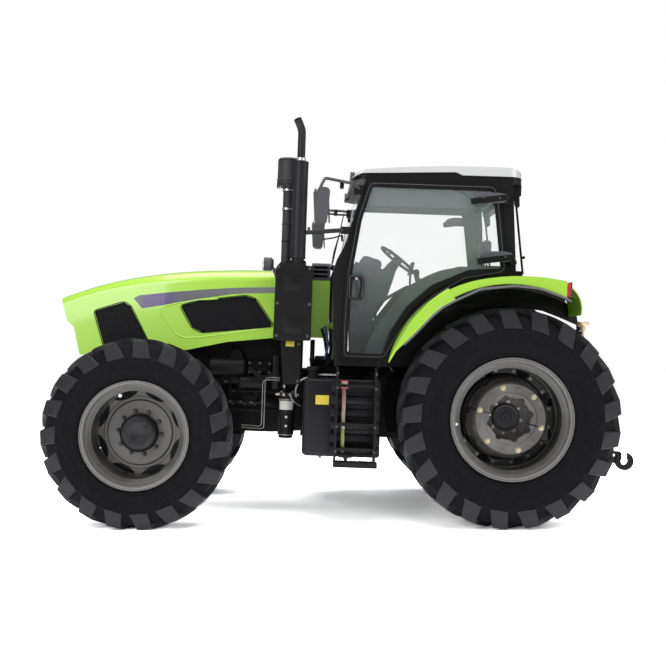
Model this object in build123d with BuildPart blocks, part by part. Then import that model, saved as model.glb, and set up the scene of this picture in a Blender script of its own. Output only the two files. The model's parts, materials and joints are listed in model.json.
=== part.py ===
from build123d import *
from math import asin, cos, degrees, hypot, radians, sin
import os

# A four-wheel-drive farm tractor with a closed cab, in millimetres.
#
# Every piece is drawn in the tractor's own frame, which starts at the middle of the rear
# axle: X forward, Y to the tractor's left, Z up, square to the chassis. STANCE then sets the
# whole tractor on its tyres, a little nose-up, with the origin on the ground under the middle
# of its overall box.

# ---------------------------------------------------------------- driving dimensions
WHEELBASE = 3095.0
OVERALL_WIDTH = 2400.0
NOSE_UP = 2.0  # degrees that the chassis is raised at the nose
REAR_AXLE_X = -1340.0  # rear axle, from the middle of the overall length

RUNNING_FIT = 0.08  # radial clearance of a shaft or pin in its bore
SEAT_FIT = 0.3  # clearance between pieces that rest against each other
MOVING_GAP = 6.0  # least gap between pieces that move past each other

# Tyres and rims
REAR_AXLE_UP = 910.0  # height of the axle over the ground, on tyres settled under load
REAR_TYRE_R = 925.0
REAR_TYRE_W = 528.0
REAR_BEAD_R = 482.0
REAR_RIM_HALF = 225.0
FRONT_AXLE_UP = 780.0
FRONT_TYRE_R = 797.0
FRONT_TYRE_W = 430.0
FRONT_BEAD_R = 424.0
FRONT_RIM_HALF = 184.0
TYRE_WALL = 34.0
TREAD_INSET = 14.0  # tread edge in from the widest point of the side wall
SHOULDER_DROP = 36.0
FLANGE_HEIGHT = 27.0
RIM_WALL = 11.0
WELL_DEPTH = 48.0  # how far the middle of a rim lies under its bead seats

# Axles
AXLE_SHAFT_R = 62.0
TRUMPET_R = 118.0
REAR_HUB_Y = 780.0  # outer end of the axle housing
KINGPIN_Y = 650.0
KINGPIN_R = 32.0
SPINDLE_R = 52.0
BEAM_HALF_HEIGHT = 78.0
BEAM_HALF_DEPTH = 84.0
YOKE_HALF = 165.0
YOKE_EAR = 40.0
TIE_ROD_R = 17.0
STEER_ARM_BACK = 200.0  # tie rod ball from the kingpin

# Driveline
GEARBOX_HALF = 235.0
GEARBOX_TOP = 270.0
GEARBOX_BOTTOM = -270.0
ENGINE_REAR = 1735.0
ENGINE_FRONT = 2780.0
ENGINE_HALF = 250.0
ENGINE_TOP = 900.0
ENGINE_BOTTOM = -250.0
FRAME_FRONT = 3690.0
FRAME_HALF = 225.0
FRAME_TOP = 120.0
FRAME_BOTTOM = -60.0

# Hood and cowl
HOOD_WALL = 12.0
HOOD_REAR = 1702.0
HOOD_TOP = 1234.0
HOOD_HINGE_AHEAD = 190.0
HOOD_HINGE_DOWN = 61.0
HOOD_HINGE_Y = 221.0
HOOD_EAR = 12.0
HOOD_PIN_R = 12.0
COWL_REAR = 1512.0
COWL_FRONT = 1688.0
COWL_TOP = 1130.0
COWL_WALL = 14.0

# Cab
CAB_HALF = 800.0
CAB_POST = 62.0  # thickness of the cab's side frames
CAB_FLOOR_Z = 400.0
CAB_FLOOR_WALL = 14.0
CAB_INNER_HALF = 630.0  # wheel boxes inside the cab
DOOR_GAP = 6.0
DOOR_THICK = 30.0
DOOR_RIM = 40.0
GLASS = 8.0
DOOR_HINGE_R = 14.0

# Fenders
FENDER_WALL = 10.0
FENDER_OUT = 1188.0
FENDER_LIP = 34.0
FENDER_ROUND = 9.0

# Exhaust and intake on the left of the hood
STACK_X = 1806.0
STACK_Y = 700.0
STACK_R = 55.0
PIPE_R = 34.0
INTAKE_X = 1912.0
INTAKE_Y = 574.0
INTAKE_R = 42.0
GUARD_OUT = 785.0
GUARD_IN = 474.0
GUARD_WALL = 6.0

# ---------------------------------------------------------------- worked-out places
PITCH = radians(NOSE_UP)
TYRE_OUT = OVERALL_WIDTH / 2
DROP = FRONT_AXLE_UP - REAR_AXLE_UP
FRONT_AXLE_X = WHEELBASE * cos(PITCH) + DROP * sin(PITCH)
FRONT_AXLE_Z = DROP * cos(PITCH) - WHEELBASE * sin(PITCH)
STANCE = Location((REAR_AXLE_X, 0, REAR_AXLE_UP), (0, -NOSE_UP, 0))
HINGE_X = HOOD_REAR + HOOD_HINGE_AHEAD
HINGE_Z = HOOD_TOP - HOOD_HINGE_DOWN
SIDES = (("left", False), ("right", True))

os.makedirs("parts", exist_ok=True)


def write(builder, label, flip=False):
    """Stands one finished piece, or its mirror image, on the ground and writes it."""
    piece = builder.part.mirror(Plane.XZ) if flip else builder.part
    piece = piece.moved(STANCE)
    piece.label = label
    export_step(piece, f"parts/{label}.step")


def side(y):
    """Side view at y: sketch x is forward, sketch y is up, and extrude runs towards -Y."""
    return Plane(origin=(0, y, 0), x_dir=(1, 0, 0), z_dir=(0, -1, 0))


def across(x):
    """Front view at x: sketch x runs to the left, sketch y is up, and extrude runs forward."""
    return Plane(origin=(x, 0, 0), x_dir=(0, 1, 0), z_dir=(1, 0, 0))


def level(z):
    """Plan view at z: sketch x is forward, sketch y to the left, and extrude runs up."""
    return Plane(origin=(0, 0, z), x_dir=(1, 0, 0), z_dir=(0, 0, 1))


def block(x0, x1, y0, y1, z0, z1, mode=Mode.ADD):
    """A block between two corners, in the builder that is open."""
    with Locations(((x0 + x1) / 2, (y0 + y1) / 2, (z0 + z1) / 2)):
        return Box(abs(x1 - x0), abs(y1 - y0), abs(z1 - z0), mode=mode)


def rod(start, end, radius, mode=Mode.ADD):
    """A round bar from one point to another, in the builder that is open."""
    run = Vector(*end) - Vector(*start)
    with BuildSketch(Plane(origin=start, z_dir=run.normalized())) as section:
        Circle(radius)
    return extrude(section.sketch, amount=run.length, mode=mode)


def bent_tube(points, bend, radius):
    """A tube along straight runs with equal bends, in the builder that is open."""
    with BuildLine() as path:
        FilletPolyline(*points, radius=bend)
    with BuildSketch(Plane(origin=path.line @ 0, z_dir=path.line % 0)) as section:
        Circle(radius)
    return sweep(section.sketch, path=path.line)


def plate(outline, y_out, thickness, mode=Mode.ADD):
    """A flat plate in side view from y_out inwards, its outline given as points."""
    with BuildSketch(side(y_out)) as section:
        with BuildLine():
            Polyline(*outline, close=True)
        make_face()
    return extrude(section.sketch, amount=thickness, mode=mode)


# ================================================================ wheels
class Wheel:
    """Sizes and section planes of one axle's left wheel."""

    def __init__(self, axle, x, z, tyre_r, width, bead_r, rim_half):
        self.axle, self.x, self.z = axle, x, z
        self.tyre_r, self.width = tyre_r, width
        self.bead_r, self.rim_half = bead_r, rim_half
        self.middle_y = TYRE_OUT - width / 2
        self.section = Plane(origin=(x, self.middle_y, z), x_dir=(0, 1, 0), z_dir=(1, 0, 0))
        self.axis = Axis((x, 0, z), (0, 1, 0))

    def face(self, y):
        """Plane square to the axle at y, centred on the wheel; extrude runs towards -Y."""
        return Plane(origin=(self.x, y, self.z), x_dir=(1, 0, 0), z_dir=(0, -1, 0))

    def turned(self, outline):
        """A ring from an outline of (distance across from the tyre's middle, radius)."""
        with BuildSketch(self.section) as section:
            with BuildLine():
                Polyline(*outline, close=True)
            make_face()
        return revolve(section.sketch, axis=self.axis)


REAR = Wheel("rear", 0.0, 0.0, REAR_TYRE_R, REAR_TYRE_W, REAR_BEAD_R, REAR_RIM_HALF)
FRONT = Wheel(
    "front", FRONT_AXLE_X, FRONT_AXLE_Z, FRONT_TYRE_R, FRONT_TYRE_W, FRONT_BEAD_R, FRONT_RIM_HALF
)

with BuildPart() as ground:
    Box(3 * WHEELBASE, 2 * OVERALL_WIDTH, 200, align=(Align.CENTER, Align.CENTER, Align.MAX))
level_ground = ground.part.moved(STANCE.inverse())

for wheel in (REAR, FRONT):
    # A bag open at the beads, with bulged side walls and a nearly flat crown, settled on the ground
    shoulder = wheel.tyre_r - SHOULDER_DROP
    toe = wheel.bead_r + FLANGE_HEIGHT + 3
    waist = (toe + shoulder) / 2
    bulge = wheel.width / 2
    edge = wheel.rim_half
    tread = bulge - TREAD_INSET
    inner_edge = edge - TYRE_WALL
    inner_tread = tread - TYRE_WALL
    lining = shoulder - TYRE_WALL
    with BuildPart() as tyre:
        with BuildSketch(wheel.section):
            with BuildLine():
                ThreePointArc((-tread, shoulder), (0, wheel.tyre_r), (tread, shoulder))
                ThreePointArc((tread, shoulder), (bulge, waist), (edge, toe))
                Polyline((edge, toe), (edge, wheel.bead_r), (inner_edge, wheel.bead_r), (inner_edge, toe))
                ThreePointArc((inner_edge, toe), (bulge - TYRE_WALL, waist), (inner_tread, lining))
                crown_in = (0, wheel.tyre_r - 2 * TYRE_WALL)
                ThreePointArc((inner_tread, lining), crown_in, (-inner_tread, lining))
                ThreePointArc((-inner_tread, lining), (TYRE_WALL - bulge, waist), (-inner_edge, toe))
                Polyline((-inner_edge, toe), (-inner_edge, wheel.bead_r), (-edge, wheel.bead_r), (-edge, toe))
                ThreePointArc((-edge, toe), (-bulge, waist), (-tread, shoulder))
            make_face()
        revolve(axis=wheel.axis)
        add(level_ground, mode=Mode.SUBTRACT)
    for name, flip in SIDES:
        write(tyre, f"{wheel.axle}_tyre_{name}", flip)


def rim(wheel):
    """The rolled rim: two flanges, two bead seats and a well between them."""
    seat = wheel.bead_r - SEAT_FIT
    lip = wheel.rim_half + SEAT_FIT
    well = seat - WELL_DEPTH
    tyre_side = (
        (lip, seat + FLANGE_HEIGHT),
        (lip, seat),
        (lip - 54, seat),
        (lip - 76, well),
    )
    axle_side = (
        (lip - 66, well - RIM_WALL),
        (lip - 43, seat - RIM_WALL),
        (lip + RIM_WALL, seat - RIM_WALL),
        (lip + RIM_WALL, seat + FLANGE_HEIGHT),
    )
    mirrored = tuple((-y, r) for y, r in tyre_side[::-1])
    mirrored += tuple((-y, r) for y, r in axle_side[::-1])
    wheel.turned(tyre_side + mirrored + axle_side)


# Rear wheels: rim, lugs, and a dished centre that closes on the axle shaft.
REAR_DISC_Y = 848.0
REAR_DISC_WALL = 16.0
REAR_HUB_R = 114.0
REAR_LUGS = 8
with BuildPart() as rear_wheel:
    rim(REAR)
    well_r = REAR_BEAD_R - SEAT_FIT - WELL_DEPTH - RIM_WALL
    deep = REAR_DISC_Y - REAR.middle_y
    REAR.turned(
        (
            (deep - REAR_DISC_WALL, AXLE_SHAFT_R + RUNNING_FIT),
            (deep + 34, AXLE_SHAFT_R + RUNNING_FIT),
            (deep + 34, REAR_HUB_R),
            (deep, REAR_HUB_R),
            (deep, 330),
            (deep - 60, 372),
            (deep - 60, well_r + 4),
            (deep - 60 - REAR_DISC_WALL, well_r + 4),
            (deep - 60 - REAR_DISC_WALL, 366),
            (deep - REAR_DISC_WALL, 324),
        )
    )
    # The bolting circle is scalloped between its lugs.
    with BuildSketch(REAR.face(REAR_DISC_Y)):
        with PolarLocations(418, REAR_LUGS, start_angle=22.5):
            Circle(62)
    extrude(amount=120, mode=Mode.SUBTRACT)
    # Hub cap over the end of the shaft
    REAR.turned(
        (
            (deep + 34, 0),
            (deep + 44, 0),
            (deep + 44, REAR_HUB_R - 14),
            (deep + 34, REAR_HUB_R),
        )
    )
for name, flip in SIDES:
    write(rear_wheel, f"rear_wheel_{name}", flip)

# Rear wheel weights: a stepped cast ring in two halves, lobed outside and inside.
WEIGHT_BACK_Y = REAR_DISC_Y + SEAT_FIT
WEIGHT_STEP_Y = 930.0
WEIGHT_FACE_Y = 1092.0
WEIGHT_LOBES = 8
WEIGHT_SLIT = 9.0
WEIGHT_SPLIT_ANGLE = 13.5
with BuildPart() as weight:
    REAR.turned(
        (
            (WEIGHT_BACK_Y - REAR.middle_y, 190),
            (WEIGHT_FACE_Y - REAR.middle_y - 30, 176),
            (WEIGHT_FACE_Y - REAR.middle_y - 12, 214),
            (WEIGHT_FACE_Y - REAR.middle_y, 220),
            (WEIGHT_FACE_Y - REAR.middle_y, 288),
            (WEIGHT_FACE_Y - REAR.middle_y - 14, 296),
            (WEIGHT_STEP_Y - REAR.middle_y + 40, 312),
            (WEIGHT_STEP_Y - REAR.middle_y, 340),
            (WEIGHT_BACK_Y - REAR.middle_y, 340),
        )
    )
    with BuildSketch(REAR.face(WEIGHT_FACE_Y)):
        with PolarLocations(378, WEIGHT_LOBES, start_angle=10):
            Circle(56)
        with PolarLocations(168, WEIGHT_LOBES, start_angle=31):
            Circle(30)
    extrude(amount=WEIGHT_FACE_Y - WEIGHT_BACK_Y, mode=Mode.SUBTRACT)
    with BuildSketch(REAR.face(WEIGHT_FACE_Y)):
        Rectangle(900, WEIGHT_SLIT, rotation=WEIGHT_SPLIT_ANGLE)
    extrude(amount=WEIGHT_FACE_Y - WEIGHT_BACK_Y, mode=Mode.SUBTRACT)
for name, flip in SIDES:
    write(weight, f"wheel_weight_{name}", flip)

# Front wheels: rim, eight-lobed pressed disc, hub with its own dark cap
FRONT_DISC_Y = 868.0
FRONT_DISC_WALL = 14.0
FRONT_HUB_R = 157.0
FRONT_HUB_FACE_Y = 968.0
with BuildPart() as front_wheel:
    rim(FRONT)
    well_r = FRONT_BEAD_R - SEAT_FIT - WELL_DEPTH - RIM_WALL
    flat = FRONT_DISC_Y - FRONT.middle_y
    FRONT.turned(
        (
            (flat - FRONT_DISC_WALL, FRONT_HUB_R - 20),
            (flat, FRONT_HUB_R - 20),
            (flat, 268),
            (flat - 16, 282),
            (flat - 16, 300),
            (flat - 2, 312),
            (flat - 2, well_r + 4),
            (flat - 2 - FRONT_DISC_WALL, well_r + 4),
            (flat - 2 - FRONT_DISC_WALL, 318),
            (flat - 16 - FRONT_DISC_WALL, 306),
            (flat - 16 - FRONT_DISC_WALL, 276),
            (flat - FRONT_DISC_WALL, 262),
        )
    )
    with BuildSketch(FRONT.face(FRONT_DISC_Y)):
        with PolarLocations(404, 8, start_angle=22.5):
            Circle(76)
    extrude(amount=60, mode=Mode.SUBTRACT)
    # Hub: sleeve on the spindle and a domed cap
    face = FRONT_HUB_FACE_Y - FRONT.middle_y
    FRONT.turned(
        (
            (flat - 92, SPINDLE_R + RUNNING_FIT),
            (flat + 60, SPINDLE_R + RUNNING_FIT),
            (flat + 60, 0),
            (face, 0),
            (face, FRONT_HUB_R - 26),
            (face - 16, FRONT_HUB_R - 6),
            (flat + 30, FRONT_HUB_R),
            (flat - FRONT_DISC_WALL, FRONT_HUB_R),
            (flat - FRONT_DISC_WALL, 112),
            (flat - 92, 104),
        )
    )
for name, flip in SIDES:
    write(front_wheel, f"front_wheel_{name}", flip)

# ================================================================ front axle
YOKE_TOP = FRONT_AXLE_Z + YOKE_HALF
YOKE_BOTTOM = FRONT_AXLE_Z - YOKE_HALF
SWIVEL_HALF = YOKE_HALF - YOKE_EAR - MOVING_GAP  # height of the knuckle between the ears
with BuildPart() as front_axle:
    # Tapered beam with a forked yoke at each end and a bowl for the differential
    with BuildSketch(across(FRONT_AXLE_X - BEAM_HALF_DEPTH)):
        with BuildLine():
            Polyline(
                (-540, FRONT_AXLE_Z - BEAM_HALF_HEIGHT),
                (-250, FRONT_AXLE_Z - BEAM_HALF_HEIGHT - 22),
                (250, FRONT_AXLE_Z - BEAM_HALF_HEIGHT - 22),
                (540, FRONT_AXLE_Z - BEAM_HALF_HEIGHT),
                (540, FRONT_AXLE_Z + BEAM_HALF_HEIGHT),
                (-540, FRONT_AXLE_Z + BEAM_HALF_HEIGHT),
                close=True,
            )
        make_face()
    extrude(amount=2 * BEAM_HALF_DEPTH)
    with Locations((FRONT_AXLE_X - 20, 0, FRONT_AXLE_Z)):
        Sphere(158)
    # Saddle trunnion
    rod((FRONT_AXLE_X - 190, 0, FRONT_AXLE_Z + 30), (FRONT_AXLE_X + 190, 0, FRONT_AXLE_Z + 30), 70)
    for out in (1, -1):
        block(FRONT_AXLE_X - 64, FRONT_AXLE_X + 64, out * 500, out * 545, YOKE_BOTTOM, YOKE_TOP)
        for low in (YOKE_BOTTOM, YOKE_TOP - YOKE_EAR):
            with BuildSketch(level(low)):
                with Locations((FRONT_AXLE_X, out * (KINGPIN_Y + 520) / 2)):
                    Rectangle(128, KINGPIN_Y - 520)
                with Locations((FRONT_AXLE_X, out * KINGPIN_Y)):
                    Circle(76)
            extrude(amount=YOKE_EAR)
        with Locations((FRONT_AXLE_X, out * KINGPIN_Y, FRONT_AXLE_Z)):
            Cylinder(KINGPIN_R + RUNNING_FIT, 2 * YOKE_HALF + 10, mode=Mode.SUBTRACT)
write(front_axle, "front_axle")

with BuildPart() as knuckle:
    # Swivel housing between the ears, its kingpins, the spindle and the steering arm
    with Locations((FRONT_AXLE_X, KINGPIN_Y, FRONT_AXLE_Z)):
        Cylinder(88, 2 * SWIVEL_HALF)
        Cylinder(KINGPIN_R, 2 * YOKE_HALF)
    rod((FRONT_AXLE_X, KINGPIN_Y, FRONT_AXLE_Z), (FRONT_AXLE_X, 764, FRONT_AXLE_Z), 100)
    rod((FRONT_AXLE_X, KINGPIN_Y, FRONT_AXLE_Z), (FRONT_AXLE_X, FRONT_DISC_Y + 50, FRONT_AXLE_Z), SPINDLE_R)
    arm_z = FRONT_AXLE_Z - 60
    with BuildSketch(level(arm_z - 17)):
        with BuildLine():
            Polyline(
                (FRONT_AXLE_X, KINGPIN_Y + 60),
                (FRONT_AXLE_X - STEER_ARM_BACK, KINGPIN_Y + 30),
                (FRONT_AXLE_X - STEER_ARM_BACK, KINGPIN_Y - 30),
                (FRONT_AXLE_X - 60, KINGPIN_Y - 40),
                close=True,
            )
        make_face()
        with Locations((FRONT_AXLE_X - STEER_ARM_BACK, KINGPIN_Y)):
            Circle(30)
    extrude(amount=34)
    with Locations((FRONT_AXLE_X - STEER_ARM_BACK, KINGPIN_Y, arm_z)):
        Cylinder(12 + RUNNING_FIT, 60, mode=Mode.SUBTRACT)
for name, flip in SIDES:
    write(knuckle, f"knuckle_{name}", flip)

with BuildPart() as tie_rod:
    # Straight bar with an eye and a stud at each end, under the steering arms
    tie_x = FRONT_AXLE_X - STEER_ARM_BACK
    tie_y = KINGPIN_Y
    tie_z = arm_z - 17 - MOVING_GAP - 22
    rod((tie_x, -tie_y, tie_z), (tie_x, tie_y, tie_z), TIE_ROD_R)
    for out in (1, -1):
        with Locations((tie_x, out * tie_y, tie_z)):
            Cylinder(27, 44)
        rod((tie_x, out * tie_y, tie_z), (tie_x, out * tie_y, arm_z + 17), 12)
write(tie_rod, "tie_rod")

# ================================================================ driveline
with BuildPart() as transmission:
    # Gearbox, rear housing, axle trumpets with shafts
    with BuildSketch(side(GEARBOX_HALF)):
        with BuildLine():
            Polyline(
                (-330, GEARBOX_BOTTOM + 60),
                (-230, GEARBOX_BOTTOM),
                (ENGINE_REAR - 420, GEARBOX_BOTTOM),
                (ENGINE_REAR - SEAT_FIT, GEARBOX_BOTTOM - 10),
                (ENGINE_REAR - SEAT_FIT, 330),
                (ENGINE_REAR - 240, 330),
                (ENGINE_REAR - 300, GEARBOX_TOP),
                (-100, GEARBOX_TOP),
                (-330, GEARBOX_TOP + 60),
                close=True,
            )
        make_face()
    extrude(amount=2 * GEARBOX_HALF)
    chamfer(transmission.edges().filter_by(Axis.X).group_by(Axis.Z)[0], 50)
    with Locations((-60, 0, 0)):
        Box(420, 2 * GEARBOX_HALF + 120, 470)
    for out in (1, -1):
        with BuildSketch(Plane(origin=(0, out * 290, 0), x_dir=(1, 0, 0), z_dir=(0, out, 0))):
            Circle(190)
        with BuildSketch(Plane(origin=(0, out * 480, 0), x_dir=(1, 0, 0), z_dir=(0, out, 0))):
            Circle(TRUMPET_R)
        loft()
        rod((0, out * 480, 0), (0, out * REAR_HUB_Y, 0), TRUMPET_R)
        rod((0, out * (REAR_HUB_Y - 30), 0), (0, out * REAR_HUB_Y, 0), 150)
        rod((0, out * REAR_HUB_Y, 0), (0, out * (REAR_DISC_Y + 30), 0), AXLE_SHAFT_R)
        # Lower link brackets with pins, lift shaft bearings
        block(-140, -20, out * 210, out * 298, -380, -200)
        rod((-80, out * 250, -330), (-80, out * 350, -330), 18)
        block(-150, -10, out * 130, out * 210, 250, 392)
    rod((-80, -220, 330), (-80, 220, 330), 32 + RUNNING_FIT, mode=Mode.SUBTRACT)
    block(-60, 60, -128, 128, 280, 400, mode=Mode.SUBTRACT)
    # Top link bracket with its pin
    for out in (1, -1):
        block(-450, -310, out * 36, out * 56, 90, 190)
    rod((-410, -56, 140), (-410, 56, 140), 13)
write(transmission, "transmission")

with BuildPart() as engine_block:
    with BuildSketch(side(ENGINE_HALF)):
        with BuildLine():
            Polyline(
                (ENGINE_REAR, ENGINE_BOTTOM + 20),
                (ENGINE_REAR + 260, ENGINE_BOTTOM),
                (2390, ENGINE_BOTTOM),
                (2480, FRAME_BOTTOM),
                (ENGINE_FRONT, FRAME_BOTTOM),
                (ENGINE_FRONT, 720),
                (ENGINE_FRONT - 120, ENGINE_TOP),
                (ENGINE_REAR + 160, ENGINE_TOP),
                (ENGINE_REAR, 620),
                close=True,
            )
        make_face()
    extrude(amount=2 * ENGINE_HALF)
    chamfer(engine_block.edges().filter_by(Axis.X).group_by(Axis.Z)[-1], 60)
    # Posts on its rear end that carry the hood's hinge pins
    for out in (1, -1):
        for gap in (-1, 1):
            cheek_y = out * HOOD_HINGE_Y + gap * (HOOD_EAR / 2 + 3 + 4)
            block(HINGE_X - 24, HINGE_X + 24, cheek_y - 4, cheek_y + 4, ENGINE_TOP - 90, HINGE_Z + 8)
        with BuildSketch(side(out * HOOD_HINGE_Y + 17)):
            with Locations((HINGE_X, HINGE_Z)):
                Circle(HOOD_PIN_R)
        extrude(amount=34)
write(engine_block, "engine_block")

with BuildPart() as front_frame:
    # Cast half-frame: two cheeks, an axle saddle and the front weight bracket
    for out in (1, -1):
        plate(
            (
                (ENGINE_FRONT + SEAT_FIT, FRAME_BOTTOM),
                (FRONT_AXLE_X - 240, FRAME_BOTTOM),
                (FRONT_AXLE_X - 150, FRONT_AXLE_Z + 80),
                (FRONT_AXLE_X - 110, FRAME_BOTTOM + 24),
                (FRONT_AXLE_X + 110, FRAME_BOTTOM + 24),
                (FRONT_AXLE_X + 150, FRONT_AXLE_Z + 80),
                (FRONT_AXLE_X + 240, FRAME_BOTTOM),
                (FRAME_FRONT, FRAME_BOTTOM + 10),
                (FRAME_FRONT, FRAME_TOP + 60),
                (FRAME_FRONT - 160, FRAME_TOP + 60),
                (FRAME_FRONT - 240, FRAME_TOP),
                (ENGINE_FRONT + SEAT_FIT, FRAME_TOP),
            ),
            FRAME_HALF if out > 0 else -FRAME_HALF + 50,
            50,
        )
    # Cross webs: behind the engine face, over the axle, and the nose casting
    block(ENGINE_FRONT + SEAT_FIT, ENGINE_FRONT + 60, -200, 200, FRAME_BOTTOM, FRAME_TOP)
    block(3330, 3380, -200, 200, FRAME_BOTTOM + 20, FRAME_TOP)
    block(FRAME_FRONT - 90, FRAME_FRONT, -200, 200, FRAME_BOTTOM + 10, FRAME_TOP + 60)
    for ahead in (-205, 205):
        block(
            FRONT_AXLE_X + ahead - 25, FRONT_AXLE_X + ahead + 25,
            -200, 200, FRONT_AXLE_Z - 60, FRAME_BOTTOM + 60,
        )
        with BuildSketch(across(FRONT_AXLE_X + ahead - 30)):
            with Locations((0, FRONT_AXLE_Z + 30)):
                Circle(70 + SEAT_FIT)
        extrude(amount=60, mode=Mode.SUBTRACT)
    # Weight bracket with its slotted hanger and pin bore
    block(FRAME_FRONT, FRAME_FRONT + 90, -160, 160, FRAME_BOTTOM + 30, FRAME_TOP + 40)
    with Locations((FRAME_FRONT + 52, 0, (FRAME_BOTTOM + FRAME_TOP) / 2 + 35)):
        Cylinder(16, 300, mode=Mode.SUBTRACT)
    block(FRAME_FRONT + 30, FRAME_FRONT + 91, -60, 60, FRAME_BOTTOM + 80, FRAME_TOP - 10, Mode.SUBTRACT)
write(front_frame, "front_frame")

with BuildPart() as radiator_pack:
    block(2960, 3130, -285, 285, FRAME_TOP + SEAT_FIT, 780)
    block(3150, 3200, -250, 250, 260, 720)
    for z in (300, 660):
        block(3130, 3150, -200, 200, z, z + 30)
write(radiator_pack, "radiator_pack")

# ================================================================ hood
# Sections of the hood: x, height of the crown, half-width at the shoulder, half-width at the
# lower edge and radius of the shoulder
HOOD_SECTIONS = (
    (COWL_REAR, HOOD_TOP, 402.0, 424.0, 96.0),
    (2450.0, 1216.0, 402.0, 424.0, 96.0),
    (3250.0, 1126.0, 382.0, 408.0, 86.0),
    (3990.0, 896.0, 322.0, 356.0, 70.0),
)
HOOD_CROWN = 26.0  # rise of the crown over the shoulders


def hood_form(inset):
    """The hood's closed outer form, drawn in by an even inset."""
    with BuildPart() as form:
        for x, top, half_top, half_low, shoulder in HOOD_SECTIONS:
            top_in = top - inset
            upper = half_top - inset
            lower = half_low - inset
            round_in = shoulder - inset
            shoulder_z = top_in - HOOD_CROWN
            with BuildSketch(across(x)):
                with BuildLine():
                    Line((-lower, 300), (-upper, shoulder_z - round_in))
                    RadiusArc(
                        (-upper, shoulder_z - round_in), (round_in - upper, shoulder_z), round_in
                    )
                    ThreePointArc((round_in - upper, shoulder_z), (0, top_in), (upper - round_in, shoulder_z))
                    RadiusArc((upper - round_in, shoulder_z), (upper, shoulder_z - round_in), round_in)
                    Line((upper, shoulder_z - round_in), (lower, 300))
                    Line((lower, 300), (-lower, 300))
                make_face()
        loft()
    return form.part


# Side outline of the hood, from its rear lower corner along the lower edge to the nose
HOOD_OUTLINE = (
    (HOOD_REAR, 1500),
    (HOOD_REAR, 628),
    (2010, 602),
    (2415, 553),
    (2756, 473),
    (3190, 420),
    (3735, 392),
    (3800, 640),
    (3862, 690),
    (3925, 885),
    (3948, 912),
    (3948, 1500),
)
# Front and rear side grilles, as openings in the hood's side
FRONT_GRILLE = ((3618, 789), (3355, 876), (3290, 842), (3112, 520), (3520, 486))
REAR_GRILLE = (
    (2842, 861),
    (2685, 911),
    (2263, 970),
    (2174, 946),
    (2018, 731),
    (2022, 704),
    (2640, 630),
    (2730, 671),
)
NOSE_OPENING_HALF = 268.0
HOOD_FACE_WALL = 34.0

outer_form = hood_form(0)
inner_form = hood_form(HOOD_WALL)
with BuildPart() as hood_cavity:
    with BuildSketch(side(600)):
        with BuildLine():
            Polyline(
                (HOOD_REAR - 20, 1500),
                (HOOD_REAR - 20, 300),
                (3735 - HOOD_FACE_WALL, 300),
                (3700, 400),
                (3766, 648),
                (3828, 700),
                (3888, 885),
                (3910, 1500),
                close=True,
            )
        make_face()
    extrude(amount=1200)
    add(inner_form, mode=Mode.INTERSECT)

with BuildPart() as hood:
    plate(HOOD_OUTLINE, 600, 1200)
    add(outer_form, mode=Mode.INTERSECT)
    add(hood_cavity.part, mode=Mode.SUBTRACT)
    for outline in (FRONT_GRILLE, REAR_GRILLE):
        with BuildSketch(side(600)):
            with BuildLine():
                Polyline(*outline, close=True)
            face = make_face()
            fillet(face.vertices(), 22)
        extrude(amount=1200, mode=Mode.SUBTRACT)
    # Nose opening for the front grille and lamps
    with BuildSketch(across(3560)):
        with BuildLine():
            Polyline(
                (-NOSE_OPENING_HALF, 430),
                (NOSE_OPENING_HALF, 430),
                (NOSE_OPENING_HALF + 30, 620),
                (NOSE_OPENING_HALF - 20, 800),
                (20 - NOSE_OPENING_HALF, 800),
                (-NOSE_OPENING_HALF - 30, 620),
                close=True,
            )
        face = make_face()
        fillet(face.vertices(), 30)
    extrude(amount=440, mode=Mode.SUBTRACT)
    # Hinge ears under the rear of the crown
    for out in (1, -1):
        with BuildSketch(side(out * HOOD_HINGE_Y + HOOD_EAR / 2)):
            with Locations((HINGE_X, HINGE_Z)):
                Circle(24)
            with Locations((HINGE_X, HINGE_Z + 22)):
                Rectangle(60, 36)
            with Locations((HINGE_X, HINGE_Z)):
                Circle(HOOD_PIN_R + RUNNING_FIT, mode=Mode.SUBTRACT)
        extrude(amount=HOOD_EAR)
write(hood, "hood")

# Side view of the raked panel behind the nose opening
NOSE_PANEL = (
    (3699.7, 408),
    (3765.7, 648),
    (3827.7, 700),
    (3861, 806),
    (3850, 806),
    (3819, 706),
    (3756, 654),
    (3688, 408),
)
GRILLE_LAP = 14.0
GRILLE_WALL = 8.0
panel_out = hood_form(HOOD_WALL + SEAT_FIT)
panel_in = hood_form(HOOD_WALL + SEAT_FIT + GRILLE_WALL)
with BuildPart() as hood_grilles:
    # Panels that follow the inside of the hood behind its four side openings
    for outline in (FRONT_GRILLE, REAR_GRILLE):
        with BuildSketch(side(600)):
            with BuildLine():
                Polyline(*outline, close=True)
            face = make_face()
            offset(face, amount=GRILLE_LAP, mode=Mode.REPLACE)
        extrude(amount=1200)
    add(panel_out, mode=Mode.INTERSECT)
    add(panel_in, mode=Mode.SUBTRACT)
    # Raked panel behind the nose opening
    nose = NOSE_OPENING_HALF + 38
    plate(NOSE_PANEL, nose, 2 * nose)
write(hood_grilles, "hood_grilles")

with BuildPart() as headlamps:
    for y in (236, -100):
        plate(((3830.4, 708), (3862, 708), (3889, 790), (3857, 790)), y, 136)
write(headlamps, "headlamps")

# ================================================================ cowl behind the hood
cowl_outer = hood_form(0)
cowl_inner = hood_form(COWL_WALL)
with BuildPart() as cowl_cavity:
    block(COWL_REAR + COWL_WALL, COWL_FRONT + 10, -500, 500, 600, COWL_TOP + 10)
    add(cowl_inner, mode=Mode.INTERSECT)

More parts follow.
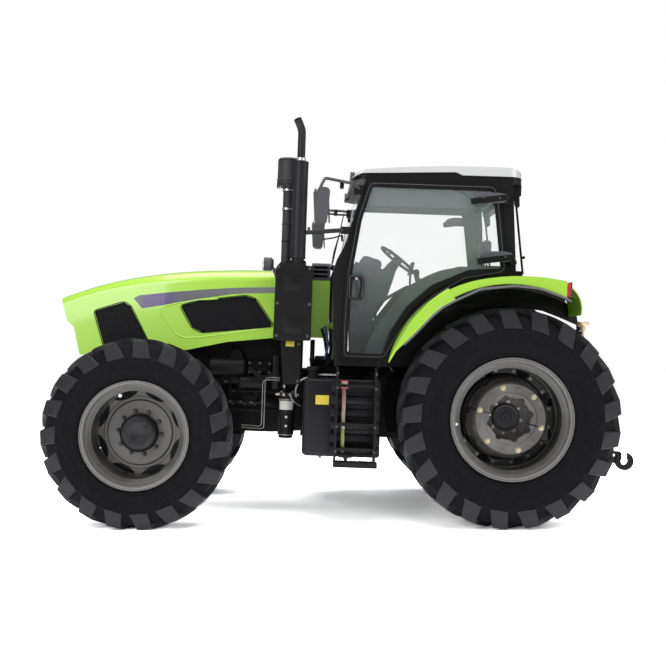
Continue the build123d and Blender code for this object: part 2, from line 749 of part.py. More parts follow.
with BuildPart() as cowl:
    # Painted side cheeks joined by the firewall
    block(COWL_REAR, COWL_FRONT, -500, 500, 622, COWL_TOP)
    add(cowl_outer, mode=Mode.INTERSECT)
    add(cowl_cavity.part, mode=Mode.SUBTRACT)
    # Feet on the cab's firewall
    for y in (-360, 300):
        block(1462 + SEAT_FIT, COWL_REAR + 8, y, y + 60, 700, 760)
write(cowl, "cowl")

LOUVRE_TOP = 1288.0
LOUVRES = 3
with BuildPart() as cowl_louvres:
    # Dark intake box over the cowl, with slots right across it
    plate(
        (
            (COWL_REAR, COWL_TOP + SEAT_FIT),
            (COWL_FRONT, COWL_TOP + SEAT_FIT),
            (COWL_FRONT, 1236),
            (COWL_FRONT - 12, LOUVRE_TOP),
            (COWL_REAR, LOUVRE_TOP),
        ),
        392,
        784,
    )
    fillet(cowl_louvres.edges().filter_by(Axis.X).group_by(Axis.Z)[-1], 40)
    slot_pitch = (LOUVRE_TOP - COWL_TOP) / (LOUVRES + 1)
    for step in range(1, LOUVRES + 1):
        z = COWL_TOP + step * slot_pitch
        block(COWL_REAR + 24, COWL_FRONT - 26, -400, 400, z - 11, z + 11, Mode.SUBTRACT)
write(cowl_louvres, "cowl_louvres")

# ================================================================ fenders
def raised(point, lift):
    """A side-view point moved straight away from the rear axle."""
    reach = hypot(*point)
    return (point[0] * (1 + lift / reach), point[1] * (1 + lift / reach))


# Top of the fender in side view, from its foot ahead of the tyre to its tail
FENDER_FOOT = (1006.0, 440.0)
FENDER_SHOULDER = (317.0, 1132.0)
FENDER_CROWN = (0.0, 1174.0)
FENDER_REAR = (-379.0, 1150.0)
FENDER_TAIL = (-566.0, 884.0)
# Lower edge of its outer skirt
SKIRT_REAR = (-396.0, 1006.0)
SKIRT_CROWN = (-7.0, 1103.0)
SKIRT_FRONT = (722.0, 815.0)
SKIRT_FOOT = (986.0, 440.0)
FENDER_IN = CAB_INNER_HALF + SEAT_FIT
LAMP_SEAT_X = -404.0

with BuildPart() as fender:
    with BuildSketch(side(FENDER_OUT)):
        with BuildLine():
            crown = ThreePointArc(FENDER_REAR, FENDER_CROWN, FENDER_SHOULDER)
            TangentArc(FENDER_SHOULDER, FENDER_FOOT, tangent=crown % 1)
            TangentArc(FENDER_REAR, FENDER_TAIL, tangent=(crown % 0) * -1)
            Polyline(FENDER_TAIL, raised(FENDER_TAIL, -24), SKIRT_REAR)
            ThreePointArc(SKIRT_REAR, SKIRT_CROWN, SKIRT_FRONT)
            Polyline(SKIRT_FRONT, SKIRT_FOOT, FENDER_FOOT)
        make_face()
    extrude(amount=FENDER_OUT - FENDER_IN)
    outer_edges = fender.edges().filter_by_position(Axis.Y, FENDER_OUT - 1, FENDER_OUT + 1)
    fillet(outer_edges.sort_by(lambda edge: -edge.length)[:1], FENDER_ROUND)
    lowered = -FENDER_WALL
    with BuildSketch(side(FENDER_OUT - FENDER_WALL)):
        with BuildLine():
            crown = ThreePointArc(
                raised(FENDER_REAR, lowered), raised(FENDER_CROWN, lowered), raised(FENDER_SHOULDER, lowered)
            )
            TangentArc(raised(FENDER_SHOULDER, lowered), raised(FENDER_FOOT, lowered), tangent=crown % 1)
            TangentArc(raised(FENDER_REAR, lowered), raised(FENDER_TAIL, lowered), tangent=(crown % 0) * -1)
            tail, foot = raised(FENDER_TAIL, lowered), raised(FENDER_FOOT, lowered)
            Polyline(tail, (-700, 700), (0, 200), (900, 200), foot)
        make_face()
    extrude(amount=700, mode=Mode.SUBTRACT)
    # In plan the foot and the tail narrow towards the cab
    for outline in (
        ((1100, 860), (1006, 880), (850, 1108), (740, 1188), (740, 1300), (1100, 1300)),
        ((LAMP_SEAT_X, 1300), (LAMP_SEAT_X, 1052), (-700, 1052), (-700, 1300)),
    ):
        with BuildSketch(level(0)):
            with BuildLine():
                Polyline(*outline, close=True)
            make_face()
        extrude(amount=1400, mode=Mode.SUBTRACT)
for name, flip in SIDES:
    write(fender, f"fender_{name}", flip)

LIP_WIDTH = 48.0
with BuildPart() as lip:
    # Rubber strip along the skirt's lower edge
    skirt = (SKIRT_REAR, SKIRT_CROWN, SKIRT_FRONT)
    upper = [raised(point, -SEAT_FIT) for point in skirt]
    lower = [raised(point, -FENDER_LIP) for point in skirt]
    with BuildSketch(side(TYRE_OUT)):
        with BuildLine():
            ThreePointArc(*upper)
            Line(upper[2], lower[2])
            ThreePointArc(*lower[::-1])
            Line(lower[0], upper[0])
        make_face()
    extrude(amount=LIP_WIDTH)
lip_right = lip.part.mirror(Plane.XZ)
with BuildPart() as fender_lips:
    add(lip.part)
    add(lip_right)
write(fender_lips, "fender_lips")

with BuildPart() as tail_lamps:
    for out in (1, -1):
        block(-448, LAMP_SEAT_X - SEAT_FIT, out * 1060, out * 1150, 1024, 1136)
write(tail_lamps, "tail_lamps")

# ================================================================ cab
# Side view of the cab's side frames, from the front sill round the posts and over the fender
POST_TOP = (1238.0, 1988.0)
REAR_TOP = (-14.0, 1988.0)
REAR_BELT = (-62.0, 1250.0)
SIDE_OUTLINE = (
    (1462.0, 386.0),
    (1504.0, 1180.0),
    (1470.0, 1290.0),
    (1392.0, 1440.0),
    POST_TOP,
    REAR_TOP,
    REAR_BELT,
    (-66.0, 1120.0),
    raised(FENDER_CROWN, -30),
    raised(FENDER_SHOULDER, -30),
    raised((800.0, 822.0), -30),
    raised(FENDER_FOOT, -10),
    (1014.0, 386.0),
)
# Outline of the door, from its front lower corner backwards over the fender and round
DOOR_OUTLINE = (
    (1398.0, 452.0),
    raised(FENDER_FOOT, 22),
    raised((930.0, 640.0), 36),
    raised((800.0, 840.0), 46),
    raised((600.0, 1010.0), 58),
    raised(FENDER_SHOULDER, 64),
    (60.0, 1214.0),
    (26.0, 1240.0),
    (100.0, 1812.0),
    (140.0, 1962.0),
    (1222.0, 1962.0),
    (1316.0, 1640.0),
    (1384.0, 1180.0),
    (1400.0, 740.0),
)
DOOR_LAP = 16.0  # how far the door covers the edge of its opening
HINGE_FOOT = (-19.0, 1355.0)  # middle of the door's lower hinge in side view
HINGE_Y = 845.0
HINGE_LEAN = 8.1
HINGE_RISE = 510.0
HINGE_HALF = 25.0
CAB_WITHIN = CAB_HALF - CAB_POST  # CAB_WITHIN face of the side frames
FLOOR_TOP = CAB_FLOOR_Z - SEAT_FIT


def on_hinge(along, ahead):
    """Side-view point by its distance up the door's hinge axis and ahead of it."""
    lean = radians(HINGE_LEAN)
    x = HINGE_FOOT[0] + along * sin(lean) + ahead * cos(lean)
    z = HINGE_FOOT[1] + along * cos(lean) - ahead * sin(lean)
    return (x, z)


def hinge_box(low, high, behind, ahead):
    """Side-view outline of a piece of a door hinge, square to the hinge axis."""
    return (on_hinge(low, behind), on_hinge(low, ahead), on_hinge(high, ahead), on_hinge(high, behind))


def hinge_rod(low, high, radius, mode=Mode.ADD):
    """A rod on the left door's hinge axis."""
    foot, head = on_hinge(low, 0), on_hinge(high, 0)
    rod((foot[0], HINGE_Y, foot[1]), (head[0], HINGE_Y, head[1]), radius, mode)


def outlined(points, shift):
    """The face of a side outline grown by shift, as a sketch for side planes."""
    with BuildSketch() as shape:
        with BuildLine():
            Polyline(*points, close=True)
        make_face()
        if shift:
            offset(amount=shift, kind=Kind.INTERSECTION, mode=Mode.REPLACE)
    return shape.sketch


with BuildPart() as cab_side:
    with BuildSketch(side(CAB_HALF)):
        add(outlined(SIDE_OUTLINE, 0))
        add(outlined(DOOR_OUTLINE, -DOOR_LAP), mode=Mode.SUBTRACT)
    extrude(amount=CAB_POST)
    # The lower edge follows the fender's top
    with BuildSketch(side(CAB_HALF)):
        with BuildLine():
            crown = ThreePointArc(
                raised(FENDER_REAR, SEAT_FIT), raised(FENDER_CROWN, SEAT_FIT), raised(FENDER_SHOULDER, SEAT_FIT)
            )
            TangentArc(raised(FENDER_SHOULDER, SEAT_FIT), raised(FENDER_FOOT, SEAT_FIT), tangent=crown % 1)
            Polyline(raised(FENDER_FOOT, SEAT_FIT), (1000, 200), (-400, 200), raised(FENDER_REAR, SEAT_FIT))
        make_face()
    extrude(amount=CAB_POST, mode=Mode.SUBTRACT)
    # Hinge lugs and pins of the door
    for foot in (0, HINGE_RISE):
        plate(hinge_box(foot - 62, foot - HINGE_HALF - 3, -26, 26), HINGE_Y + 22, HINGE_Y + 22 - CAB_HALF + 8)
        hinge_rod(foot - 45, foot + HINGE_HALF, DOOR_HINGE_R)
cab_side_right = cab_side.part.mirror(Plane.XZ)

with BuildPart() as cab_frame:
    add(cab_side.part)
    add(cab_side_right)
    # Windscreen sill and header, rear sill and header, firewall
    block(1340, 1460, -CAB_WITHIN, CAB_WITHIN, 1236, 1290)
    block(1180, 1240, -CAB_WITHIN, CAB_WITHIN, 1940, 1988)
    block(-134, -14, -CAB_WITHIN, CAB_WITHIN, 1180, 1250)
    block(-14, 40, -CAB_WITHIN, CAB_WITHIN, 1940, 1988)
    block(1450, 1462, -CAB_WITHIN, CAB_WITHIN, CAB_FLOOR_Z, 1240)
write(cab_frame, "cab_frame")

with BuildPart() as cab_floor:
    # Floor pan, wheel boxes, lower rear wall and rubber-block posts
    block(60, 1449.7, 14 - CAB_INNER_HALF, CAB_INNER_HALF - 14, FLOOR_TOP - CAB_FLOOR_WALL, FLOOR_TOP)
    for out in (1, -1):
        block(1020, 1449.7, out * (CAB_INNER_HALF - 14), out * 737.7, FLOOR_TOP - CAB_FLOOR_WALL, FLOOR_TOP)
        with BuildSketch(side(CAB_INNER_HALF if out > 0 else 14 - CAB_INNER_HALF)):
            with BuildLine():
                Polyline(
                    (1020, FLOOR_TOP - CAB_FLOOR_WALL),
                    (1020, 430),
                    (900, 660),
                    (780, 845),
                    (570, 1010),
                    (300, 1130),
                    (0, 1168),
                    (-60, 1168),
                    (60, FLOOR_TOP - CAB_FLOOR_WALL),
                    close=True,
                )
            make_face()
        extrude(amount=14)
        for x in (300, 1200):
            block(x - 40, x + 40, out * 140, out * 220, GEARBOX_TOP + SEAT_FIT, FLOOR_TOP)
    with BuildSketch(side(CAB_INNER_HALF - 14)):
        with BuildLine():
            pan_z = FLOOR_TOP - CAB_FLOOR_WALL
            Polyline((60, pan_z), (74, pan_z), (-46, 1168), (-60, 1168), close=True)
        make_face()
    extrude(amount=2 * CAB_INNER_HALF - 28)
write(cab_floor, "cab_floor")

# Roof: pale cap over a dark trim ring
ROOF_EDGE = ((-102, 2049), (421, 2047), (477, 2072), (1282, 2038), (1368, 2002))
with BuildPart() as cab_roof:
    with BuildSketch(side(CAB_HALF)):
        with BuildLine():
            Polyline(*ROOF_EDGE, (1294, 2065))
            ThreePointArc((1294, 2065), (620, 2118), (-12, 2122))
            Polyline((-12, 2122), (-94, 2097), ROOF_EDGE[0])
        make_face()
    extrude(amount=2 * CAB_HALF)
    with BuildSketch(level(1900)):
        with Locations((633, 0)):
            RectangleRounded(1472, 2 * CAB_HALF, 130)
    extrude(amount=400, mode=Mode.INTERSECT)
write(cab_roof, "cab_roof")

with BuildPart() as roof_trim:
    with BuildSketch(side(CAB_WITHIN + 50)):
        with BuildLine():
            Polyline(
                (1340, POST_TOP[1] + SEAT_FIT),
                (1350, 2006),
                (1282, 2038 - SEAT_FIT),
                (477, 2072 - SEAT_FIT),
                (421, 2047 - SEAT_FIT),
                (-102, 2049 - SEAT_FIT),
                (-112, 2022),
                (-104, POST_TOP[1] + SEAT_FIT),
                close=True,
            )
        make_face()
    extrude(amount=2 * (CAB_WITHIN + 50))
    with BuildSketch(level(1900)):
        with Locations((619, 0)):
            RectangleRounded(1440, 2 * (CAB_WITHIN + 50), 110)
    extrude(amount=400, mode=Mode.INTERSECT)
    block(-102, -22, -CAB_WITHIN + 20, CAB_WITHIN - 20, 1900, 1995)
    block(60, 1160, -CAB_WITHIN + 40, CAB_WITHIN - 40, 1980, 2010, mode=Mode.SUBTRACT)
write(roof_trim, "roof_trim")

# Bowed windscreen, turned about a far upright axis
SCREEN_CURVE = ((1446, 1290 + SEAT_FIT), (1408, 1535), (1370, 1710), (1296, 1975))
SCREEN_BOW_R = 6845.0
SCREEN_HALF = 734.0
with BuildPart() as windscreen:
    half_turn = degrees(asin(SCREEN_HALF / SCREEN_BOW_R))
    bow_x = SCREEN_CURVE[0][0] - SCREEN_BOW_R
    start = Plane(origin=(bow_x, 0, 0), x_dir=(1, 0, 0), z_dir=(0, -1, 0)).rotated((0, 0, -half_turn))
    with BuildSketch(start):
        with BuildLine():
            Polyline(
                *[(x - bow_x, z) for x, z in SCREEN_CURVE],
                *[(x - bow_x - GLASS, z) for x, z in reversed(SCREEN_CURVE)],
                close=True,
            )
        make_face()
    revolve(axis=Axis((bow_x, 0, 0), (0, 0, 1)), revolution_arc=2 * half_turn)
write(windscreen, "windscreen")

with BuildPart() as rear_window:
    with BuildSketch(level(1250 + SEAT_FIT)):
        with BuildLine():
            ThreePointArc((-103, SCREEN_HALF), (-130, 0), (-103, -SCREEN_HALF))
            Line((-103, -SCREEN_HALF), (-103 + GLASS, -SCREEN_HALF))
            ThreePointArc((-103 + GLASS, -SCREEN_HALF), (-130 + GLASS, 0), (-103 + GLASS, SCREEN_HALF))
            Line((-103 + GLASS, SCREEN_HALF), (-103, SCREEN_HALF))
        make_face()
    extrude(amount=630, dir=(0.135, 0, 1))
write(rear_window, "rear_window")

# ================================================================ doors
with BuildPart() as door:
    with BuildSketch(side(CAB_HALF + DOOR_GAP + DOOR_THICK)):
        add(outlined(DOOR_OUTLINE, 0))
        add(outlined(DOOR_OUTLINE, -DOOR_RIM), mode=Mode.SUBTRACT)
    extrude(amount=DOOR_THICK)
    # Hinge arms over the glass, and the handle
    for foot in (0, HINGE_RISE):
        plate(hinge_box(foot - HINGE_HALF, foot + HINGE_HALF, 0, 300), HINGE_Y + 24, 36)
        hinge_rod(foot - HINGE_HALF, foot + HINGE_HALF, 24)
        hinge_rod(foot - HINGE_HALF - 1, foot + HINGE_HALF + 1, DOOR_HINGE_R + RUNNING_FIT, mode=Mode.SUBTRACT)
    plate(((1366, 1160), (1262, 1166), (1231, 1120), (1250, 953), (1366, 960)), CAB_HALF + 52, 30)
for name, flip in SIDES:
    write(door, f"door_{name}", flip)

with BuildPart() as door_glass:
    with BuildSketch(side(CAB_HALF + DOOR_GAP + 14)):
        add(outlined(DOOR_OUTLINE, -DOOR_RIM - SEAT_FIT))
    extrude(amount=GLASS)
for name, flip in SIDES:
    write(door_glass, f"door_glass_{name}", flip)

# ================================================================ seat and controls
with BuildPart() as seat_base:
    block(210, 510, -170, 170, CAB_FLOOR_Z, 700)
    block(120, 600, -230, 230, 700, 730)
    plate(((120, 700), (160, 700), (60, 1290), (20, 1290)), 200, 400)
write(seat_base, "seat_base")

with BuildPart() as seat_cushion:
    block(166, 620, -240, 240, 730 + SEAT_FIT, 840)
write(seat_cushion, "seat_cushion")

with BuildPart() as seat_backrest:
    plate(((133.2, 860), (240, 860), (170, 1340), (51.9, 1340)), 220, 440)
write(seat_backrest, "seat_backrest")

WHEEL_MIDDLE = (880.0, 1371.0)  # centre of the steering wheel's rim in side view
WHEEL_LEAN = 36.9
WHEEL_R = 185.0
COLUMN_R = 16.0


def on_column(along, ahead=0.0):
    """Side-view point by its distance up the steering column from the rim's centre and across it."""
    lean = radians(WHEEL_LEAN)
    x = WHEEL_MIDDLE[0] - along * sin(lean) + ahead * cos(lean)
    z = WHEEL_MIDDLE[1] + along * cos(lean) + ahead * sin(lean)
    return (x, z)


def column_rod(low, high, radius, mode=Mode.ADD):
    """A rod on the steering column's axis."""
    foot, head = on_column(low), on_column(high)
    rod((foot[0], 0, foot[1]), (head[0], 0, head[1]), radius, mode)


DASH_HALF = 160.0
DASH_OUTLINE = (
    (1300, CAB_FLOOR_Z),
    (1330, 1190),
    (1279, 1330),
    (910, 1245),
    (985, 995),
    (1100, 813),
    (1130, CAB_FLOOR_Z),
)
with BuildPart() as dash_console:
    plate(DASH_OUTLINE, DASH_HALF, 2 * DASH_HALF)
    column_rod(-205, -112, 34)
    column_rod(-210, -111, COLUMN_R + RUNNING_FIT, mode=Mode.SUBTRACT)
write(dash_console, "dash_console")

WHEEL_GRIP_R = 14.0
WHEEL_HUB_R = 44.0
SPOKE_R = 11.0
SPOKE_DROP = 30.0  # how far the spokes meet the hub below the rim
with BuildPart() as steering_wheel:
    middle = on_column(0)
    column_way = (-sin(radians(WHEEL_LEAN)), 0, cos(radians(WHEEL_LEAN)))
    with BuildSketch(side(0)):
        with Locations(on_column(0, WHEEL_R)):
            Circle(WHEEL_GRIP_R)
    revolve(axis=Axis((middle[0], 0, middle[1]), column_way))
    column_rod(-200, -20, COLUMN_R)
    column_rod(-50, -10, WHEEL_HUB_R)
    hub = on_column(-SPOKE_DROP)
    for turn in (90, 210, 330):
        tip = on_column(0, WHEEL_R * cos(radians(turn)))
        rod((hub[0], 0, hub[1]), (tip[0], WHEEL_R * sin(radians(turn)), tip[1]), SPOKE_R)
write(steering_wheel, "steering_wheel")

with BuildPart() as side_consoles:
    plate(((80, CAB_FLOOR_Z), (760, CAB_FLOOR_Z), (760, 700), (640, 880), (30, 900)), -330, 286 - SEAT_FIT)
    plate(((80, CAB_FLOOR_Z), (520, CAB_FLOOR_Z), (520, 640), (40, 800)), CAB_INNER_HALF - 14 - SEAT_FIT, 180)
write(side_consoles, "side_consoles")

# ================================================================ outside fittings
MIRROR_FOOT = ((1274.4, 1860), (1254.8, 1930), (1264.8, 1930), (1284.4, 1860))
MIRROR_ARM = (
    (1277, 778, 1893),
    (1372, 900, 1930),
    (1598, 1010, 1949),
    (1632, 1060, 1870),
    (1632, 1070, 1780),
)
MIRROR_ARM_BEND = 40.0
MIRROR_ARM_R = 13.0
MIRROR_MIDDLE = (1616.0, 1702.0)
MIRROR_DEEP = 108.0
MIRROR_TALL = 290.0
MIRROR_ROUND = 40.0
MIRROR_IN = 1030.0
MIRROR_WIDE = 160.0
with BuildPart() as mirror:
    # Foot on the corner post, a bent arm, and the rounded head that hangs from it
    plate(MIRROR_FOOT, 795, 50)
    bent_tube(MIRROR_ARM, MIRROR_ARM_BEND, MIRROR_ARM_R)
    with BuildSketch(side(MIRROR_IN + MIRROR_WIDE)):
        with Locations(Location((*MIRROR_MIDDLE, 0), (0, 0, 4))):
            RectangleRounded(MIRROR_DEEP, MIRROR_TALL, MIRROR_ROUND)
    extrude(amount=MIRROR_WIDE)
mirror_right = mirror.part.mirror(Plane.XZ)
with BuildPart() as mirrors:
    add(mirror.part)
    add(mirror_right)
write(mirrors, "mirrors")

GUARD_OUTLINE = ((1984, 1205), (1953, 1245), (1676, 1222), (1674, 593), (1989, 588))
GUARD_LEG = ((1933, 596), (1752, 596), (1749, 208), (1897, 203))
GUARD_LEG_OUT = 680.0
GUARD_LEG_THICK = 150.0
SOCKET_BOTTOM = 1190.0
SOCKET_TOP = 1262.0
SOCKET_WALL = 9.0
with BuildPart() as exhaust_guard:
    # Sheet box open towards the hood, a leg with its arm to the engine, and two sockets on top
    plate(GUARD_OUTLINE, GUARD_OUT, GUARD_OUT - GUARD_IN)
    with BuildSketch(side(GUARD_OUT - GUARD_WALL)):
        add(outlined(GUARD_OUTLINE, -GUARD_WALL))
    extrude(amount=GUARD_OUT - GUARD_IN, mode=Mode.SUBTRACT)
    for x, y, radius in ((STACK_X, STACK_Y, STACK_R), (INTAKE_X, INTAKE_Y, INTAKE_R)):
        rod((x, y, SOCKET_BOTTOM), (x, y, SOCKET_TOP), radius + SOCKET_WALL)
    plate(GUARD_LEG, GUARD_LEG_OUT, GUARD_LEG_THICK)
    block(1760, 1860, ENGINE_HALF + SEAT_FIT, 560, 300, 380)
write(exhaust_guard, "exhaust_guard")

MUFFLER_TOP = 2121.0
PIPE_WALL = 3.0
MOUTH_DEPTH = 55.0  # how far in the pipe's open end is bored
PIPE_BEND = 110.0
PIPE_KNEE = (STACK_X, STACK_Y, 2405)
PIPE_END = (STACK_X + 42, STACK_Y + 50, 2490)
BRACE_R = 19.0
BRACE_START = (STACK_X - 40, STACK_Y, 1520)
BRACE_END = (1438, 766, 1545)
# The brace's bracket, seated on the sloping front edge of the cab's corner post
BRACE_FOOT = ((1446, 1515), (1446, 1575), (1354.4, 1575), (1371.3, 1515))
with BuildPart() as exhaust_stack:
    # Muffler, tail pipe turned up and outwards, and the brace to the cab
    rod((STACK_X, STACK_Y, SOCKET_TOP + SEAT_FIT), (STACK_X, STACK_Y, MUFFLER_TOP), STACK_R)
    chamfer(exhaust_stack.edges().filter_by(GeomType.CIRCLE).sort_by(Axis.Z)[-1], 8)
    bent_tube(((STACK_X, STACK_Y, MUFFLER_TOP - 20), PIPE_KNEE, PIPE_END), PIPE_BEND, PIPE_R)
    pipe_way = (Vector(*PIPE_END) - Vector(*PIPE_KNEE)).normalized()
    mouth = Vector(*PIPE_END)
    rod(mouth - pipe_way * MOUTH_DEPTH, mouth + pipe_way, PIPE_R - PIPE_WALL, mode=Mode.SUBTRACT)
    rod(BRACE_START, BRACE_END, BRACE_R)
    plate(BRACE_FOOT, 790, 46)
write(exhaust_stack, "exhaust_stack")

DRUM_R = 96.0
DRUM_TOP = 2159.0
DRUM_BEAD = 5.0
# Half section of the intake pipe and its precleaner drum: distance from the middle, height
INTAKE_PROFILE = (
    (0, SOCKET_TOP + SEAT_FIT),
    (INTAKE_R, SOCKET_TOP + SEAT_FIT),
    (INTAKE_R, 1722),
    (INTAKE_R + DRUM_BEAD, 1722),
    (INTAKE_R + DRUM_BEAD, 1746),
    (INTAKE_R, 1746),
    (INTAKE_R, 1888),
    (INTAKE_R + DRUM_BEAD, 1888),
    (INTAKE_R + DRUM_BEAD, 1914),
    (DRUM_R - 34, 1919),
    (DRUM_R, 1958),
    (DRUM_R, 1976),
    (DRUM_R + DRUM_BEAD, 1980),
    (DRUM_R + DRUM_BEAD, 1994),
    (DRUM_R, 1998),
    (DRUM_R, DRUM_TOP - 10),
    (DRUM_R - 10, DRUM_TOP),
    (0, DRUM_TOP),
)
with BuildPart() as air_precleaner:
    with BuildSketch(Plane(origin=(INTAKE_X, INTAKE_Y, 0), x_dir=(1, 0, 0), z_dir=(0, -1, 0))):
        with BuildLine():
            Polyline(*INTAKE_PROFILE, close=True)
        make_face()
    revolve(axis=Axis((INTAKE_X, INTAKE_Y, 0), (0, 0, 1)))
write(air_precleaner, "air_precleaner")

LAMP_R = 58.0
with BuildPart() as work_lamp:
    # Round lamp facing forward, on a bent bracket from the guard
    rod((2017, 550, 1250), (2103, 550, 1250), LAMP_R)
    chamfer(work_lamp.edges().filter_by(GeomType.CIRCLE).sort_by(Axis.X)[0], 20)
    plate(((1985, 1130), (2000, 1130), (2030, 1210), (2020, 1230), (1984.6, 1200)), 580, 60)
write(work_lamp, "work_lamp")

TANK_BOTTOM = -376.0
TANK_TOP = 280.0
TANK_IN = 390.0
TANK_OUT = 944.0
TANK_REAR = 1060.0
TANK_WAIST = 1446.0  # where the rounded front chamber starts
TANK_FRONT = 1711.0
CHAMBER_OUT = 950.0
CHAMBER_ROUND = 62.0
CHAMBER_OUTLINE = (
    (TANK_WAIST, TANK_BOTTOM),
    (TANK_FRONT - 71, TANK_BOTTOM - 9),
    (TANK_FRONT, TANK_BOTTOM + 76),
    (TANK_FRONT, TANK_TOP - 100),
    (TANK_FRONT - 71, TANK_TOP - 13),
    (TANK_WAIST, TANK_TOP - 8),
)
RIBS = 5
RIB_PITCH = 124.0
RIB_HEIGHT = 92.0
RIB_STAND = 12.0
RIB_BEVEL = 14.0
BRACKET_XS = (1150, 1550)
with BuildPart() as fuel_tank:
    # Rounded front chamber, ribbed rear chamber behind the steps, and brackets to the gearbox
    plate(CHAMBER_OUTLINE, CHAMBER_OUT, CHAMBER_OUT - TANK_IN)
    with BuildSketch(level(TANK_BOTTOM - 50)):
        with Locations(((TANK_WAIST + TANK_FRONT) / 2, (TANK_IN + CHAMBER_OUT) / 2)):
            RectangleRounded(TANK_FRONT - TANK_WAIST, CHAMBER_OUT - TANK_IN, CHAMBER_ROUND)
    extrude(amount=TANK_TOP - TANK_BOTTOM + 100, mode=Mode.INTERSECT)
    block(TANK_REAR, TANK_WAIST + CHAMBER_ROUND, TANK_IN + 14, TANK_OUT, TANK_BOTTOM, TANK_TOP)
    for rib in range(RIBS):
        top = TANK_TOP - 22 - rib * RIB_PITCH
        with BuildSketch(across(TANK_REAR + 15)):
            with BuildLine():
                Polyline(
                    (TANK_OUT - 5, top),
                    (TANK_OUT, top),
                    (TANK_OUT + RIB_STAND, top - RIB_BEVEL),
                    (TANK_OUT + RIB_STAND, top - RIB_HEIGHT + RIB_BEVEL),
                    (TANK_OUT, top - RIB_HEIGHT),
                    (TANK_OUT - 5, top - RIB_HEIGHT),
                    close=True,
                )
            make_face()
        extrude(amount=TANK_WAIST - TANK_REAR - 31)
    for x in BRACKET_XS:
        block(x, x + 80, GEARBOX_HALF + SEAT_FIT, TANK_IN + 70, -140, 0)
write(fuel_tank, "fuel_tank")

BOX_OUT = TANK_OUT + RIB_STAND
BOX_FRONT = 1700.0
BOX_REAR = 1080.0
BOX_TOP = 250.0
BOX_ROUND = 34.0
LID_SEAM = 160.0
with BuildPart() as battery_box:
    # Rounded tool and battery box on the right, with the seam of its lid
    with BuildSketch(level(TANK_BOTTOM + 16)):
        with Locations(((BOX_FRONT + BOX_REAR) / 2, -(BOX_OUT + TANK_IN + 30) / 2)):
            RectangleRounded(BOX_FRONT - BOX_REAR, BOX_OUT - TANK_IN - 30, BOX_ROUND)
    extrude(amount=BOX_TOP - TANK_BOTTOM - 16)
    chamfer(battery_box.edges().group_by(Axis.Z)[-1], 12)
    seam_rear, seam_front = BOX_REAR + BOX_ROUND, BOX_FRONT - BOX_ROUND
    block(seam_rear, seam_front, -BOX_OUT - 1, 6 - BOX_OUT, LID_SEAM, LID_SEAM + 6, Mode.SUBTRACT)
    for x in BRACKET_XS:
        block(x, x + 80, -GEARBOX_HALF - SEAT_FIT, -TANK_IN - 70, -140, 0)
write(battery_box, "battery_box")

STEP_IN = 985.0
STEP_OUT = 1105.0
STEP_LIP = 7.0
STEP_HALF = 12.0
STEP_HEIGHTS = (226, -94, -298)
LOW_STEP_TOP = -402.0
LOW_STEP_BOTTOM = -446.0
RAILS = ((1436, 1439), (1118, 1113))  # x of each rail at its top and its foot
with BuildPart() as ladder:
    # Two flat rails, three folded treads and a thick rubber one at the bottom
    for x_top, x_foot in RAILS:
        plate(((x_top - 6, 380), (x_top + 12, 380), (x_foot + 12, -440), (x_foot - 6, -440)), 1110, 130)
    for z in STEP_HEIGHTS:
        with BuildSketch(across(1112)):
            with BuildLine():
                Polyline(
                    (STEP_IN, z - STEP_HALF),
                    (STEP_IN, z + STEP_HALF),
                    (STEP_OUT, z + STEP_HALF),
                    (STEP_OUT, z - STEP_HALF),
                    (STEP_OUT - STEP_LIP, z - STEP_HALF),
                    (STEP_OUT - STEP_LIP, z + STEP_HALF - STEP_LIP),
                    (STEP_IN + STEP_LIP, z + STEP_HALF - STEP_LIP),
                    (STEP_IN + STEP_LIP, z - STEP_HALF),
                    close=True,
                )
            make_face()
        extrude(amount=330)
    block(1090, 1452, STEP_IN, STEP_OUT + 12, LOW_STEP_BOTTOM, LOW_STEP_TOP)
    block(1100, 1430, TANK_OUT + RIB_STAND + SEAT_FIT, 1000, 180, 240)
ladder_right = ladder.part.mirror(Plane.XZ)
with BuildPart() as cab_steps:
    add(ladder.part)
    add(ladder_right)
write(cab_steps, "cab_steps")

FILTER_X = 1861.0
FILTER_Y = 620.0
FILTER_R = 70.0
with BuildPart() as fuel_filter:
    # Canister with a bowl below and its head above, on an arm from the engine
    rod((FILTER_X, FILTER_Y, -235), (FILTER_X, FILTER_Y, 78), FILTER_R)
    rod((FILTER_X, FILTER_Y, -262), (FILTER_X, FILTER_Y, -235), FILTER_R - 9)
    rod((FILTER_X, FILTER_Y, 78), (FILTER_X, FILTER_Y, 118), FILTER_R - 14)
    block(FILTER_X - 66, FILTER_X + 60, FILTER_Y - 62, FILTER_Y + 50, 96, 132)
    rod((FILTER_X + 22, FILTER_Y, 130), (FILTER_X + 22, FILTER_Y, 168), 22)
    block(FILTER_X - 31, FILTER_X + 29, ENGINE_HALF + SEAT_FIT, FILTER_Y - 20, -60, 20)
write(fuel_filter, "fuel_filter")

# ================================================================ rear linkage
LINK_PIVOT = (-80.0, -330.0)
ARM_PIVOT = (-80.0, 330.0)
TOP_PIVOT = (-410.0, 140.0)
LIFT_REACH = 430.0
LINK_PIN_R = 18.0
ROD_PIN_R = 14.0
TOP_PIN_R = 13.0
ROD_X = ARM_PIVOT[0] - LIFT_REACH

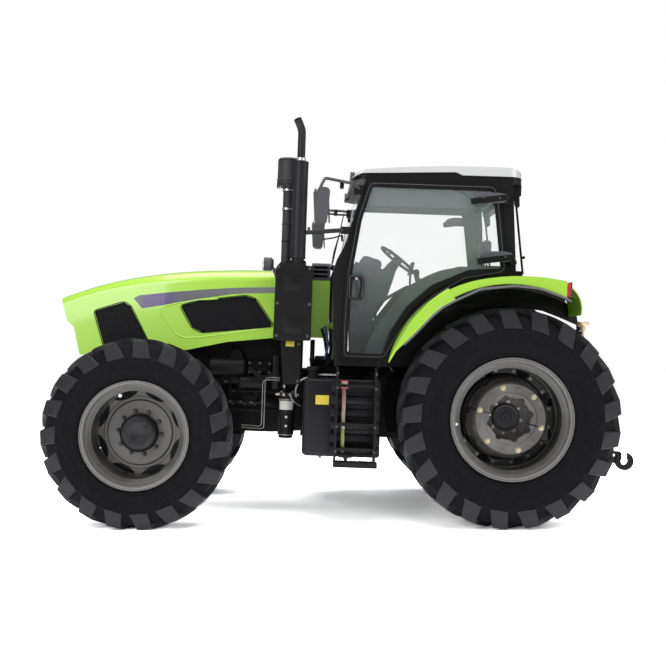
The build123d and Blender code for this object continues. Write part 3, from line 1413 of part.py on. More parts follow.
DRAWBAR_HALF = 40.0
DRAWBAR_BOTTOM = -440.0
DRAWBAR_TOP = -392.0
DRAWBAR_PIN = (-640.0, 16.0)  # place and radius of its pin bore
with BuildPart() as drawbar:
    # Flat bar carried in two hangers under the rear housing
    block(-680, 160, -DRAWBAR_HALF, DRAWBAR_HALF, DRAWBAR_BOTTOM, DRAWBAR_TOP)
    for x in (-280, 60):
        for out in (1, -1):
            block(x, x + 90, out * DRAWBAR_HALF, out * 64, DRAWBAR_BOTTOM, GEARBOX_BOTTOM - SEAT_FIT)
        block(x, x + 90, -64, 64, DRAWBAR_BOTTOM - 20, DRAWBAR_BOTTOM)
    pin_x, pin_r = DRAWBAR_PIN
    rod((pin_x, 0, DRAWBAR_BOTTOM - 1), (pin_x, 0, DRAWBAR_TOP + 1), pin_r, mode=Mode.SUBTRACT)
write(drawbar, "drawbar")

PTO_Z = -120.0
PTO_R = 17.5
with BuildPart() as pto_shaft:
    rod((-330 - SEAT_FIT, 0, PTO_Z), (-350, 0, PTO_Z), 60)
    rod((-350, 0, PTO_Z), (-440, 0, PTO_Z), PTO_R)
write(pto_shaft, "pto_shaft")

LIFT_ARM_OUT = 330.0
LIFT_ARM_THICK = 34.0
LIFT_ARM_OUTLINE = ((-80, 385), (-30, 330), (-80, 275), (-500, 300), (-540, 330), (-500, 360))
with BuildPart() as lift_arms:
    # Cross shaft with an arm and a pin at each end
    rod((ARM_PIVOT[0], -LIFT_ARM_OUT, ARM_PIVOT[1]), (ARM_PIVOT[0], LIFT_ARM_OUT, ARM_PIVOT[1]), 32)
    for out in (1, -1):
        plate(LIFT_ARM_OUTLINE, LIFT_ARM_OUT if out > 0 else LIFT_ARM_THICK - LIFT_ARM_OUT, LIFT_ARM_THICK)
        rod((ROD_X, out * 300, ARM_PIVOT[1]), (ROD_X, out * 392, ARM_PIVOT[1]), ROD_PIN_R)
write(lift_arms, "lift_arms")

ROD_Y = 364.0
ROD_EYE_R = 32.0
ROD_BAR_R = 20.0
with BuildPart() as lift_rods:
    # A threaded rod with an eye at each end, beside each lower link
    for out in (1, -1):
        rod((ROD_X, out * 344, ARM_PIVOT[1]), (ROD_X, out * 384, ARM_PIVOT[1]), ROD_EYE_R)
        rod((ROD_X, out * ROD_Y, ARM_PIVOT[1]), (ROD_X, out * ROD_Y, LINK_PIVOT[1] + 20), ROD_BAR_R)
        rod((ROD_X, out * ROD_Y, -120), (ROD_X, out * ROD_Y, 140), ROD_BAR_R + 9)
        rod((ROD_X, out * 346, LINK_PIVOT[1]), (ROD_X, out * 382, LINK_PIVOT[1]), ROD_EYE_R)
        bore = ROD_PIN_R + RUNNING_FIT
        rod((ROD_X, out * 340, ARM_PIVOT[1]), (ROD_X, out * 390, ARM_PIVOT[1]), bore, mode=Mode.SUBTRACT)
write(lift_rods, "lift_rods")

# Plan and side view of the left lower link, round its outline; its plan gives x and y
LINK_PLAN = (
    (-40, 306),
    (-600, 306),
    (-960, 416),
    (-1120, 416),
    (-1120, 446),
    (-950, 446),
    (-590, 336),
    (-40, 336),
)
LINK_SIDE = (
    (-34, -296),
    (-34, -364),
    (-140, -372),
    (-900, -364),
    (-1120, -420),
    (-1120, -300),
    (-900, -298),
    (-140, -288),
)
HOOK_MIDDLE = (-1160.0, -385.0)
HOOK_OUT_R = 80.0
HOOK_IN_R = 36.0
HOOK_MOUTH = 58.0
HOOK_THICK = 44.0
HOOK_Y = 431.0
with BuildPart() as link:
    # A link that splays outwards and ends in an open hook for the implement's ball
    with BuildSketch(level(-500)):
        with BuildLine():
            Polyline(*LINK_PLAN, close=True)
        make_face()
    extrude(amount=300)
    plate(LINK_SIDE, 500, 300, mode=Mode.INTERSECT)
    with BuildSketch(side(HOOK_Y + HOOK_THICK / 2)):
        with Locations(HOOK_MIDDLE):
            Circle(HOOK_OUT_R)
        with Locations((HOOK_MIDDLE[0], HOOK_MIDDLE[1] + HOOK_OUT_R)):
            Rectangle(HOOK_MOUTH, 2 * HOOK_OUT_R, mode=Mode.SUBTRACT)
        with Locations(HOOK_MIDDLE):
            Circle(HOOK_IN_R, mode=Mode.SUBTRACT)
    extrude(amount=HOOK_THICK)
    bore_start, bore_end = (LINK_PIVOT[0], 300, LINK_PIVOT[1]), (LINK_PIVOT[0], 342, LINK_PIVOT[1])
    rod(bore_start, bore_end, LINK_PIN_R + RUNNING_FIT, mode=Mode.SUBTRACT)
link_right = link.part.mirror(Plane.XZ)
with BuildPart() as lower_links:
    add(link.part)
    add(link_right)
write(lower_links, "lower_links")

TOP_END = (-850.0, 812.0)  # free end of the top link, held up
TOP_BAR_R = 20.0
TOP_SLEEVE_R = 29.0
TOP_EYE_R = 36.0


def along_top(share):
    """A point between the two eyes of the top link."""
    x = TOP_PIVOT[0] + share * (TOP_END[0] - TOP_PIVOT[0])
    z = TOP_PIVOT[1] + share * (TOP_END[1] - TOP_PIVOT[1])
    return (x, 0, z)


with BuildPart() as top_link:
    # Turnbuckle with an eye at each end
    rod(along_top(0), along_top(1), TOP_BAR_R)
    rod(along_top(0.25), along_top(0.7), TOP_SLEEVE_R)
    for x, z in (TOP_PIVOT, TOP_END):
        rod((x, -26, z), (x, 26, z), TOP_EYE_R)
    x, z = TOP_PIVOT
    rod((x, -40, z), (x, 40, z), TOP_PIN_R + RUNNING_FIT, mode=Mode.SUBTRACT)
write(top_link, "top_link")
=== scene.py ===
"""Blender scene of a farm tractor: finishes, fine detail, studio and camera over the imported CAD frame.

The row frame is in metres: X forward, Y to the driver's left, Z up from the ground. Shapes are given in
millimetres in the tractor's own axes, whose origin is the middle of the rear axle, and which lean two degrees
nose up; ``Stance`` turns them into the row frame.
"""

from __future__ import annotations

import json
import logging
import math
from dataclasses import dataclass, replace
from enum import Enum
from typing import Sequence

import bmesh
import bpy
from mathutils import Matrix, Vector
from mathutils.bvhtree import BVHTree

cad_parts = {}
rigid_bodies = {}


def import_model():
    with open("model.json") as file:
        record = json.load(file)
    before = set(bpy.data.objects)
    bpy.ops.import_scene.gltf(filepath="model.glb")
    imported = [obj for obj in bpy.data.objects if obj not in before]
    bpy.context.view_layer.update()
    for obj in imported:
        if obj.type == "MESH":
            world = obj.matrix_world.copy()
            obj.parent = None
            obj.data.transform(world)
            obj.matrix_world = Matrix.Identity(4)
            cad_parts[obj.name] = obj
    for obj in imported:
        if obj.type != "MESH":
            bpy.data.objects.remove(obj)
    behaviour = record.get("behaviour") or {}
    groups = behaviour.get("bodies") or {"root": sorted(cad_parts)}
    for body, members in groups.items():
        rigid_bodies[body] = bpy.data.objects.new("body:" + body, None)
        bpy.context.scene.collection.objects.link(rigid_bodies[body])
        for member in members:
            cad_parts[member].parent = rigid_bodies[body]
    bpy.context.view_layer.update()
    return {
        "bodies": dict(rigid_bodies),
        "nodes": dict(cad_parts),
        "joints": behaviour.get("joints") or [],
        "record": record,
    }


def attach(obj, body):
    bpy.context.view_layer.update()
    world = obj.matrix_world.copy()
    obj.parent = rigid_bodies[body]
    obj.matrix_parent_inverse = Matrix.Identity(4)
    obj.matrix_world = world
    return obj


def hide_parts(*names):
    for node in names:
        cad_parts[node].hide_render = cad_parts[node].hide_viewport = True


LOG = logging.getLogger("tractor")
Point = tuple[float, float, float]
Colour = tuple[float, float, float]
Outline = Sequence[tuple[float, float]]
Number = "float | Signal"
LEFT_RIGHT = ((1, "left"), (-1, "right"))


# ---------------------------------------------------------------- places
REAR_AXLE: Point = (-1.340, 0.0, 0.910)
FRONT_AXLE: Point = (1.755, 0.0, 0.780)
REAR_HUB: Point = (0.0, 936.0, 0.0)
FRONT_HUB: Point = (3088.6, 985.0, -237.9)
INTAKE_AXIS: Point = (1912.0, 574.0, 0.0)


@dataclass(frozen=True)
class Stance:
    """How the tractor's own axes lie in the row frame."""

    origin: Point = REAR_AXLE
    nose_up: float = math.radians(2.0)

    def matrix(self) -> Matrix:
        """The 4x4 matrix from the tractor's axes to the row frame."""
        return Matrix.Translation(self.origin) @ Matrix.Rotation(-self.nose_up, 4, "Y")

    def to_row(self) -> Matrix:
        """The matrix from millimetres in the tractor's axes to metres in the row frame."""
        return self.matrix() @ Matrix.Scale(0.001, 4)

    def from_row(self) -> Matrix:
        """The matrix from metres in the row frame back to millimetres in the tractor's axes."""
        return Matrix.Scale(1000.0, 4) @ self.matrix().inverted()


STANCE = Stance()


# ---------------------------------------------------------------- shader maths
class Signal:
    """A number that varies over a surface; arithmetic on it adds Math nodes."""

    def __init__(self, graph: "NodeKit", socket: bpy.types.NodeSocket) -> None:
        """Wrap an output socket of a graph."""
        self.graph = graph
        self.socket = socket

    def _math(self, operation: str, *values: "Number", clamp: bool = False) -> "Signal":
        """Add one Math node.

        Args:
            operation: the node's operation.
            values: its inputs in order, numbers or signals.
            clamp: whether the result is kept between 0 and 1.

        Returns:
            The node's result.
        """
        node = self.graph.node("ShaderNodeMath", {"operation": operation, "use_clamp": clamp}, *values)
        return Signal(self.graph, node.outputs[0])

    def __add__(self, other: "Number") -> "Signal":
        """Sum."""
        return self._math("ADD", self, other)

    __radd__ = __add__

    def __sub__(self, other: "Number") -> "Signal":
        """Difference."""
        return self._math("SUBTRACT", self, other)

    def __rsub__(self, other: "Number") -> "Signal":
        """Difference from a plain number."""
        return self._math("SUBTRACT", other, self)

    def __mul__(self, other: "Number") -> "Signal":
        """Product."""
        return self._math("MULTIPLY", self, other)

    __rmul__ = __mul__

    def __truediv__(self, other: "Number") -> "Signal":
        """Quotient."""
        return self._math("DIVIDE", self, other)

    def __pow__(self, other: "Number") -> "Signal":
        """Power."""
        return self._math("POWER", self, other)

    def apply(self, operation: str, *others: "Number") -> "Signal":
        """Any other Math operation with this value first."""
        return self._math(operation, self, *others)

    def clamped(self) -> "Signal":
        """The value kept between 0 and 1."""
        return self._math("ADD", self, 0.0, clamp=True)

    def step(self, low: float, high: float) -> "Signal":
        """A smooth rise from 0 at low to 1 at high; falls instead if high is below low."""
        node = self.graph.node(
            "ShaderNodeMapRange", {"interpolation_type": "SMOOTHSTEP"}, self, low, high, 0.0, 1.0
        )
        return Signal(self.graph, node.outputs[0])

    def smaller(self, other: "Number") -> "Signal":
        """The smaller of two values."""
        return self._math("MINIMUM", self, other)

    def larger(self, other: "Number") -> "Signal":
        """The larger of two values."""
        return self._math("MAXIMUM", self, other)


class NodeKit:
    """A node tree, with one way to add a node and feed its sockets."""

    def __init__(self, tree: bpy.types.NodeTree) -> None:
        """Hold a tree."""
        self.tree = tree

    def node(
        self, kind: str, settings: dict[str, object], *values: object, **named: object
    ) -> bpy.types.Node:
        """Add a node.

        Args:
            kind: the node's type name.
            settings: its properties, which are set first.
            values: inputs in order; None leaves one as it is.
            named: inputs by socket name, with underscores for spaces.

        Returns:
            The new node.
        """
        made = self.tree.nodes.new(kind)
        for key, value in settings.items():
            setattr(made, key, value)
        pairs = list(zip(made.inputs, values)) + [
            (made.inputs[k.replace("_", " ")], v) for k, v in named.items()
        ]
        for socket, value in pairs:
            self.feed(socket, value)
        return made

    def feed(self, socket: bpy.types.NodeSocket, value: object) -> None:
        """Link or set one input socket."""
        if value is None:
            return
        if isinstance(value, Signal):
            value = value.socket
        if isinstance(value, bpy.types.NodeSocket):
            self.tree.links.new(value, socket)
        elif socket.type == "RGBA" and len(value) == 3:
            socket.default_value = (*value, 1.0)
        else:
            socket.default_value = value


class Graph(NodeKit):
    """The node tree of one material, with Object coordinates at hand."""

    def __init__(self, name: str) -> None:
        """Start a material that holds one Principled surface."""
        self.material = bpy.data.materials.new(name)
        self.material.use_nodes = True
        super().__init__(self.material.node_tree)
        self.tree.nodes.clear()
        self.output = self.tree.nodes.new("ShaderNodeOutputMaterial")
        self.surface = self.tree.nodes.new("ShaderNodeBsdfPrincipled")
        self.tree.links.new(self.surface.outputs[0], self.output.inputs["Surface"])
        self.place = self.tree.nodes.new("ShaderNodeTexCoord").outputs["Object"]

    def axes(self, origin: Sequence[float] = (0.0, 0.0, 0.0)) -> tuple[Signal, Signal, Signal]:
        """X, Y and Z in metres from a point of the row frame."""
        moved = self.node("ShaderNodeVectorMath", {"operation": "SUBTRACT"}, self.place, tuple(origin))
        split = self.node("ShaderNodeSeparateXYZ", {}, moved.outputs[0])
        return tuple(Signal(self, socket) for socket in split.outputs)

    def scaled(self, stretch: Sequence[float]) -> bpy.types.NodeSocket:
        """Object coordinates times a vector, for stretched textures."""
        return self.node("ShaderNodeVectorMath", {"operation": "MULTIPLY"}, self.place, tuple(stretch)).outputs[
            0
        ]

    def noise(self, scale: float, detail: float = 3.0, stretch: Sequence[float] | None = None) -> Signal:
        """Cloudy noise from 0 to 1; scale is in waves a metre."""
        vector = self.scaled(stretch) if stretch else self.place
        made = self.node("ShaderNodeTexNoise", {}, Vector=vector, Scale=scale, Detail=detail, Roughness=0.55)
        return Signal(self, made.outputs["Fac"])

    def cells(self, scale: float, feature: str = "F1") -> Signal:
        """Distance in a Voronoi pattern."""
        made = self.node("ShaderNodeTexVoronoi", {"feature": feature}, Vector=self.place, Scale=scale)
        return Signal(self, made.outputs["Distance"])

    def blend(self, factor: "Number", first: object, second: object) -> bpy.types.NodeSocket:
        """A colour between two colours."""
        made = self.tree.nodes.new("ShaderNodeMix")
        made.data_type = "RGBA"
        self.feed(made.inputs[0], factor)
        self.feed(made.inputs[6], first)
        self.feed(made.inputs[7], second)
        return made.outputs[2]

    def upward(self) -> Signal:
        """The surface's upward facing, from -1 to 1."""
        normal = self.node("ShaderNodeNewGeometry", {}).outputs["Normal"]
        return Signal(self, self.node("ShaderNodeSeparateXYZ", {}, normal).outputs["Z"])

    def relief(self, height: Signal, distance: float, strength: float = 1.0) -> bpy.types.NodeSocket:
        """A bumped normal; distance is the height of 1 in metres."""
        return self.node("ShaderNodeBump", {}, Strength=strength, Distance=distance, Height=height).outputs[0]

    def finish(self, **inputs: object) -> bpy.types.Material:
        """Feed the Principled surface's sockets by name and hand over the material."""
        for key, value in inputs.items():
            self.feed(self.surface.inputs[key.replace("_", " ")], value)
        return self.material


# ---------------------------------------------------------------- finishes
# near black that a rim's paint turns to where shade is painted into it
RIM_SHADE_BLACK: Colour = (0.008, 0.008, 0.008)
ROAD_DUST: Colour = (0.30, 0.27, 0.22)
SETTLED_DUST: Colour = (0.20, 0.19, 0.17)


@dataclass(frozen=True)
class Finish:
    """A finish that dresses pieces; each kind draws its own shader once."""

    name: str
    colour: Colour
    roughness: float = 0.4

    def draw(self, graph: Graph) -> bpy.types.Material:
        """Draw the shader; each kind of finish has its own."""
        raise NotImplementedError

    def material(self) -> bpy.types.Material:
        """The finish's material, drawn on first use."""
        found = bpy.data.materials.get(self.name)
        return found or self.draw(Graph(self.name))


@dataclass(frozen=True)
class Enamel(Finish):
    """Sprayed paint under a clear coat, with faint orange peel and road dust low down; on a rim, painted shade
    inside its barrel and in a ring round its disc.
    """

    peel: float = 0.00006
    coat: float = 0.6
    dust: float = 0.10
    gleam: float = 0.5
    # these three fields place painted shade on a rim: the barrel's depth, the hub, and the radii of a dark ring
    shaded: float = 0.0
    hub: Sequence[float] = (0.0, 0.0, 0.0)
    grimy: tuple[float, float] = (0.0, 0.0)

    def draw(self, graph: Graph) -> bpy.types.Material:
        """Paint whose tone drifts a little, with a thin veil of dust under knee height; on a rim, painted shade
        too.
        """
        if not self.shaded:
            return graph.finish(**self.sockets(graph, self.colour))
        # painted shade: near black inside the rim's barrel, behind the disc's plane, and in a ring round the disc,
        # for the shade inside the wheel
        x, y, z = graph.axes(self.hub)
        reach = (x * x + z * z).apply("SQRT")
        low, high = self.grimy
        dark = reach.step(low - 0.004, low + 0.006) * reach.step(high + 0.004, high - 0.050)
        inner = (y.apply("ABSOLUTE").step(self.shaded, self.shaded - 0.03) + dark * 0.88).clamped()
        return graph.finish(**self.sockets(graph, graph.blend(inner, self.colour, RIM_SHADE_BLACK)))

    def sockets(self, graph: Graph, colour: object) -> dict[str, object]:
        """The surface's inputs over a given colour."""
        drift = graph.noise(1.7, 2.0)
        grime = graph.noise(9.0, 6.0)
        height = graph.axes()[2]
        veil = (height.step(1.3, 0.2) * grime.step(0.35, 0.75) * self.dust).clamped()
        toned = graph.blend(drift.step(0.3, 0.7) * 0.10, colour, tuple(0.82 * c for c in self.colour))
        base = graph.blend(veil, toned, ROAD_DUST)
        peel = graph.noise(420.0, 1.0)
        return {
            "Base_Color": base,
            "Roughness": veil * 0.5 + (grime * 0.06 + (self.roughness - 0.03)),
            "Coat_Weight": self.coat,
            "Coat_Roughness": 0.06,
            "Specular_IOR_Level": self.gleam,
            "Normal": graph.relief(peel, self.peel),
        }


@dataclass(frozen=True)
class Moulded(Finish):
    """Moulded plastic with a fine leathery grain."""

    grain: float = 260.0
    depth: float = 0.00012
    gleam: float = 0.3

    def draw(self, graph: Graph) -> bpy.types.Material:
        """Grain from small cells, with sheen that drifts and dust where it faces up."""
        grain = graph.cells(self.grain).step(0.1, 0.7)
        wear = graph.noise(6.0, 5.0)
        settle = (graph.upward().step(0.5, 1.0) * wear.step(0.4, 0.8) * 0.25).clamped()
        base = graph.blend(settle, self.colour, SETTLED_DUST)
        tone = graph.blend(wear.step(0.25, 0.8) * 0.35, base, tuple(1.7 * c for c in self.colour))
        return graph.finish(
            Base_Color=tone,
            Roughness=wear * 0.16 + (self.roughness - 0.08),
            Specular_IOR_Level=self.gleam,
            Normal=graph.relief(grain, self.depth),
        )


@dataclass(frozen=True)
class Casting(Finish):
    """Painted iron casting with a sandy skin."""

    skin: float = 0.0005
    gleam: float = 0.25

    def draw(self, graph: Graph) -> bpy.types.Material:
        """Coarse and fine skin, and tone that drifts in patches."""
        coarse = graph.noise(38.0, 4.0)
        fine = graph.noise(240.0, 3.0)
        patch = graph.noise(3.5, 5.0)
        dark, pale = (tuple(share * c for c in self.colour) for share in (0.7, 1.35))
        tone = graph.blend(patch.step(0.35, 0.7), dark, pale)
        return graph.finish(
            Base_Color=tone,
            Roughness=patch * 0.2 + (self.roughness - 0.1),
            Coat_Weight=0.05,
            Specular_IOR_Level=self.gleam,
            Normal=graph.relief(coarse * 0.7 + fine * 0.3, self.skin),
        )


@dataclass(frozen=True)
class Metal(Finish):
    """Bare or plated metal with drawn or rolled marks."""

    metallic: float = 0.9
    brushed: Sequence[float] = (30.0, 30.0, 500.0)
    tint: Colour = (0.60, 0.50, 0.24)
    tinted: float = 0.0

    def draw(self, graph: Graph) -> bpy.types.Material:
        """Fine lines along the work, and a plating tint in clouds."""
        lines = graph.noise(1.0, 3.0, self.brushed)
        cloud = graph.noise(14.0, 4.0)
        tone = graph.blend(cloud.step(0.3, 0.75) * self.tinted, self.colour, self.tint)
        return graph.finish(
            Base_Color=tone,
            Metallic=self.metallic,
            Roughness=lines * 0.14 + (self.roughness - 0.07),
            Normal=graph.relief(lines, 0.00008),
        )


@dataclass(frozen=True)
class TyreRubber(Finish):
    """Black tyre rubber with ribbed bands on its side walls."""

    hub: Sequence[float] = (0.0, 0.0, 0.0)
    bands: Sequence[tuple[float, float]] = ()
    ribs: int = 300
    gleam: float = 0.06

    def draw(self, graph: Graph) -> bpy.types.Material:
        """Radial ribs in each band by their distance from the hub, over matt mottled rubber."""
        x, _, z = graph.axes(self.hub)
        reach = (x * x + z * z).apply("SQRT")
        turn = x.apply("ARCTAN2", z)
        saw = (turn * (self.ribs / math.tau)).apply("FRACT")
        rib = (saw - 0.5).apply("ABSOLUTE").step(0.12, 0.3)
        inside: Signal | None = None
        for low, high in self.bands:
            band = reach.step(low - 0.0015, low + 0.0015) * reach.step(high + 0.0015, high - 0.0015)
            band = band * (z.apply("ABSOLUTE") / reach).step(0.50, 0.47)
            inside = band if inside is None else inside + band
        mottled = graph.noise(22.0, 6.0)
        fine = graph.noise(300.0, 2.0)
        height = fine * 0.2 if inside is None else rib * inside + fine * 0.2
        tone = graph.blend(mottled.step(0.3, 0.8), self.colour, tuple(1.7 * c for c in self.colour))
        return graph.finish(
            Base_Color=tone,
            Roughness=mottled * 0.2 + (self.roughness - 0.1),
            Specular_IOR_Level=self.gleam,
            Normal=graph.relief(height, 0.0022),
        )


@dataclass(frozen=True)
class Glazing(Finish):
    """Tinted safety glass."""

    alpha: float = 0.30

    def draw(self, graph: Graph) -> bpy.types.Material:
        """Thin tinted sheet that is hazier near its top, with a breath of dust."""
        haze = graph.noise(5.0, 5.0)
        height = graph.axes()[2]
        return graph.finish(
            Base_Color=self.colour,
            Roughness=haze.step(0.5, 0.9) * 0.06 + self.roughness,
            Alpha=(height.step(1.5, 2.6) * 0.9 + 0.35 + haze.step(0.4, 0.8) * 0.15) * self.alpha,
            Coat_Weight=0.5,
        )


@dataclass(frozen=True)
class Lens(Finish):
    """Ribbed lamp lens."""

    alpha: float = 0.9
    rib: float = 110.0

    def draw(self, graph: Graph) -> bpy.types.Material:
        """Upright ribs crossed with level ones under a gloss skin."""
        _, y, z = graph.axes()
        across = (y * self.rib * math.tau).apply("SINE")
        down = (z * self.rib * math.tau).apply("SINE")
        speck = graph.noise(60.0, 2.0)
        tone = graph.blend(speck.step(0.3, 0.7) * 0.2, self.colour, tuple(0.7 * c for c in self.colour))
        return graph.finish(
            Base_Color=tone,
            Roughness=speck * 0.04 + self.roughness,
            Coat_Weight=0.7,
            Alpha=self.alpha,
            Normal=graph.relief(across * down, 0.0006),
        )


@dataclass(frozen=True)
class Cloth(Finish):
    """Woven seat cover."""

    thread: float = 0.0018

    def draw(self, graph: Graph) -> bpy.types.Material:
        """Over-and-under weave with a fleck of lighter thread."""
        x, y, z = graph.axes()
        turns = math.tau / self.thread
        weave = ((x + z) * turns).apply("SINE") * (y * turns).apply("SINE")
        fleck = graph.noise(500.0, 2.0)
        tone = graph.blend(fleck.step(0.5, 0.75) * 0.6, self.colour, tuple(2.6 * c for c in self.colour))
        return graph.finish(
            Base_Color=tone,
            Roughness=fleck * 0.1 + (self.roughness - 0.05),
            Sheen_Weight=0.3,
            Normal=graph.relief(weave * 0.5 + fleck * 0.5, 0.0005),
        )


@dataclass(frozen=True)
class Film(Finish):
    """Printed side film that runs from a violet front into pale grey."""

    violet: Colour = (0.062, 0.030, 0.150)
    pale: Colour = (0.200, 0.200, 0.215)

    def draw(self, graph: Graph) -> bpy.types.Material:
        """Grey, a violet cloud, then grey that grows paler towards the cab."""
        x = graph.axes()[0]
        drift = graph.noise(5.0, 3.0) * 0.16
        fade = graph.blend((x + drift).step(1.55, 0.3), self.colour, self.pale)
        cloud = (x + drift).step(1.96, 1.86) * (x + drift).step(1.46, 1.72)
        tone = graph.blend(cloud * 0.85, fade, self.violet)
        speck = graph.noise(300.0, 2.0)
        return graph.finish(
            Base_Color=tone,
            Roughness=speck * 0.06 + self.roughness,
            Coat_Weight=0.3,
            Normal=graph.relief(speck, 0.00004),
        )


LIME: Colour = (0.335, 0.600, 0.045)
GREEN = Enamel("green_enamel", LIME, 0.30, dust=0.06)
PALE_ROOF = Enamel("roof_enamel", (0.52, 0.52, 0.52), 0.34)
RIM_GREY = Enamel("rim_enamel", (0.120, 0.116, 0.110), 0.46, coat=0.10, dust=0.12, gleam=0.4)
# both rims carry painted shade inside the barrel and in a ring round the disc
FRONT_RIM = replace(RIM_GREY, name="front_rim_enamel", shaded=0.842, hub=FRONT_AXLE, grimy=(0.349, 0.430))
REAR_RIM = replace(RIM_GREY, name="rear_rim_enamel", shaded=0.772, hub=REAR_AXLE, grimy=(0.352, 0.482))
BLACK = Enamel("black_enamel", (0.0080, 0.0080, 0.0086), 0.46, coat=0.02, dust=0.02, gleam=0.09)
HUB_BLACK = Enamel("hub_enamel", (0.016, 0.016, 0.018), 0.44, coat=0.05, dust=0.04, gleam=0.15)
CHASSIS = Casting("chassis_casting", (0.0052, 0.0050, 0.0054), 0.58, gleam=0.05)
WEIGHT = Casting("weight_casting", (0.100, 0.096, 0.092), 0.52, gleam=0.35)
PLASTIC = Moulded("black_plastic", (0.0095, 0.0095, 0.0102), 0.50, gleam=0.10)
TANK = Moulded("tank_plastic", (0.0065, 0.0063, 0.0078), 0.40, gleam=0.13)
# grey lighter than the black door: a real bead whose tone is a painted highlight line
GREY_SEAM_HIGHLIGHT = Moulded("grey_seam_highlight", (0.045, 0.046, 0.048), 0.50, gleam=0.3)
PALE_HOSE = Moulded("pale_hose", (0.30, 0.30, 0.29), 0.50, gleam=0.3)
GREY_PLASTIC = Moulded("grey_plastic", (0.100, 0.102, 0.105), 0.55)
RUBBER = Moulded("soft_rubber", (0.009, 0.009, 0.009), 0.72, grain=90.0, gleam=0.07)
ZINC = Metal("zinc_plate", (0.55, 0.53, 0.47), 0.36, tinted=0.5)
YELLOW_ZINC = Metal("yellow_zinc", (0.34, 0.30, 0.22), 0.44, metallic=0.6, tinted=0.4)
DULL_BOLT = Metal("dull_bolt", (0.26, 0.25, 0.235), 0.46, metallic=0.6, tinted=0.15)
STEEL = Metal("bright_steel", (0.60, 0.60, 0.60), 0.28)
MUFFLER = Enamel("heatproof_black", (0.012, 0.012, 0.0135), 0.46, coat=0.04, dust=0.0, gleam=0.16)
GLASS = Glazing("cab_glass", (0.86, 0.99, 0.97), 0.03, alpha=0.062)
CLEAR_LENS = Lens("lamp_lens", (0.62, 0.64, 0.66), 0.08)
RED_LENS = Lens("red_lens", (0.30, 0.030, 0.020), 0.16, alpha=1.0)
AMBER_LENS = Lens("amber_lens", (0.80, 0.22, 0.01), 0.10, alpha=1.0)
SEAT_CLOTH = Cloth("seat_cloth", (0.030, 0.031, 0.034), 0.85)
FRONT_RUBBER = TyreRubber("front_tyre_rubber", (0.0052, 0.0052, 0.0060), 0.74, FRONT_AXLE)
REAR_RUBBER = replace(FRONT_RUBBER, name="rear_tyre_rubber", hub=REAR_AXLE, bands=((0.592, 0.678),), ribs=330)
LUG_RUBBER = Moulded("lug_rubber", (0.0100, 0.0100, 0.0122), 0.60, grain=60.0, depth=0.0002, gleam=0.22)
# paler than the rim paint, for painted highlights along the rims' raised rings
RIM_HIGHLIGHT = Enamel("rim_highlight_enamel", (0.26, 0.255, 0.25), 0.36, coat=0.2, dust=0.04, gleam=0.5)
DARK_BOLT = Metal("dark_bolt", (0.050, 0.049, 0.050), 0.50, metallic=0.4)
GREY_PIPE = Metal("grey_pipe", (0.20, 0.20, 0.20), 0.45, metallic=0.5, tinted=0.1)
RED_TRIM = Enamel("red_trim", (0.50, 0.045, 0.040), 0.45, coat=0.1, dust=0.0)
PINK_PLATE = Enamel("pink_plate", (0.42, 0.24, 0.22), 0.45, coat=0.1, dust=0.0)
CREAM_PLATE = Enamel("cream_plate", (0.52, 0.46, 0.36), 0.45, coat=0.1, dust=0.0)
STRAW_PLATE = Enamel("straw_plate", (0.46, 0.45, 0.16), 0.45, coat=0.1, dust=0.0)
PALE_EDGE = Enamel("glass_edge", (0.42, 0.52, 0.50), 0.30, coat=0.3, dust=0.0)
ALLOY = Metal("cast_alloy", (0.36, 0.36, 0.35), 0.42, metallic=0.7, tinted=0.0)
BRASS = Metal("brass_cap", (0.55, 0.42, 0.26), 0.42, metallic=0.5, tinted=0.2)
TEAL_TRIM = Moulded("cab_trim", (0.034, 0.044, 0.045), 0.60, gleam=0.2)
MESH_GREY = Moulded("mesh_plastic", (0.020, 0.020, 0.022), 0.50, gleam=0.12)
GRILLE = Moulded("grille_plastic", (0.0055, 0.0055, 0.006), 0.62, gleam=0.03)
SCREEN = Moulded("dark_screen", (0.012, 0.014, 0.018), 0.18, gleam=0.5)
LINING = Moulded("roof_lining", (0.045, 0.055, 0.056), 0.85, gleam=0.1)
DARK_TRIM = Moulded("dark_trim", (0.012, 0.017, 0.017), 0.60, gleam=0.12)
YELLOW_PLATE = Enamel("yellow_plate", (0.62, 0.50, 0.035), 0.40, coat=0.2, dust=0.0)
PALE_LABEL = Enamel("pale_label", (0.52, 0.52, 0.50), 0.45, coat=0.1, dust=0.0)
GREY_BLACK = Moulded("drum_plastic", (0.028, 0.028, 0.031), 0.50, gleam=0.2)
BLUE_HOSE = Moulded("blue_hose", (0.020, 0.040, 0.130), 0.50, grain=120.0)
MIRROR = Metal("mirror_glass", (0.75, 0.77, 0.78), 0.10, metallic=1.0)
FILM = Film("side_film", (0.085, 0.085, 0.092), 0.34)

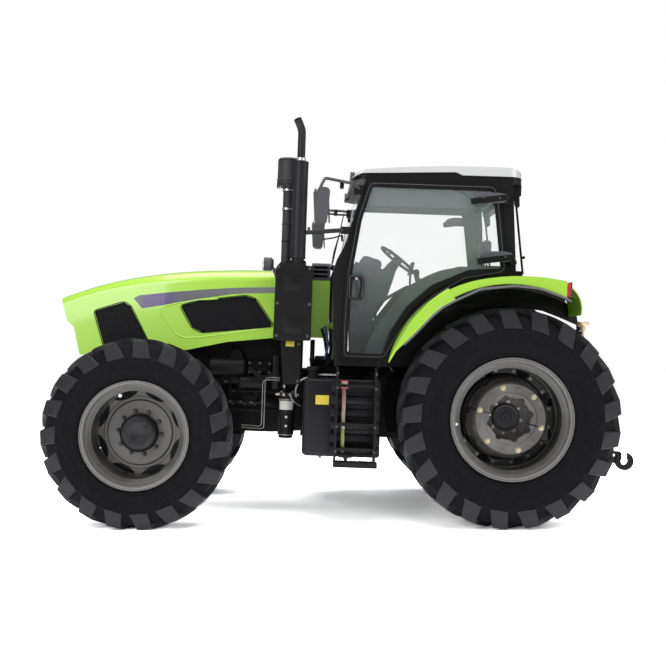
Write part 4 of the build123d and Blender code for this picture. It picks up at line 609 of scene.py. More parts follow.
DRESS: tuple[tuple[Finish, str], ...] = (
    (GREEN, "hood cowl fender_left fender_right"),
    (PALE_ROOF, "cab_roof"),
    (FRONT_RIM, "front_wheel_left front_wheel_right"),
    (REAR_RIM, "rear_wheel_left rear_wheel_right"),
    (WEIGHT, "wheel_weight_left wheel_weight_right"),
    (CHASSIS, "transmission engine_block front_frame front_axle knuckle_left knuckle_right"),
    (BLACK, "cab_frame cab_floor door_left door_right exhaust_guard cab_steps drawbar lift_arms lift_rods"),
    (BLACK, "lower_links radiator_pack top_link battery_box roof_trim fuel_tank"),
    (MUFFLER, "exhaust_stack"),
    (GRILLE, "hood_grilles"),
    (PLASTIC, "cowl_louvres mirrors"),
    (GREY_BLACK, "air_precleaner"),
    (TEAL_TRIM, "dash_console side_consoles"),
    (PLASTIC, "steering_wheel seat_base work_lamp"),
    (RUBBER, "fender_lips"),
    (ZINC, "tie_rod pto_shaft"),
    (BLACK, "fuel_filter"),
    (CLEAR_LENS, "headlamps"),
    (RED_LENS, "tail_lamps"),
    (GLASS, "windscreen rear_window door_glass_left door_glass_right"),
    (SEAT_CLOTH, "seat_cushion seat_backrest"),
)


# ---------------------------------------------------------------- meshes
class Facing(Enum):
    """Which way a flat outline is laid: where its two axes and its depth point."""

    SIDE = ((1, 0, 0), (0, 0, 1), (0, 1, 0))
    FRONT = ((0, 1, 0), (0, 0, 1), (1, 0, 0))
    TOP = ((1, 0, 0), (0, 1, 0), (0, 0, 1))

    def at(self, x: float = 0.0, y: float = 0.0, z: float = 0.0, turn: float = 0.0) -> Matrix:
        """The matrix of this facing with its origin at a point, turned in its own plane.

        Args:
            x: the origin's place ahead of the rear axle.
            y: its place to the left.
            z: its place above the rear axle.
            turn: degrees from the first axis towards the second.

        Returns:
            The 4x4 matrix.
        """
        laid = Matrix([list(axis) for axis in self.value]).transposed().to_4x4()
        return Matrix.Translation((x, y, z)) @ laid @ Matrix.Rotation(math.radians(turn), 4, "Z")


def pointing(place: Sequence[float], way: Sequence[float], roll: float = 0.0) -> Matrix:
    """The matrix of a frame at a place whose depth points along a way.

    Args:
        place: the frame's origin.
        way: the direction of its depth.
        roll: degrees that it is rolled about that direction.

    Returns:
        The 4x4 matrix.
    """
    turned = Vector(way).to_track_quat("Z", "Y").to_matrix().to_4x4()
    return Matrix.Translation(Vector(place)) @ turned @ Matrix.Rotation(math.radians(roll), 4, "Z")


def rounded(path: Sequence[Sequence[float]], bend: float, steps: int = 5) -> list[Vector]:
    """A pipe's line with each corner turned on a radius.

    Args:
        path: the corners.
        bend: how far from a corner its arc starts.
        steps: divisions of each arc.

    Returns:
        The points of the line.
    """
    corners = [Vector(point) for point in path]
    line = [corners[0]]
    for before, corner, after in zip(corners, corners[1:], corners[2:]):
        reach = min(bend, 0.45 * (before - corner).length, 0.45 * (after - corner).length)
        start = corner + (before - corner).normalized() * reach
        end = corner + (after - corner).normalized() * reach
        for step in range(steps + 1):
            share = step / steps
            line.append(start.lerp(corner, share).lerp(corner.lerp(end, share), share))
    line.append(corners[-1])
    return line


def ellipse(wide: float, high: float, steps: int = 24) -> list[tuple[float, float]]:
    """The outline of an ellipse by its half width and half height."""
    angles = [math.tau * step / steps for step in range(steps)]
    return [(wide * math.cos(angle), high * math.sin(angle)) for angle in angles]


def panel(width: float, height: float, corner: float, steps: int = 4) -> list[tuple[float, float]]:
    """The outline of a rectangle with rounded corners, about its middle."""
    outline = []
    for quarter, (across, up) in enumerate(((1, 1), (-1, 1), (-1, -1), (1, -1))):
        for step in range(steps + 1):
            angle = math.radians(90 * (quarter + step / steps))
            outline.append(
                (
                    across * (width / 2 - corner) + corner * math.cos(angle),
                    up * (height / 2 - corner) + corner * math.sin(angle),
                )
            )
    return outline


class Shape:
    """The faces of one piece, gathered in the tractor's own axes in millimetres."""

    sharp_angle = 0.6

    def __init__(self) -> None:
        """Start with no faces."""
        self.mesh = bmesh.new()

    def take(self, part: bmesh.types.BMesh, bevel: float = 0.0, segments: int = 2) -> "Shape":
        """Add a closed part, with its sharp edges rounded.

        Args:
            part: the part's faces; it is used up.
            bevel: how far each sharp edge is cut back.
            segments: divisions of the rounding.

        Returns:
            This shape, so that calls can follow one another.
        """
        bmesh.ops.recalc_face_normals(part, faces=part.faces)
        if bevel:
            pairs = [edge for edge in part.edges if len(edge.link_faces) == 2]
            sharp = [edge for edge in pairs if edge.calc_face_angle(0.0) > self.sharp_angle]
            bmesh.ops.bevel(
                part,
                geom=sharp,
                offset=bevel,
                segments=segments,
                profile=0.5,
                affect="EDGES",
                clamp_overlap=True,
            )
        held = bpy.data.meshes.new("part")
        part.to_mesh(held)
        part.free()
        self.mesh.from_mesh(held)
        bpy.data.meshes.remove(held)
        return self

    def prism(
        self,
        outline: Outline,
        low: float,
        high: float,
        place: Matrix | None = None,
        bevel: float = 0.0,
        segments: int = 2,
    ) -> "Shape":
        """An outline given depth.

        Args:
            outline: its corners in the place's plane.
            low: where the depth starts.
            high: where it ends.
            place: the plane's matrix; the side plane if left out.
            bevel: rounding of the edges.
            segments: divisions of the rounding.

        Returns:
            This shape.
        """
        place = place or Facing.SIDE.at()
        part = bmesh.new()
        near = [part.verts.new(place @ Vector((u, v, low))) for u, v in outline]
        far = [part.verts.new(place @ Vector((u, v, high))) for u, v in outline]
        part.faces.new(near)
        part.faces.new(far[::-1])
        for index in range(len(outline)):
            after = (index + 1) % len(outline)
            part.faces.new((near[index], far[index], far[after], near[after]))
        return self.take(part, bevel, segments)

    def block(
        self, centre: Sequence[float], size: Sequence[float], bevel: float = 0.0, turn: float = 0.0
    ) -> "Shape":
        """A box with rounded edges.

        Args:
            centre: its middle.
            size: its lengths along X, Y and Z.
            bevel: rounding of the edges.
            turn: degrees that it leans in the side plane.

        Returns:
            This shape.
        """
        half = [length / 2 for length in size]
        outline = [(-half[0], -half[2]), (half[0], -half[2]), (half[0], half[2]), (-half[0], half[2])]
        return self.prism(outline, -half[1], half[1], Facing.SIDE.at(*centre, turn=turn), bevel)

    def turned(
        self, profile: Outline, place: Matrix, steps: int = 32, ring: bool = False, bevel: float = 0.0
    ) -> "Shape":
        """A profile turned about the place's depth.

        Args:
            profile: distances along the axis and radii; a radius of 0 is a pole.
            place: the axis's matrix.
            steps: divisions of the turn.
            ring: whether the profile's end joins its start.
            bevel: rounding of the edges.

        Returns:
            This shape.
        """
        part = bmesh.new()
        rings = []
        for along, radius in profile:
            count = 1 if radius < 1e-6 else steps
            spots = [math.tau * step / steps for step in range(count)]
            around = [Vector((radius * math.cos(a), radius * math.sin(a), along)) for a in spots]
            rings.append([part.verts.new(place @ point) for point in around])
        pairs = list(zip(rings, rings[1:]))
        if ring:
            pairs.append((rings[-1], rings[0]))
        for first, second in pairs:
            for step in range(steps):
                after = (step + 1) % steps
                corners = [first[step % len(first)], first[after % len(first)]]
                corners += [second[after % len(second)], second[step % len(second)]]
                unique = list(dict.fromkeys(corners))
                if len(unique) > 2:
                    part.faces.new(unique)
        if not ring:
            for end in (rings[0], rings[-1]):
                if len(end) > 2:
                    part.faces.new(end)
        return self.take(part, bevel)

    def bead(
        self,
        along: float,
        radius: float,
        half: tuple[float, float],
        place: Matrix,
        steps: int,
        sides: int = 10,
    ) -> "Shape":
        """A rounded ring about the place's depth.

        Args:
            along: where its middle lies on the axis.
            radius: the radius of its middle.
            half: half its thickness along the axis, and outward.
            place: the axis's matrix.
            steps: divisions of the turn.
            sides: divisions round its section.

        Returns:
            This shape.
        """
        section = [(along + half[0] * v, radius + half[1] * u) for u, v in ellipse(1.0, 1.0, sides)]
        return self.turned(section, place, steps, ring=True)

    def tube(
        self, path: Sequence[Sequence[float]], radius: float, bend: float = 0.0, sides: int = 12
    ) -> "Shape":
        """A round bar or pipe along a line.

        Args:
            path: the line's corners.
            radius: the pipe's radius.
            bend: how far from each corner its arc starts.
            sides: divisions around it.

        Returns:
            This shape.
        """
        line = rounded(path, bend) if bend else [Vector(point) for point in path]
        return self.swept(ellipse(radius, radius, sides), line)

    def swept(
        self, outline: Outline, line: Sequence[Vector], up: Vector | None = None, loop: bool = False
    ) -> "Shape":
        """An outline carried along a line.

        Args:
            outline: its corners, across and up.
            line: the points that it follows.
            up: a direction that the outline's second axis keeps towards, or none to let it follow the line.
            loop: whether the line's end joins its start.

        Returns:
            This shape.
        """
        part = bmesh.new()
        count = len(line)
        rings = []
        way = (line[1] - line[0]).normalized()
        across = way.orthogonal().normalized()
        for index, point in enumerate(line):
            ahead = line[(index + 1) % count] if loop or index + 1 < count else line[index]
            behind = line[index - 1] if loop or index else line[index]
            way = (ahead - behind).normalized()
            if up is None:
                across = (across - way * across.dot(way)).normalized()
            else:
                across = up.cross(way).normalized()
            over = way.cross(across)
            rings.append([part.verts.new(point + across * u + over * v) for u, v in outline])
        pairs = list(zip(rings, rings[1:]))
        if loop:
            pairs.append((rings[-1], rings[0]))
        for first, second in pairs:
            for index in range(len(outline)):
                after = (index + 1) % len(outline)
                part.faces.new((first[index], first[after], second[after], second[index]))
        if not loop:
            part.faces.new(rings[0])
            part.faces.new(rings[-1])
        return self.take(part)

    def add(self, mesh: bpy.types.Mesh, place: Matrix | None = None) -> "Shape":
        """Add a finished mesh, moved by a matrix.

        Args:
            mesh: the mesh, which is used up.
            place: the matrix; none leaves it as it is.

        Returns:
            This shape.
        """
        if place is not None:
            mesh.transform(place)
            if place.determinant() < 0:
                mesh.flip_normals()
        self.mesh.from_mesh(mesh)
        bpy.data.meshes.remove(mesh)
        return self

    def held(self, side: int = 1, place: Matrix | None = None) -> bpy.types.Mesh:
        """The faces as a mesh; the shape is used up.

        Args:
            side: -1 mirrors it to the tractor's right.
            place: the matrix that it is moved by; none leaves it as it is.

        Returns:
            The mesh.
        """
        mesh = bpy.data.meshes.new("shape")
        self.mesh.to_mesh(mesh)
        self.mesh.free()
        if side < 0:
            mesh.transform(Matrix.Scale(-1, 4, (0, 1, 0)))
            mesh.flip_normals()
        if place is not None:
            mesh.transform(place)
        return mesh

    def piece(
        self,
        name: str,
        body: str,
        finish: Finish,
        slot: str,
        replaces: str = "",
        side: int = 1,
        smooth: float = 38.0,
        floor: bool = False,
    ) -> bpy.types.Object:
        """Make the shape one piece of the tractor.

        Args:
            name: the piece's name.
            body: the CAD body that it rides on.
            finish: what it is dressed in.
            slot: the record's material slot; not used.
            replaces: CAD nodes that it stands for, with spaces between.
            side: -1 mirrors it to the tractor's right.
            smooth: edges flatter than this many degrees are shaded smooth.
            floor: whether it is pressed flat where it would reach under the floor.

        Returns:
            The piece's object.
        """
        mesh = self.held(side, STANCE.to_row())
        mesh.name = name
        if floor:
            for vertex in mesh.vertices:
                vertex.co.z = max(vertex.co.z, 0.0)
        mesh.materials.clear()
        mesh.materials.append(finish.material())
        mesh.polygons.foreach_set("material_index", [0] * len(mesh.polygons))
        mesh.shade_smooth()
        mesh.set_sharp_from_angle(angle=math.radians(smooth))
        made = bpy.data.objects.new(name, mesh)
        bpy.context.scene.collection.objects.link(made)
        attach(made, body)
        if replaces:
            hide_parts(*replaces.split())
        LOG.info("%s: %d faces on %s", name, len(mesh.polygons), body)
        return made


class Layout(Enum):
    """How copies of a small part are set out."""

    RING = "ring"
    ROW = "row"
    SPOTS = "spots"


class Repeater(NodeKit):
    """A Geometry Nodes tree that sets out copies of a small part."""

    INPUTS = {
        "Part": "NodeSocketObject",
        "Count": "NodeSocketInt",
        "Radius": "NodeSocketFloat",
        "Start": "NodeSocketFloat",
        "Step": "NodeSocketVector",
        "Roll": "NodeSocketFloat",
        "Seed": "NodeSocketFloat",
        "Finish": "NodeSocketMaterial",
    }
    SCATTER_TURN = 12.9898
    SCATTER_SPREAD = 43758.5453

    def __init__(self, layout: Layout) -> None:
        """Build the tree of one layout."""
        self.layout = layout
        super().__init__(bpy.data.node_groups.new(layout.value, "GeometryNodeTree"))
        faces = self.tree.interface
        faces.new_socket(name="Geometry", in_out="INPUT", socket_type="NodeSocketGeometry")
        self.names = {}
        for name, kind in self.INPUTS.items():
            self.names[name] = faces.new_socket(name=name, in_out="INPUT", socket_type=kind).identifier
        faces.new_socket(name="Geometry", in_out="OUTPUT", socket_type="NodeSocketGeometry")
        given = self.tree.nodes.new("NodeGroupInput").outputs
        part = self.node("GeometryNodeObjectInfo", {}, Object=given["Part"]).outputs["Geometry"]
        points, turn = self.places(given)
        copies = self.node("GeometryNodeInstanceOnPoints", {}, Points=points, Instance=part, Rotation=turn)
        real = self.node("GeometryNodeRealizeInstances", {}, copies.outputs[0])
        dressed = self.node("GeometryNodeSetMaterial", {}, Geometry=real.outputs[0], Material=given["Finish"])
        self.tree.links.new(dressed.outputs[0], self.tree.nodes.new("NodeGroupOutput").inputs[0])

    def places(self, given: bpy.types.NodeOutputs) -> tuple[bpy.types.NodeSocket, bpy.types.NodeSocket]:
        """The points of the layout and the turn of the copy on each.

        Args:
            given: the tree's inputs.

        Returns:
            The sockets of the points and of the turns.
        """
        number = Signal(self, self.tree.nodes.new("GeometryNodeInputIndex").outputs[0])
        wave = ((number + Signal(self, given["Seed"])) * self.SCATTER_TURN).apply("SINE")
        scatter = wave * self.SCATTER_SPREAD
        roll = scatter.apply("FRACT") * Signal(self, given["Roll"])
        if self.layout is Layout.SPOTS:
            turn = self.node("GeometryNodeInputNamedAttribute", {"data_type": "FLOAT_VECTOR"}, "turn").outputs[
                0
            ]
            turned = self.node("FunctionNodeEulerToRotation", {}, turn).outputs[0]
            return given["Geometry"], turned
        if self.layout is Layout.RING:
            angle = number * math.tau / Signal(self, given["Count"]) + Signal(self, given["Start"])
            reach = Signal(self, given["Radius"])
            across = angle.apply("COSINE") * reach
            up = angle.apply("SINE") * reach
            place = self.node("ShaderNodeCombineXYZ", {}, across, up, 0.0).outputs[0]
        else:
            angle = Signal(self, given["Start"])
            place = self.node(
                "ShaderNodeVectorMath", {"operation": "SCALE"}, Vector=given["Step"], Scale=number
            ).outputs[0]
        points = self.node("GeometryNodePoints", {}, Count=given["Count"], Position=place).outputs[0]
        lean = self.node("ShaderNodeCombineXYZ", {}, 0.0, 0.0, angle + roll).outputs[0]
        return points, self.node("FunctionNodeEulerToRotation", {}, lean).outputs[0]

    def copies(
        self, part: Shape, spots: Sequence[Matrix] = (), **sizes: float | Sequence[float]
    ) -> bpy.types.Mesh:
        """Evaluate the tree over a small part.

        Args:
            part: the part about its own origin; it is used up.
            spots: the frame of each copy, for a layout of spots.
            sizes: the tree's inputs by name.

        Returns:
            One plain mesh of all the copies.
        """
        seed = bpy.data.objects.new("small_part", part.held())
        bed = bpy.data.meshes.new("spots")
        bed.from_pydata([spot.to_translation() for spot in spots], [], [])
        turns = [value for spot in spots for value in spot.to_euler()]
        bed.attributes.new("turn", "FLOAT_VECTOR", "POINT").data.foreach_set("vector", turns)
        holder = bpy.data.objects.new("layout", bed)
        for made in (seed, holder):
            bpy.context.scene.collection.objects.link(made)
        modifier = holder.modifiers.new("set_out", "NODES")
        modifier.node_group = self.tree
        modifier[self.names["Part"]] = seed
        modifier[self.names["Finish"]] = ZINC.material()
        for name, value in sizes.items():
            modifier[self.names[name]] = value
        depsgraph = bpy.context.evaluated_depsgraph_get()
        result = bpy.data.meshes.new_from_object(holder.evaluated_get(depsgraph))
        holder.modifiers.remove(modifier)
        for made in (holder, seed):
            held = made.data
            bpy.data.objects.remove(made)
            bpy.data.meshes.remove(held)
        return result


class Fasteners:
    """Small parts of the hardware, and trees that set them out."""

    def __init__(self) -> None:
        """Build one tree for each layout."""
        self.trees = {layout: Repeater(layout) for layout in Layout}

    @staticmethod
    def bolt(flats: float, head: float, washer: float = 0.0) -> Shape:
        """A hexagon head on a washer, standing up from its own origin.

        Args:
            flats: across the hexagon's flats.
            head: the head's height.
            washer: the washer's radius, or 0 for none.

        Returns:
            The bolt's shape.
        """
        shape = Shape()
        base = 0.0
        if washer:
            base = 0.18 * head
            shape.turned([(-1.0, washer), (base, washer)], Matrix(), 14)
        corner = flats / math.sqrt(3)
        profile = [(base - 1, corner), (base + 0.82 * head, corner), (base + head, 0.84 * corner)]
        return shape.turned(profile, Matrix(), 6)

    @staticmethod
    def stud(flats: float, nut: float, shank: float, reach: float) -> Shape:
        """A nut on a threaded end that stands through it.

        Args:
            flats: across the nut's flats.
            nut: the nut's height.
            shank: the thread's radius.
            reach: how high the thread stands.

        Returns:
            The stud's shape.
        """
        shape = Fasteners.bolt(flats, nut, 0.72 * flats)
        return shape.turned([(0.0, shank), (reach - 1.5, shank), (reach, 0.8 * shank)], Matrix(), 10)

    def ring(
        self, part: Shape, count: int, radius: float, start: float = 0.0, roll: float = 0.0
    ) -> bpy.types.Mesh:
        """Copies on a circle about the part's own axis.

        Args:
            part: the part about its own origin.
            count: how many.
            radius: the circle's radius.
            start: the first copy's angle in degrees.
            roll: the most that a copy is rolled at random, in degrees.

        Returns:
            One mesh of all the copies.
        """
        tree = self.trees[Layout.RING]
        sizes = {"Radius": float(radius), "Start": math.radians(start), "Roll": math.radians(roll)}
        return tree.copies(part, Count=count, Seed=3.0, **sizes)

    def row(self, part: Shape, count: int, step: Sequence[float]) -> bpy.types.Mesh:
        """Copies along a straight line, a step apart.

        Args:
            part: the part about its own origin.
            count: how many.
            step: from each copy to the next.

        Returns:
            One mesh of all the copies.
        """
        return self.trees[Layout.ROW].copies(
            part, Count=count, Step=[float(v) for v in step], Start=0.0, Roll=0.0
        )

    def spots(self, part: Shape, spots: Sequence[Matrix]) -> bpy.types.Mesh:
        """Copies on given frames.

        Args:
            part: the part about its own origin.
            spots: the frame of each copy.

        Returns:
            One mesh of all the copies.
        """
        return self.trees[Layout.SPOTS].copies(part, spots)

    def bolted(self, spots: Sequence[Matrix], flats: float, head: float, washer: float) -> Shape:
        """Bolt heads on given frames.

        Args:
            spots: the frame of each bolt.
            flats: across the hexagon's flats.
            head: the head's height.
            washer: the washer's radius.

        Returns:
            The bolts' shape.
        """
        return Shape().add(self.spots(self.bolt(flats, head, washer), spots))


class Skin:
    """The outer surface of a CAD node, in the tractor's own axes in millimetres."""

    outside = 2000.0

    def __init__(self, node: bpy.types.Object) -> None:
        """Read the node's faces."""
        back = STANCE.from_row()
        points = [back @ vertex.co for vertex in node.data.vertices]
        faces = [tuple(face.vertices) for face in node.data.polygons]
        self.tree = BVHTree.FromPolygons(points, faces)

    def from_left(self, x: float, z: float) -> tuple[Vector, Vector] | None:
        """Where a level line from the left first meets the skin, and the skin's normal there."""
        place, normal = self.tree.ray_cast(Vector((x, self.outside, z)), Vector((0, -1, 0)))[:2]
        if place is None:
            return None
        return place, normal if normal.y > 0 else -normal

    def patch(self, outline: Outline, lift: float, sink: float = 0.6, grid: float = 24.0) -> Shape:
        """A thin sheet that lies on the skin under an outline seen from the left.

        Args:
            outline: its corners, forward and up.
            lift: how far its face stands off the skin.
            sink: how far its back lies under the skin.
            grid: the spacing of its points.

        Returns:
            The sheet's shape.
        """
        part = bmesh.new()
        part.faces.new([part.verts.new((u, 0.0, v)) for u, v in outline])
        for axis, spread in ((0, [u for u, v in outline]), (2, [v for u, v in outline])):
            cut = math.ceil(min(spread) / grid) * grid
            while cut < max(spread):
                place, normal = Vector((0, 0, 0)), Vector((0, 0, 0))
                place[axis] = cut
                normal[axis] = 1.0
                everything = list(part.verts) + list(part.edges) + list(part.faces)
                bmesh.ops.bisect_plane(part, geom=everything, dist=0.01, plane_co=place, plane_no=normal)
                cut += grid
        part.verts.index_update()
        near, far = {}, {}
        sheet = bmesh.new()
        fallback = 0.0
        for vertex in part.verts:
            hit = self.from_left(vertex.co.x, vertex.co.z)
            place, normal = hit or (Vector((vertex.co.x, fallback, vertex.co.z)), Vector((0, 1, 0)))
            fallback = place.y
            near[vertex.index] = sheet.verts.new(place + normal * lift)
            far[vertex.index] = sheet.verts.new(place - normal * sink)
        for face in part.faces:
            sheet.faces.new([near[vertex.index] for vertex in face.verts])
            sheet.faces.new([far[vertex.index] for vertex in reversed(face.verts)])
        for edge in part.edges:
            if len(edge.link_faces) == 1:
                first, second = edge.verts[0].index, edge.verts[1].index
                sheet.faces.new((near[first], near[second], far[second], far[first]))
        part.free()
        return Shape().take(sheet)

    def line(self, path: Outline, lift: float, spacing: float = 18.0, loop: bool = False) -> list[Vector]:
        """Points on the skin along a line seen from the left.

        Args:
            path: the line's corners, forward and up.
            lift: how far off the skin the points are.
            spacing: the most between two points.
            loop: whether the line's end joins its start.

        Returns:
            The points.
        """
        corners = [Vector((u, v)) for u, v in path]
        if loop:
            corners.append(corners[0])
        points = []
        for first, second in zip(corners, corners[1:]):
            steps = max(1, math.ceil((second - first).length / spacing))
            for step in range(steps):
                points.append(first.lerp(second, step / steps))
        if not loop:
            points.append(corners[-1])
        found = []
        for point in points:
            hit = self.from_left(point.x, point.y)
            if hit:
                found.append(hit[0] + hit[1] * lift)
        return found


def softened(path: Outline, bend: float, steps: int = 4, loop: bool = False) -> list[tuple[float, float]]:
    """A flat line with its corners turned on a radius.

    Args:
        path: its corners.
        bend: how far from a corner its arc starts.
        steps: divisions of each arc.
        loop: whether its end joins its start.

    Returns:
        The line's points.
    """
    flat = [(u, v, 0.0) for u, v in path]
    if loop:
        flat = [flat[-1], *flat, flat[0]]
    line = [(point.x, point.y) for point in rounded(flat, bend, steps)]
    return line[1:-1] if loop else line


# ---------------------------------------------------------------- wheels
@dataclass(frozen=True)
class Tyre:
    """A farm tyre with chevron lugs; lengths in millimetres about its own middle."""

    axle: str
    place: Point
    radius: float
    width: float
    bead: float
    rim_half: float
    lugs: int
    lug_height: float
    tread_inset: float = 14.0
    shoulder_drop: float = 36.0
    flange: float = 30.0
    wall: float = 26.0
    lean: float = 40.0
    shoulder_share: float = 0.155

    def pitch(self) -> float:
        """The distance from one lug to the next at the tread."""
        return math.tau * self.radius / self.lugs

    def crown(self, across: float) -> float:
        """The radius of the lug tops at a distance across from the middle."""
        half = self.width / 2 - self.tread_inset
        sweep = (half**2 + self.shoulder_drop**2) / (2 * self.shoulder_drop)
        return self.radius - sweep + math.sqrt(sweep**2 - across**2)

    def side(self, radius: float) -> float:
        """How far across the side wall is at a radius."""
        tread = (self.width / 2 - self.tread_inset, self.radius - self.shoulder_drop)
        toe = (self.rim_half, self.bead + self.flange)
        waist = (self.width / 2, (toe[1] + tread[1]) / 2)
        (ax, ay), (bx, by), (cx, cy) = tread, waist, toe
        span = 2 * (ax * (by - cy) + bx * (cy - ay) + cx * (ay - by))
        squares = [u * u + v * v for u, v in (tread, waist, toe)]
        middle_x = (squares[0] * (by - cy) + squares[1] * (cy - ay) + squares[2] * (ay - by)) / span
        middle_y = (squares[0] * (cx - bx) + squares[1] * (ax - cx) + squares[2] * (bx - ax)) / span
        reach = math.hypot(ax - middle_x, ay - middle_y)
        return middle_x + math.sqrt(max(reach**2 - (radius - middle_y) ** 2, 0.0))

    def slope(self, radius: float) -> float:
        """How far the shoulder's slope has risen at a radius, from 0 at its foot to 1 at the tread's edge."""
        top = self.radius - self.shoulder_drop
        foot = top - self.shoulder_share * self.radius
        return min(max((radius - foot) / (top - foot), 0.0), 1.0)

    def flank(self, radius: float) -> float:
        """How far across the lugs' outer faces are at a radius."""
        return self.side(radius) - self.lean * self.slope(radius) ** 1.4

    def half_profile(self) -> list[tuple[float, float]]:
        """The casing from the bead's heel to the middle of the crown, as (across, radius)."""
        shoulder = self.radius - self.shoulder_drop
        toe = self.bead + self.flange
        outline = [(self.rim_half, self.bead), (self.rim_half, toe - 6.0)]
        for share, swell in (
            (0.0, -3.0),
            (0.04, 3.0),
            (0.075, 5.0),
            (0.09, -1.0),
            (0.18, -1.0),
            (0.30, -1.0),
            (0.31, 1.8),
            (0.335, 1.8),
            (0.345, -1.0),
            (0.45, -1.5),
            (0.54, -2.0),
            (0.55, 1.0),
            (0.575, 1.0),
            (0.585, -2.0),
        ):
            radius = toe + share * (shoulder - toe)
            outline.append((self.side(radius) + swell, radius))
        for share in (0.64, 0.69, 0.74, 0.80, 0.86):
            radius = toe + share * (shoulder - toe)
            sunk = 0.95 * self.lug_height * self.slope(radius) ** 0.6
            outline.append((self.flank(radius) - 2.0 - sunk, radius))
        tread = self.width / 2 - self.tread_inset - self.lean
        for share in (0.94, 0.84, 0.7, 0.5, 0.25, 0.0):
            sunk = self.lug_height + (22.0 if share > 0.9 else 7.0 if share > 0.8 else 0.0)
            outline.append((share * tread, self.crown(share * tread) - sunk))
        return outline

    def casing(self) -> Shape:
        """The bag of the tyre, open at its beads, with its wall's thickness."""
        half = self.half_profile()
        outer = half + [(-across, radius) for across, radius in half[-2::-1]]
        lining = [
            (self.rim_half - self.wall, self.bead), (self.rim_half - self.wall, self.bead + self.flange)
        ]
        middle = 0.55 * (self.bead + self.radius)
        lining += [
            (self.width / 2 - self.wall - 8, middle), (0.36 * self.width, self.crown(0.0) - 3 * self.wall)
        ]
        inner = [(-across, radius) for across, radius in lining] + lining[::-1]
        return Shape().turned(outer + inner, Matrix(), 112, ring=True)

    def lug(self, hand: int) -> Shape:
        """One lug, swept back from the middle of the crown and folded down the side wall.

        Args:
            hand: 1 for the outer row, -1 for the inner.

        Returns:
            The lug at angle 0 about the tyre's axis.
        """
        tread = self.width / 2 - self.tread_inset - self.lean
        shoulder = self.radius - self.shoulder_drop
        sweep = 0.98 * tread
        stations = []
        for share in (-0.07, 0.0, 0.12, 0.28, 0.45, 0.62, 0.80, 0.93, 1.0):
            across = share * tread
            back = sweep * math.sin(0.5 * math.pi * min(max(share, 0.0), 1.0) * 0.92)
            width = 26.0 + 8.0 * max(share, 0.0) + 0.115 * self.pitch() * max(share - 0.5, 0.0) / 0.5
            stations.append((across, self.crown(across), (0.0, -1.0), back, width, self.lug_height))
        for drop, height in ((0.03, 1.0), (0.07, 1.0), (0.105, 0.8), (0.135, 0.5), (0.150, 0.2)):
            radius = shoulder - drop * self.radius
            width = 34.0 + 0.115 * self.pitch() + 70.0 * drop
            stations.append(
                (self.flank(radius), radius, (-0.95, -0.3), sweep, width, height * self.lug_height)
            )
        part = bmesh.new()
        rings = []
        for across, radius, inward, back, width, height in stations:
            deep = (across + inward[0] * (height + 9), radius + inward[1] * (height + 9))
            low = (across + inward[0] * 0.16 * height, radius + inward[1] * 0.16 * height)
            corners = ((deep, -1.08), (low, -0.98), ((across, radius), -0.88))
            outline = [(at, share * width) for at, share in corners]
            outline += [(at, -share * width) for at, share in corners[::-1]]
            ring = []
            for (over, reach), shift in outline:
                angle = (back + shift) / radius
                ring.append(part.verts.new((reach * math.cos(angle), reach * math.sin(angle), hand * over)))
            rings.append(ring)
        for first, second in zip(rings, rings[1:]):
            for index in range(len(first)):
                after = (index + 1) % len(first)
                part.faces.new((first[index], first[after], second[after], second[index]))
        part.faces.new(rings[0])
        part.faces.new(rings[-1])
        return Shape().take(part)

    def build(self, fasteners: Fasteners, finish: Finish) -> None:
        """Make the tyre of each side in place of its CAD solid.

        Args:
            fasteners: the trees that set out the lugs.
            finish: the tyre's rubber.
        """
        ahead, middle, up = self.place
        half_pitch = 180.0 / self.lugs
        for side, word in LEFT_RIGHT:
            name = f"{self.axle}_tyre_{word}"
            body = f"{self.axle}_wheel_{word}"
            place = Facing.SIDE.at(ahead, middle, up)
            bag = Shape().add(self.casing().held(), place)
            bag.piece(f"{name}_casing", body, finish, "tyre", name, side, 32.0, floor=True)
            rows = Shape().add(fasteners.ring(self.lug(1), self.lugs, 0.0, 4.0), place)
            rows.add(fasteners.ring(self.lug(-1), self.lugs, 0.0, 4.0 + half_pitch), place)
            rows.piece(f"{name}_lugs", body, LUG_RUBBER, "tyre", side=side, smooth=32.0, floor=True)


def rim_edges(skin: "Skin", middle: Point, radii: Sequence[float]) -> Shape:
    """Thin raised rings on a rim; its callers dress them paler than the rim as painted highlights.

    Args:
        skin: the wheel's surface.
        middle: a point on its axis.
        radii: the rings' radii.

    Returns:
        The rings' shape.
    """
    shape = Shape()
    for radius in radii:
        hit = skin.from_left(middle[0] + 0.6 * radius, middle[2] + 0.8 * radius)
        if hit:
            shape.bead(hit[0].y, radius, (2.6, 3.0), Facing.SIDE.at(middle[0], 0.0, middle[2]), 72, 8)
    return shape


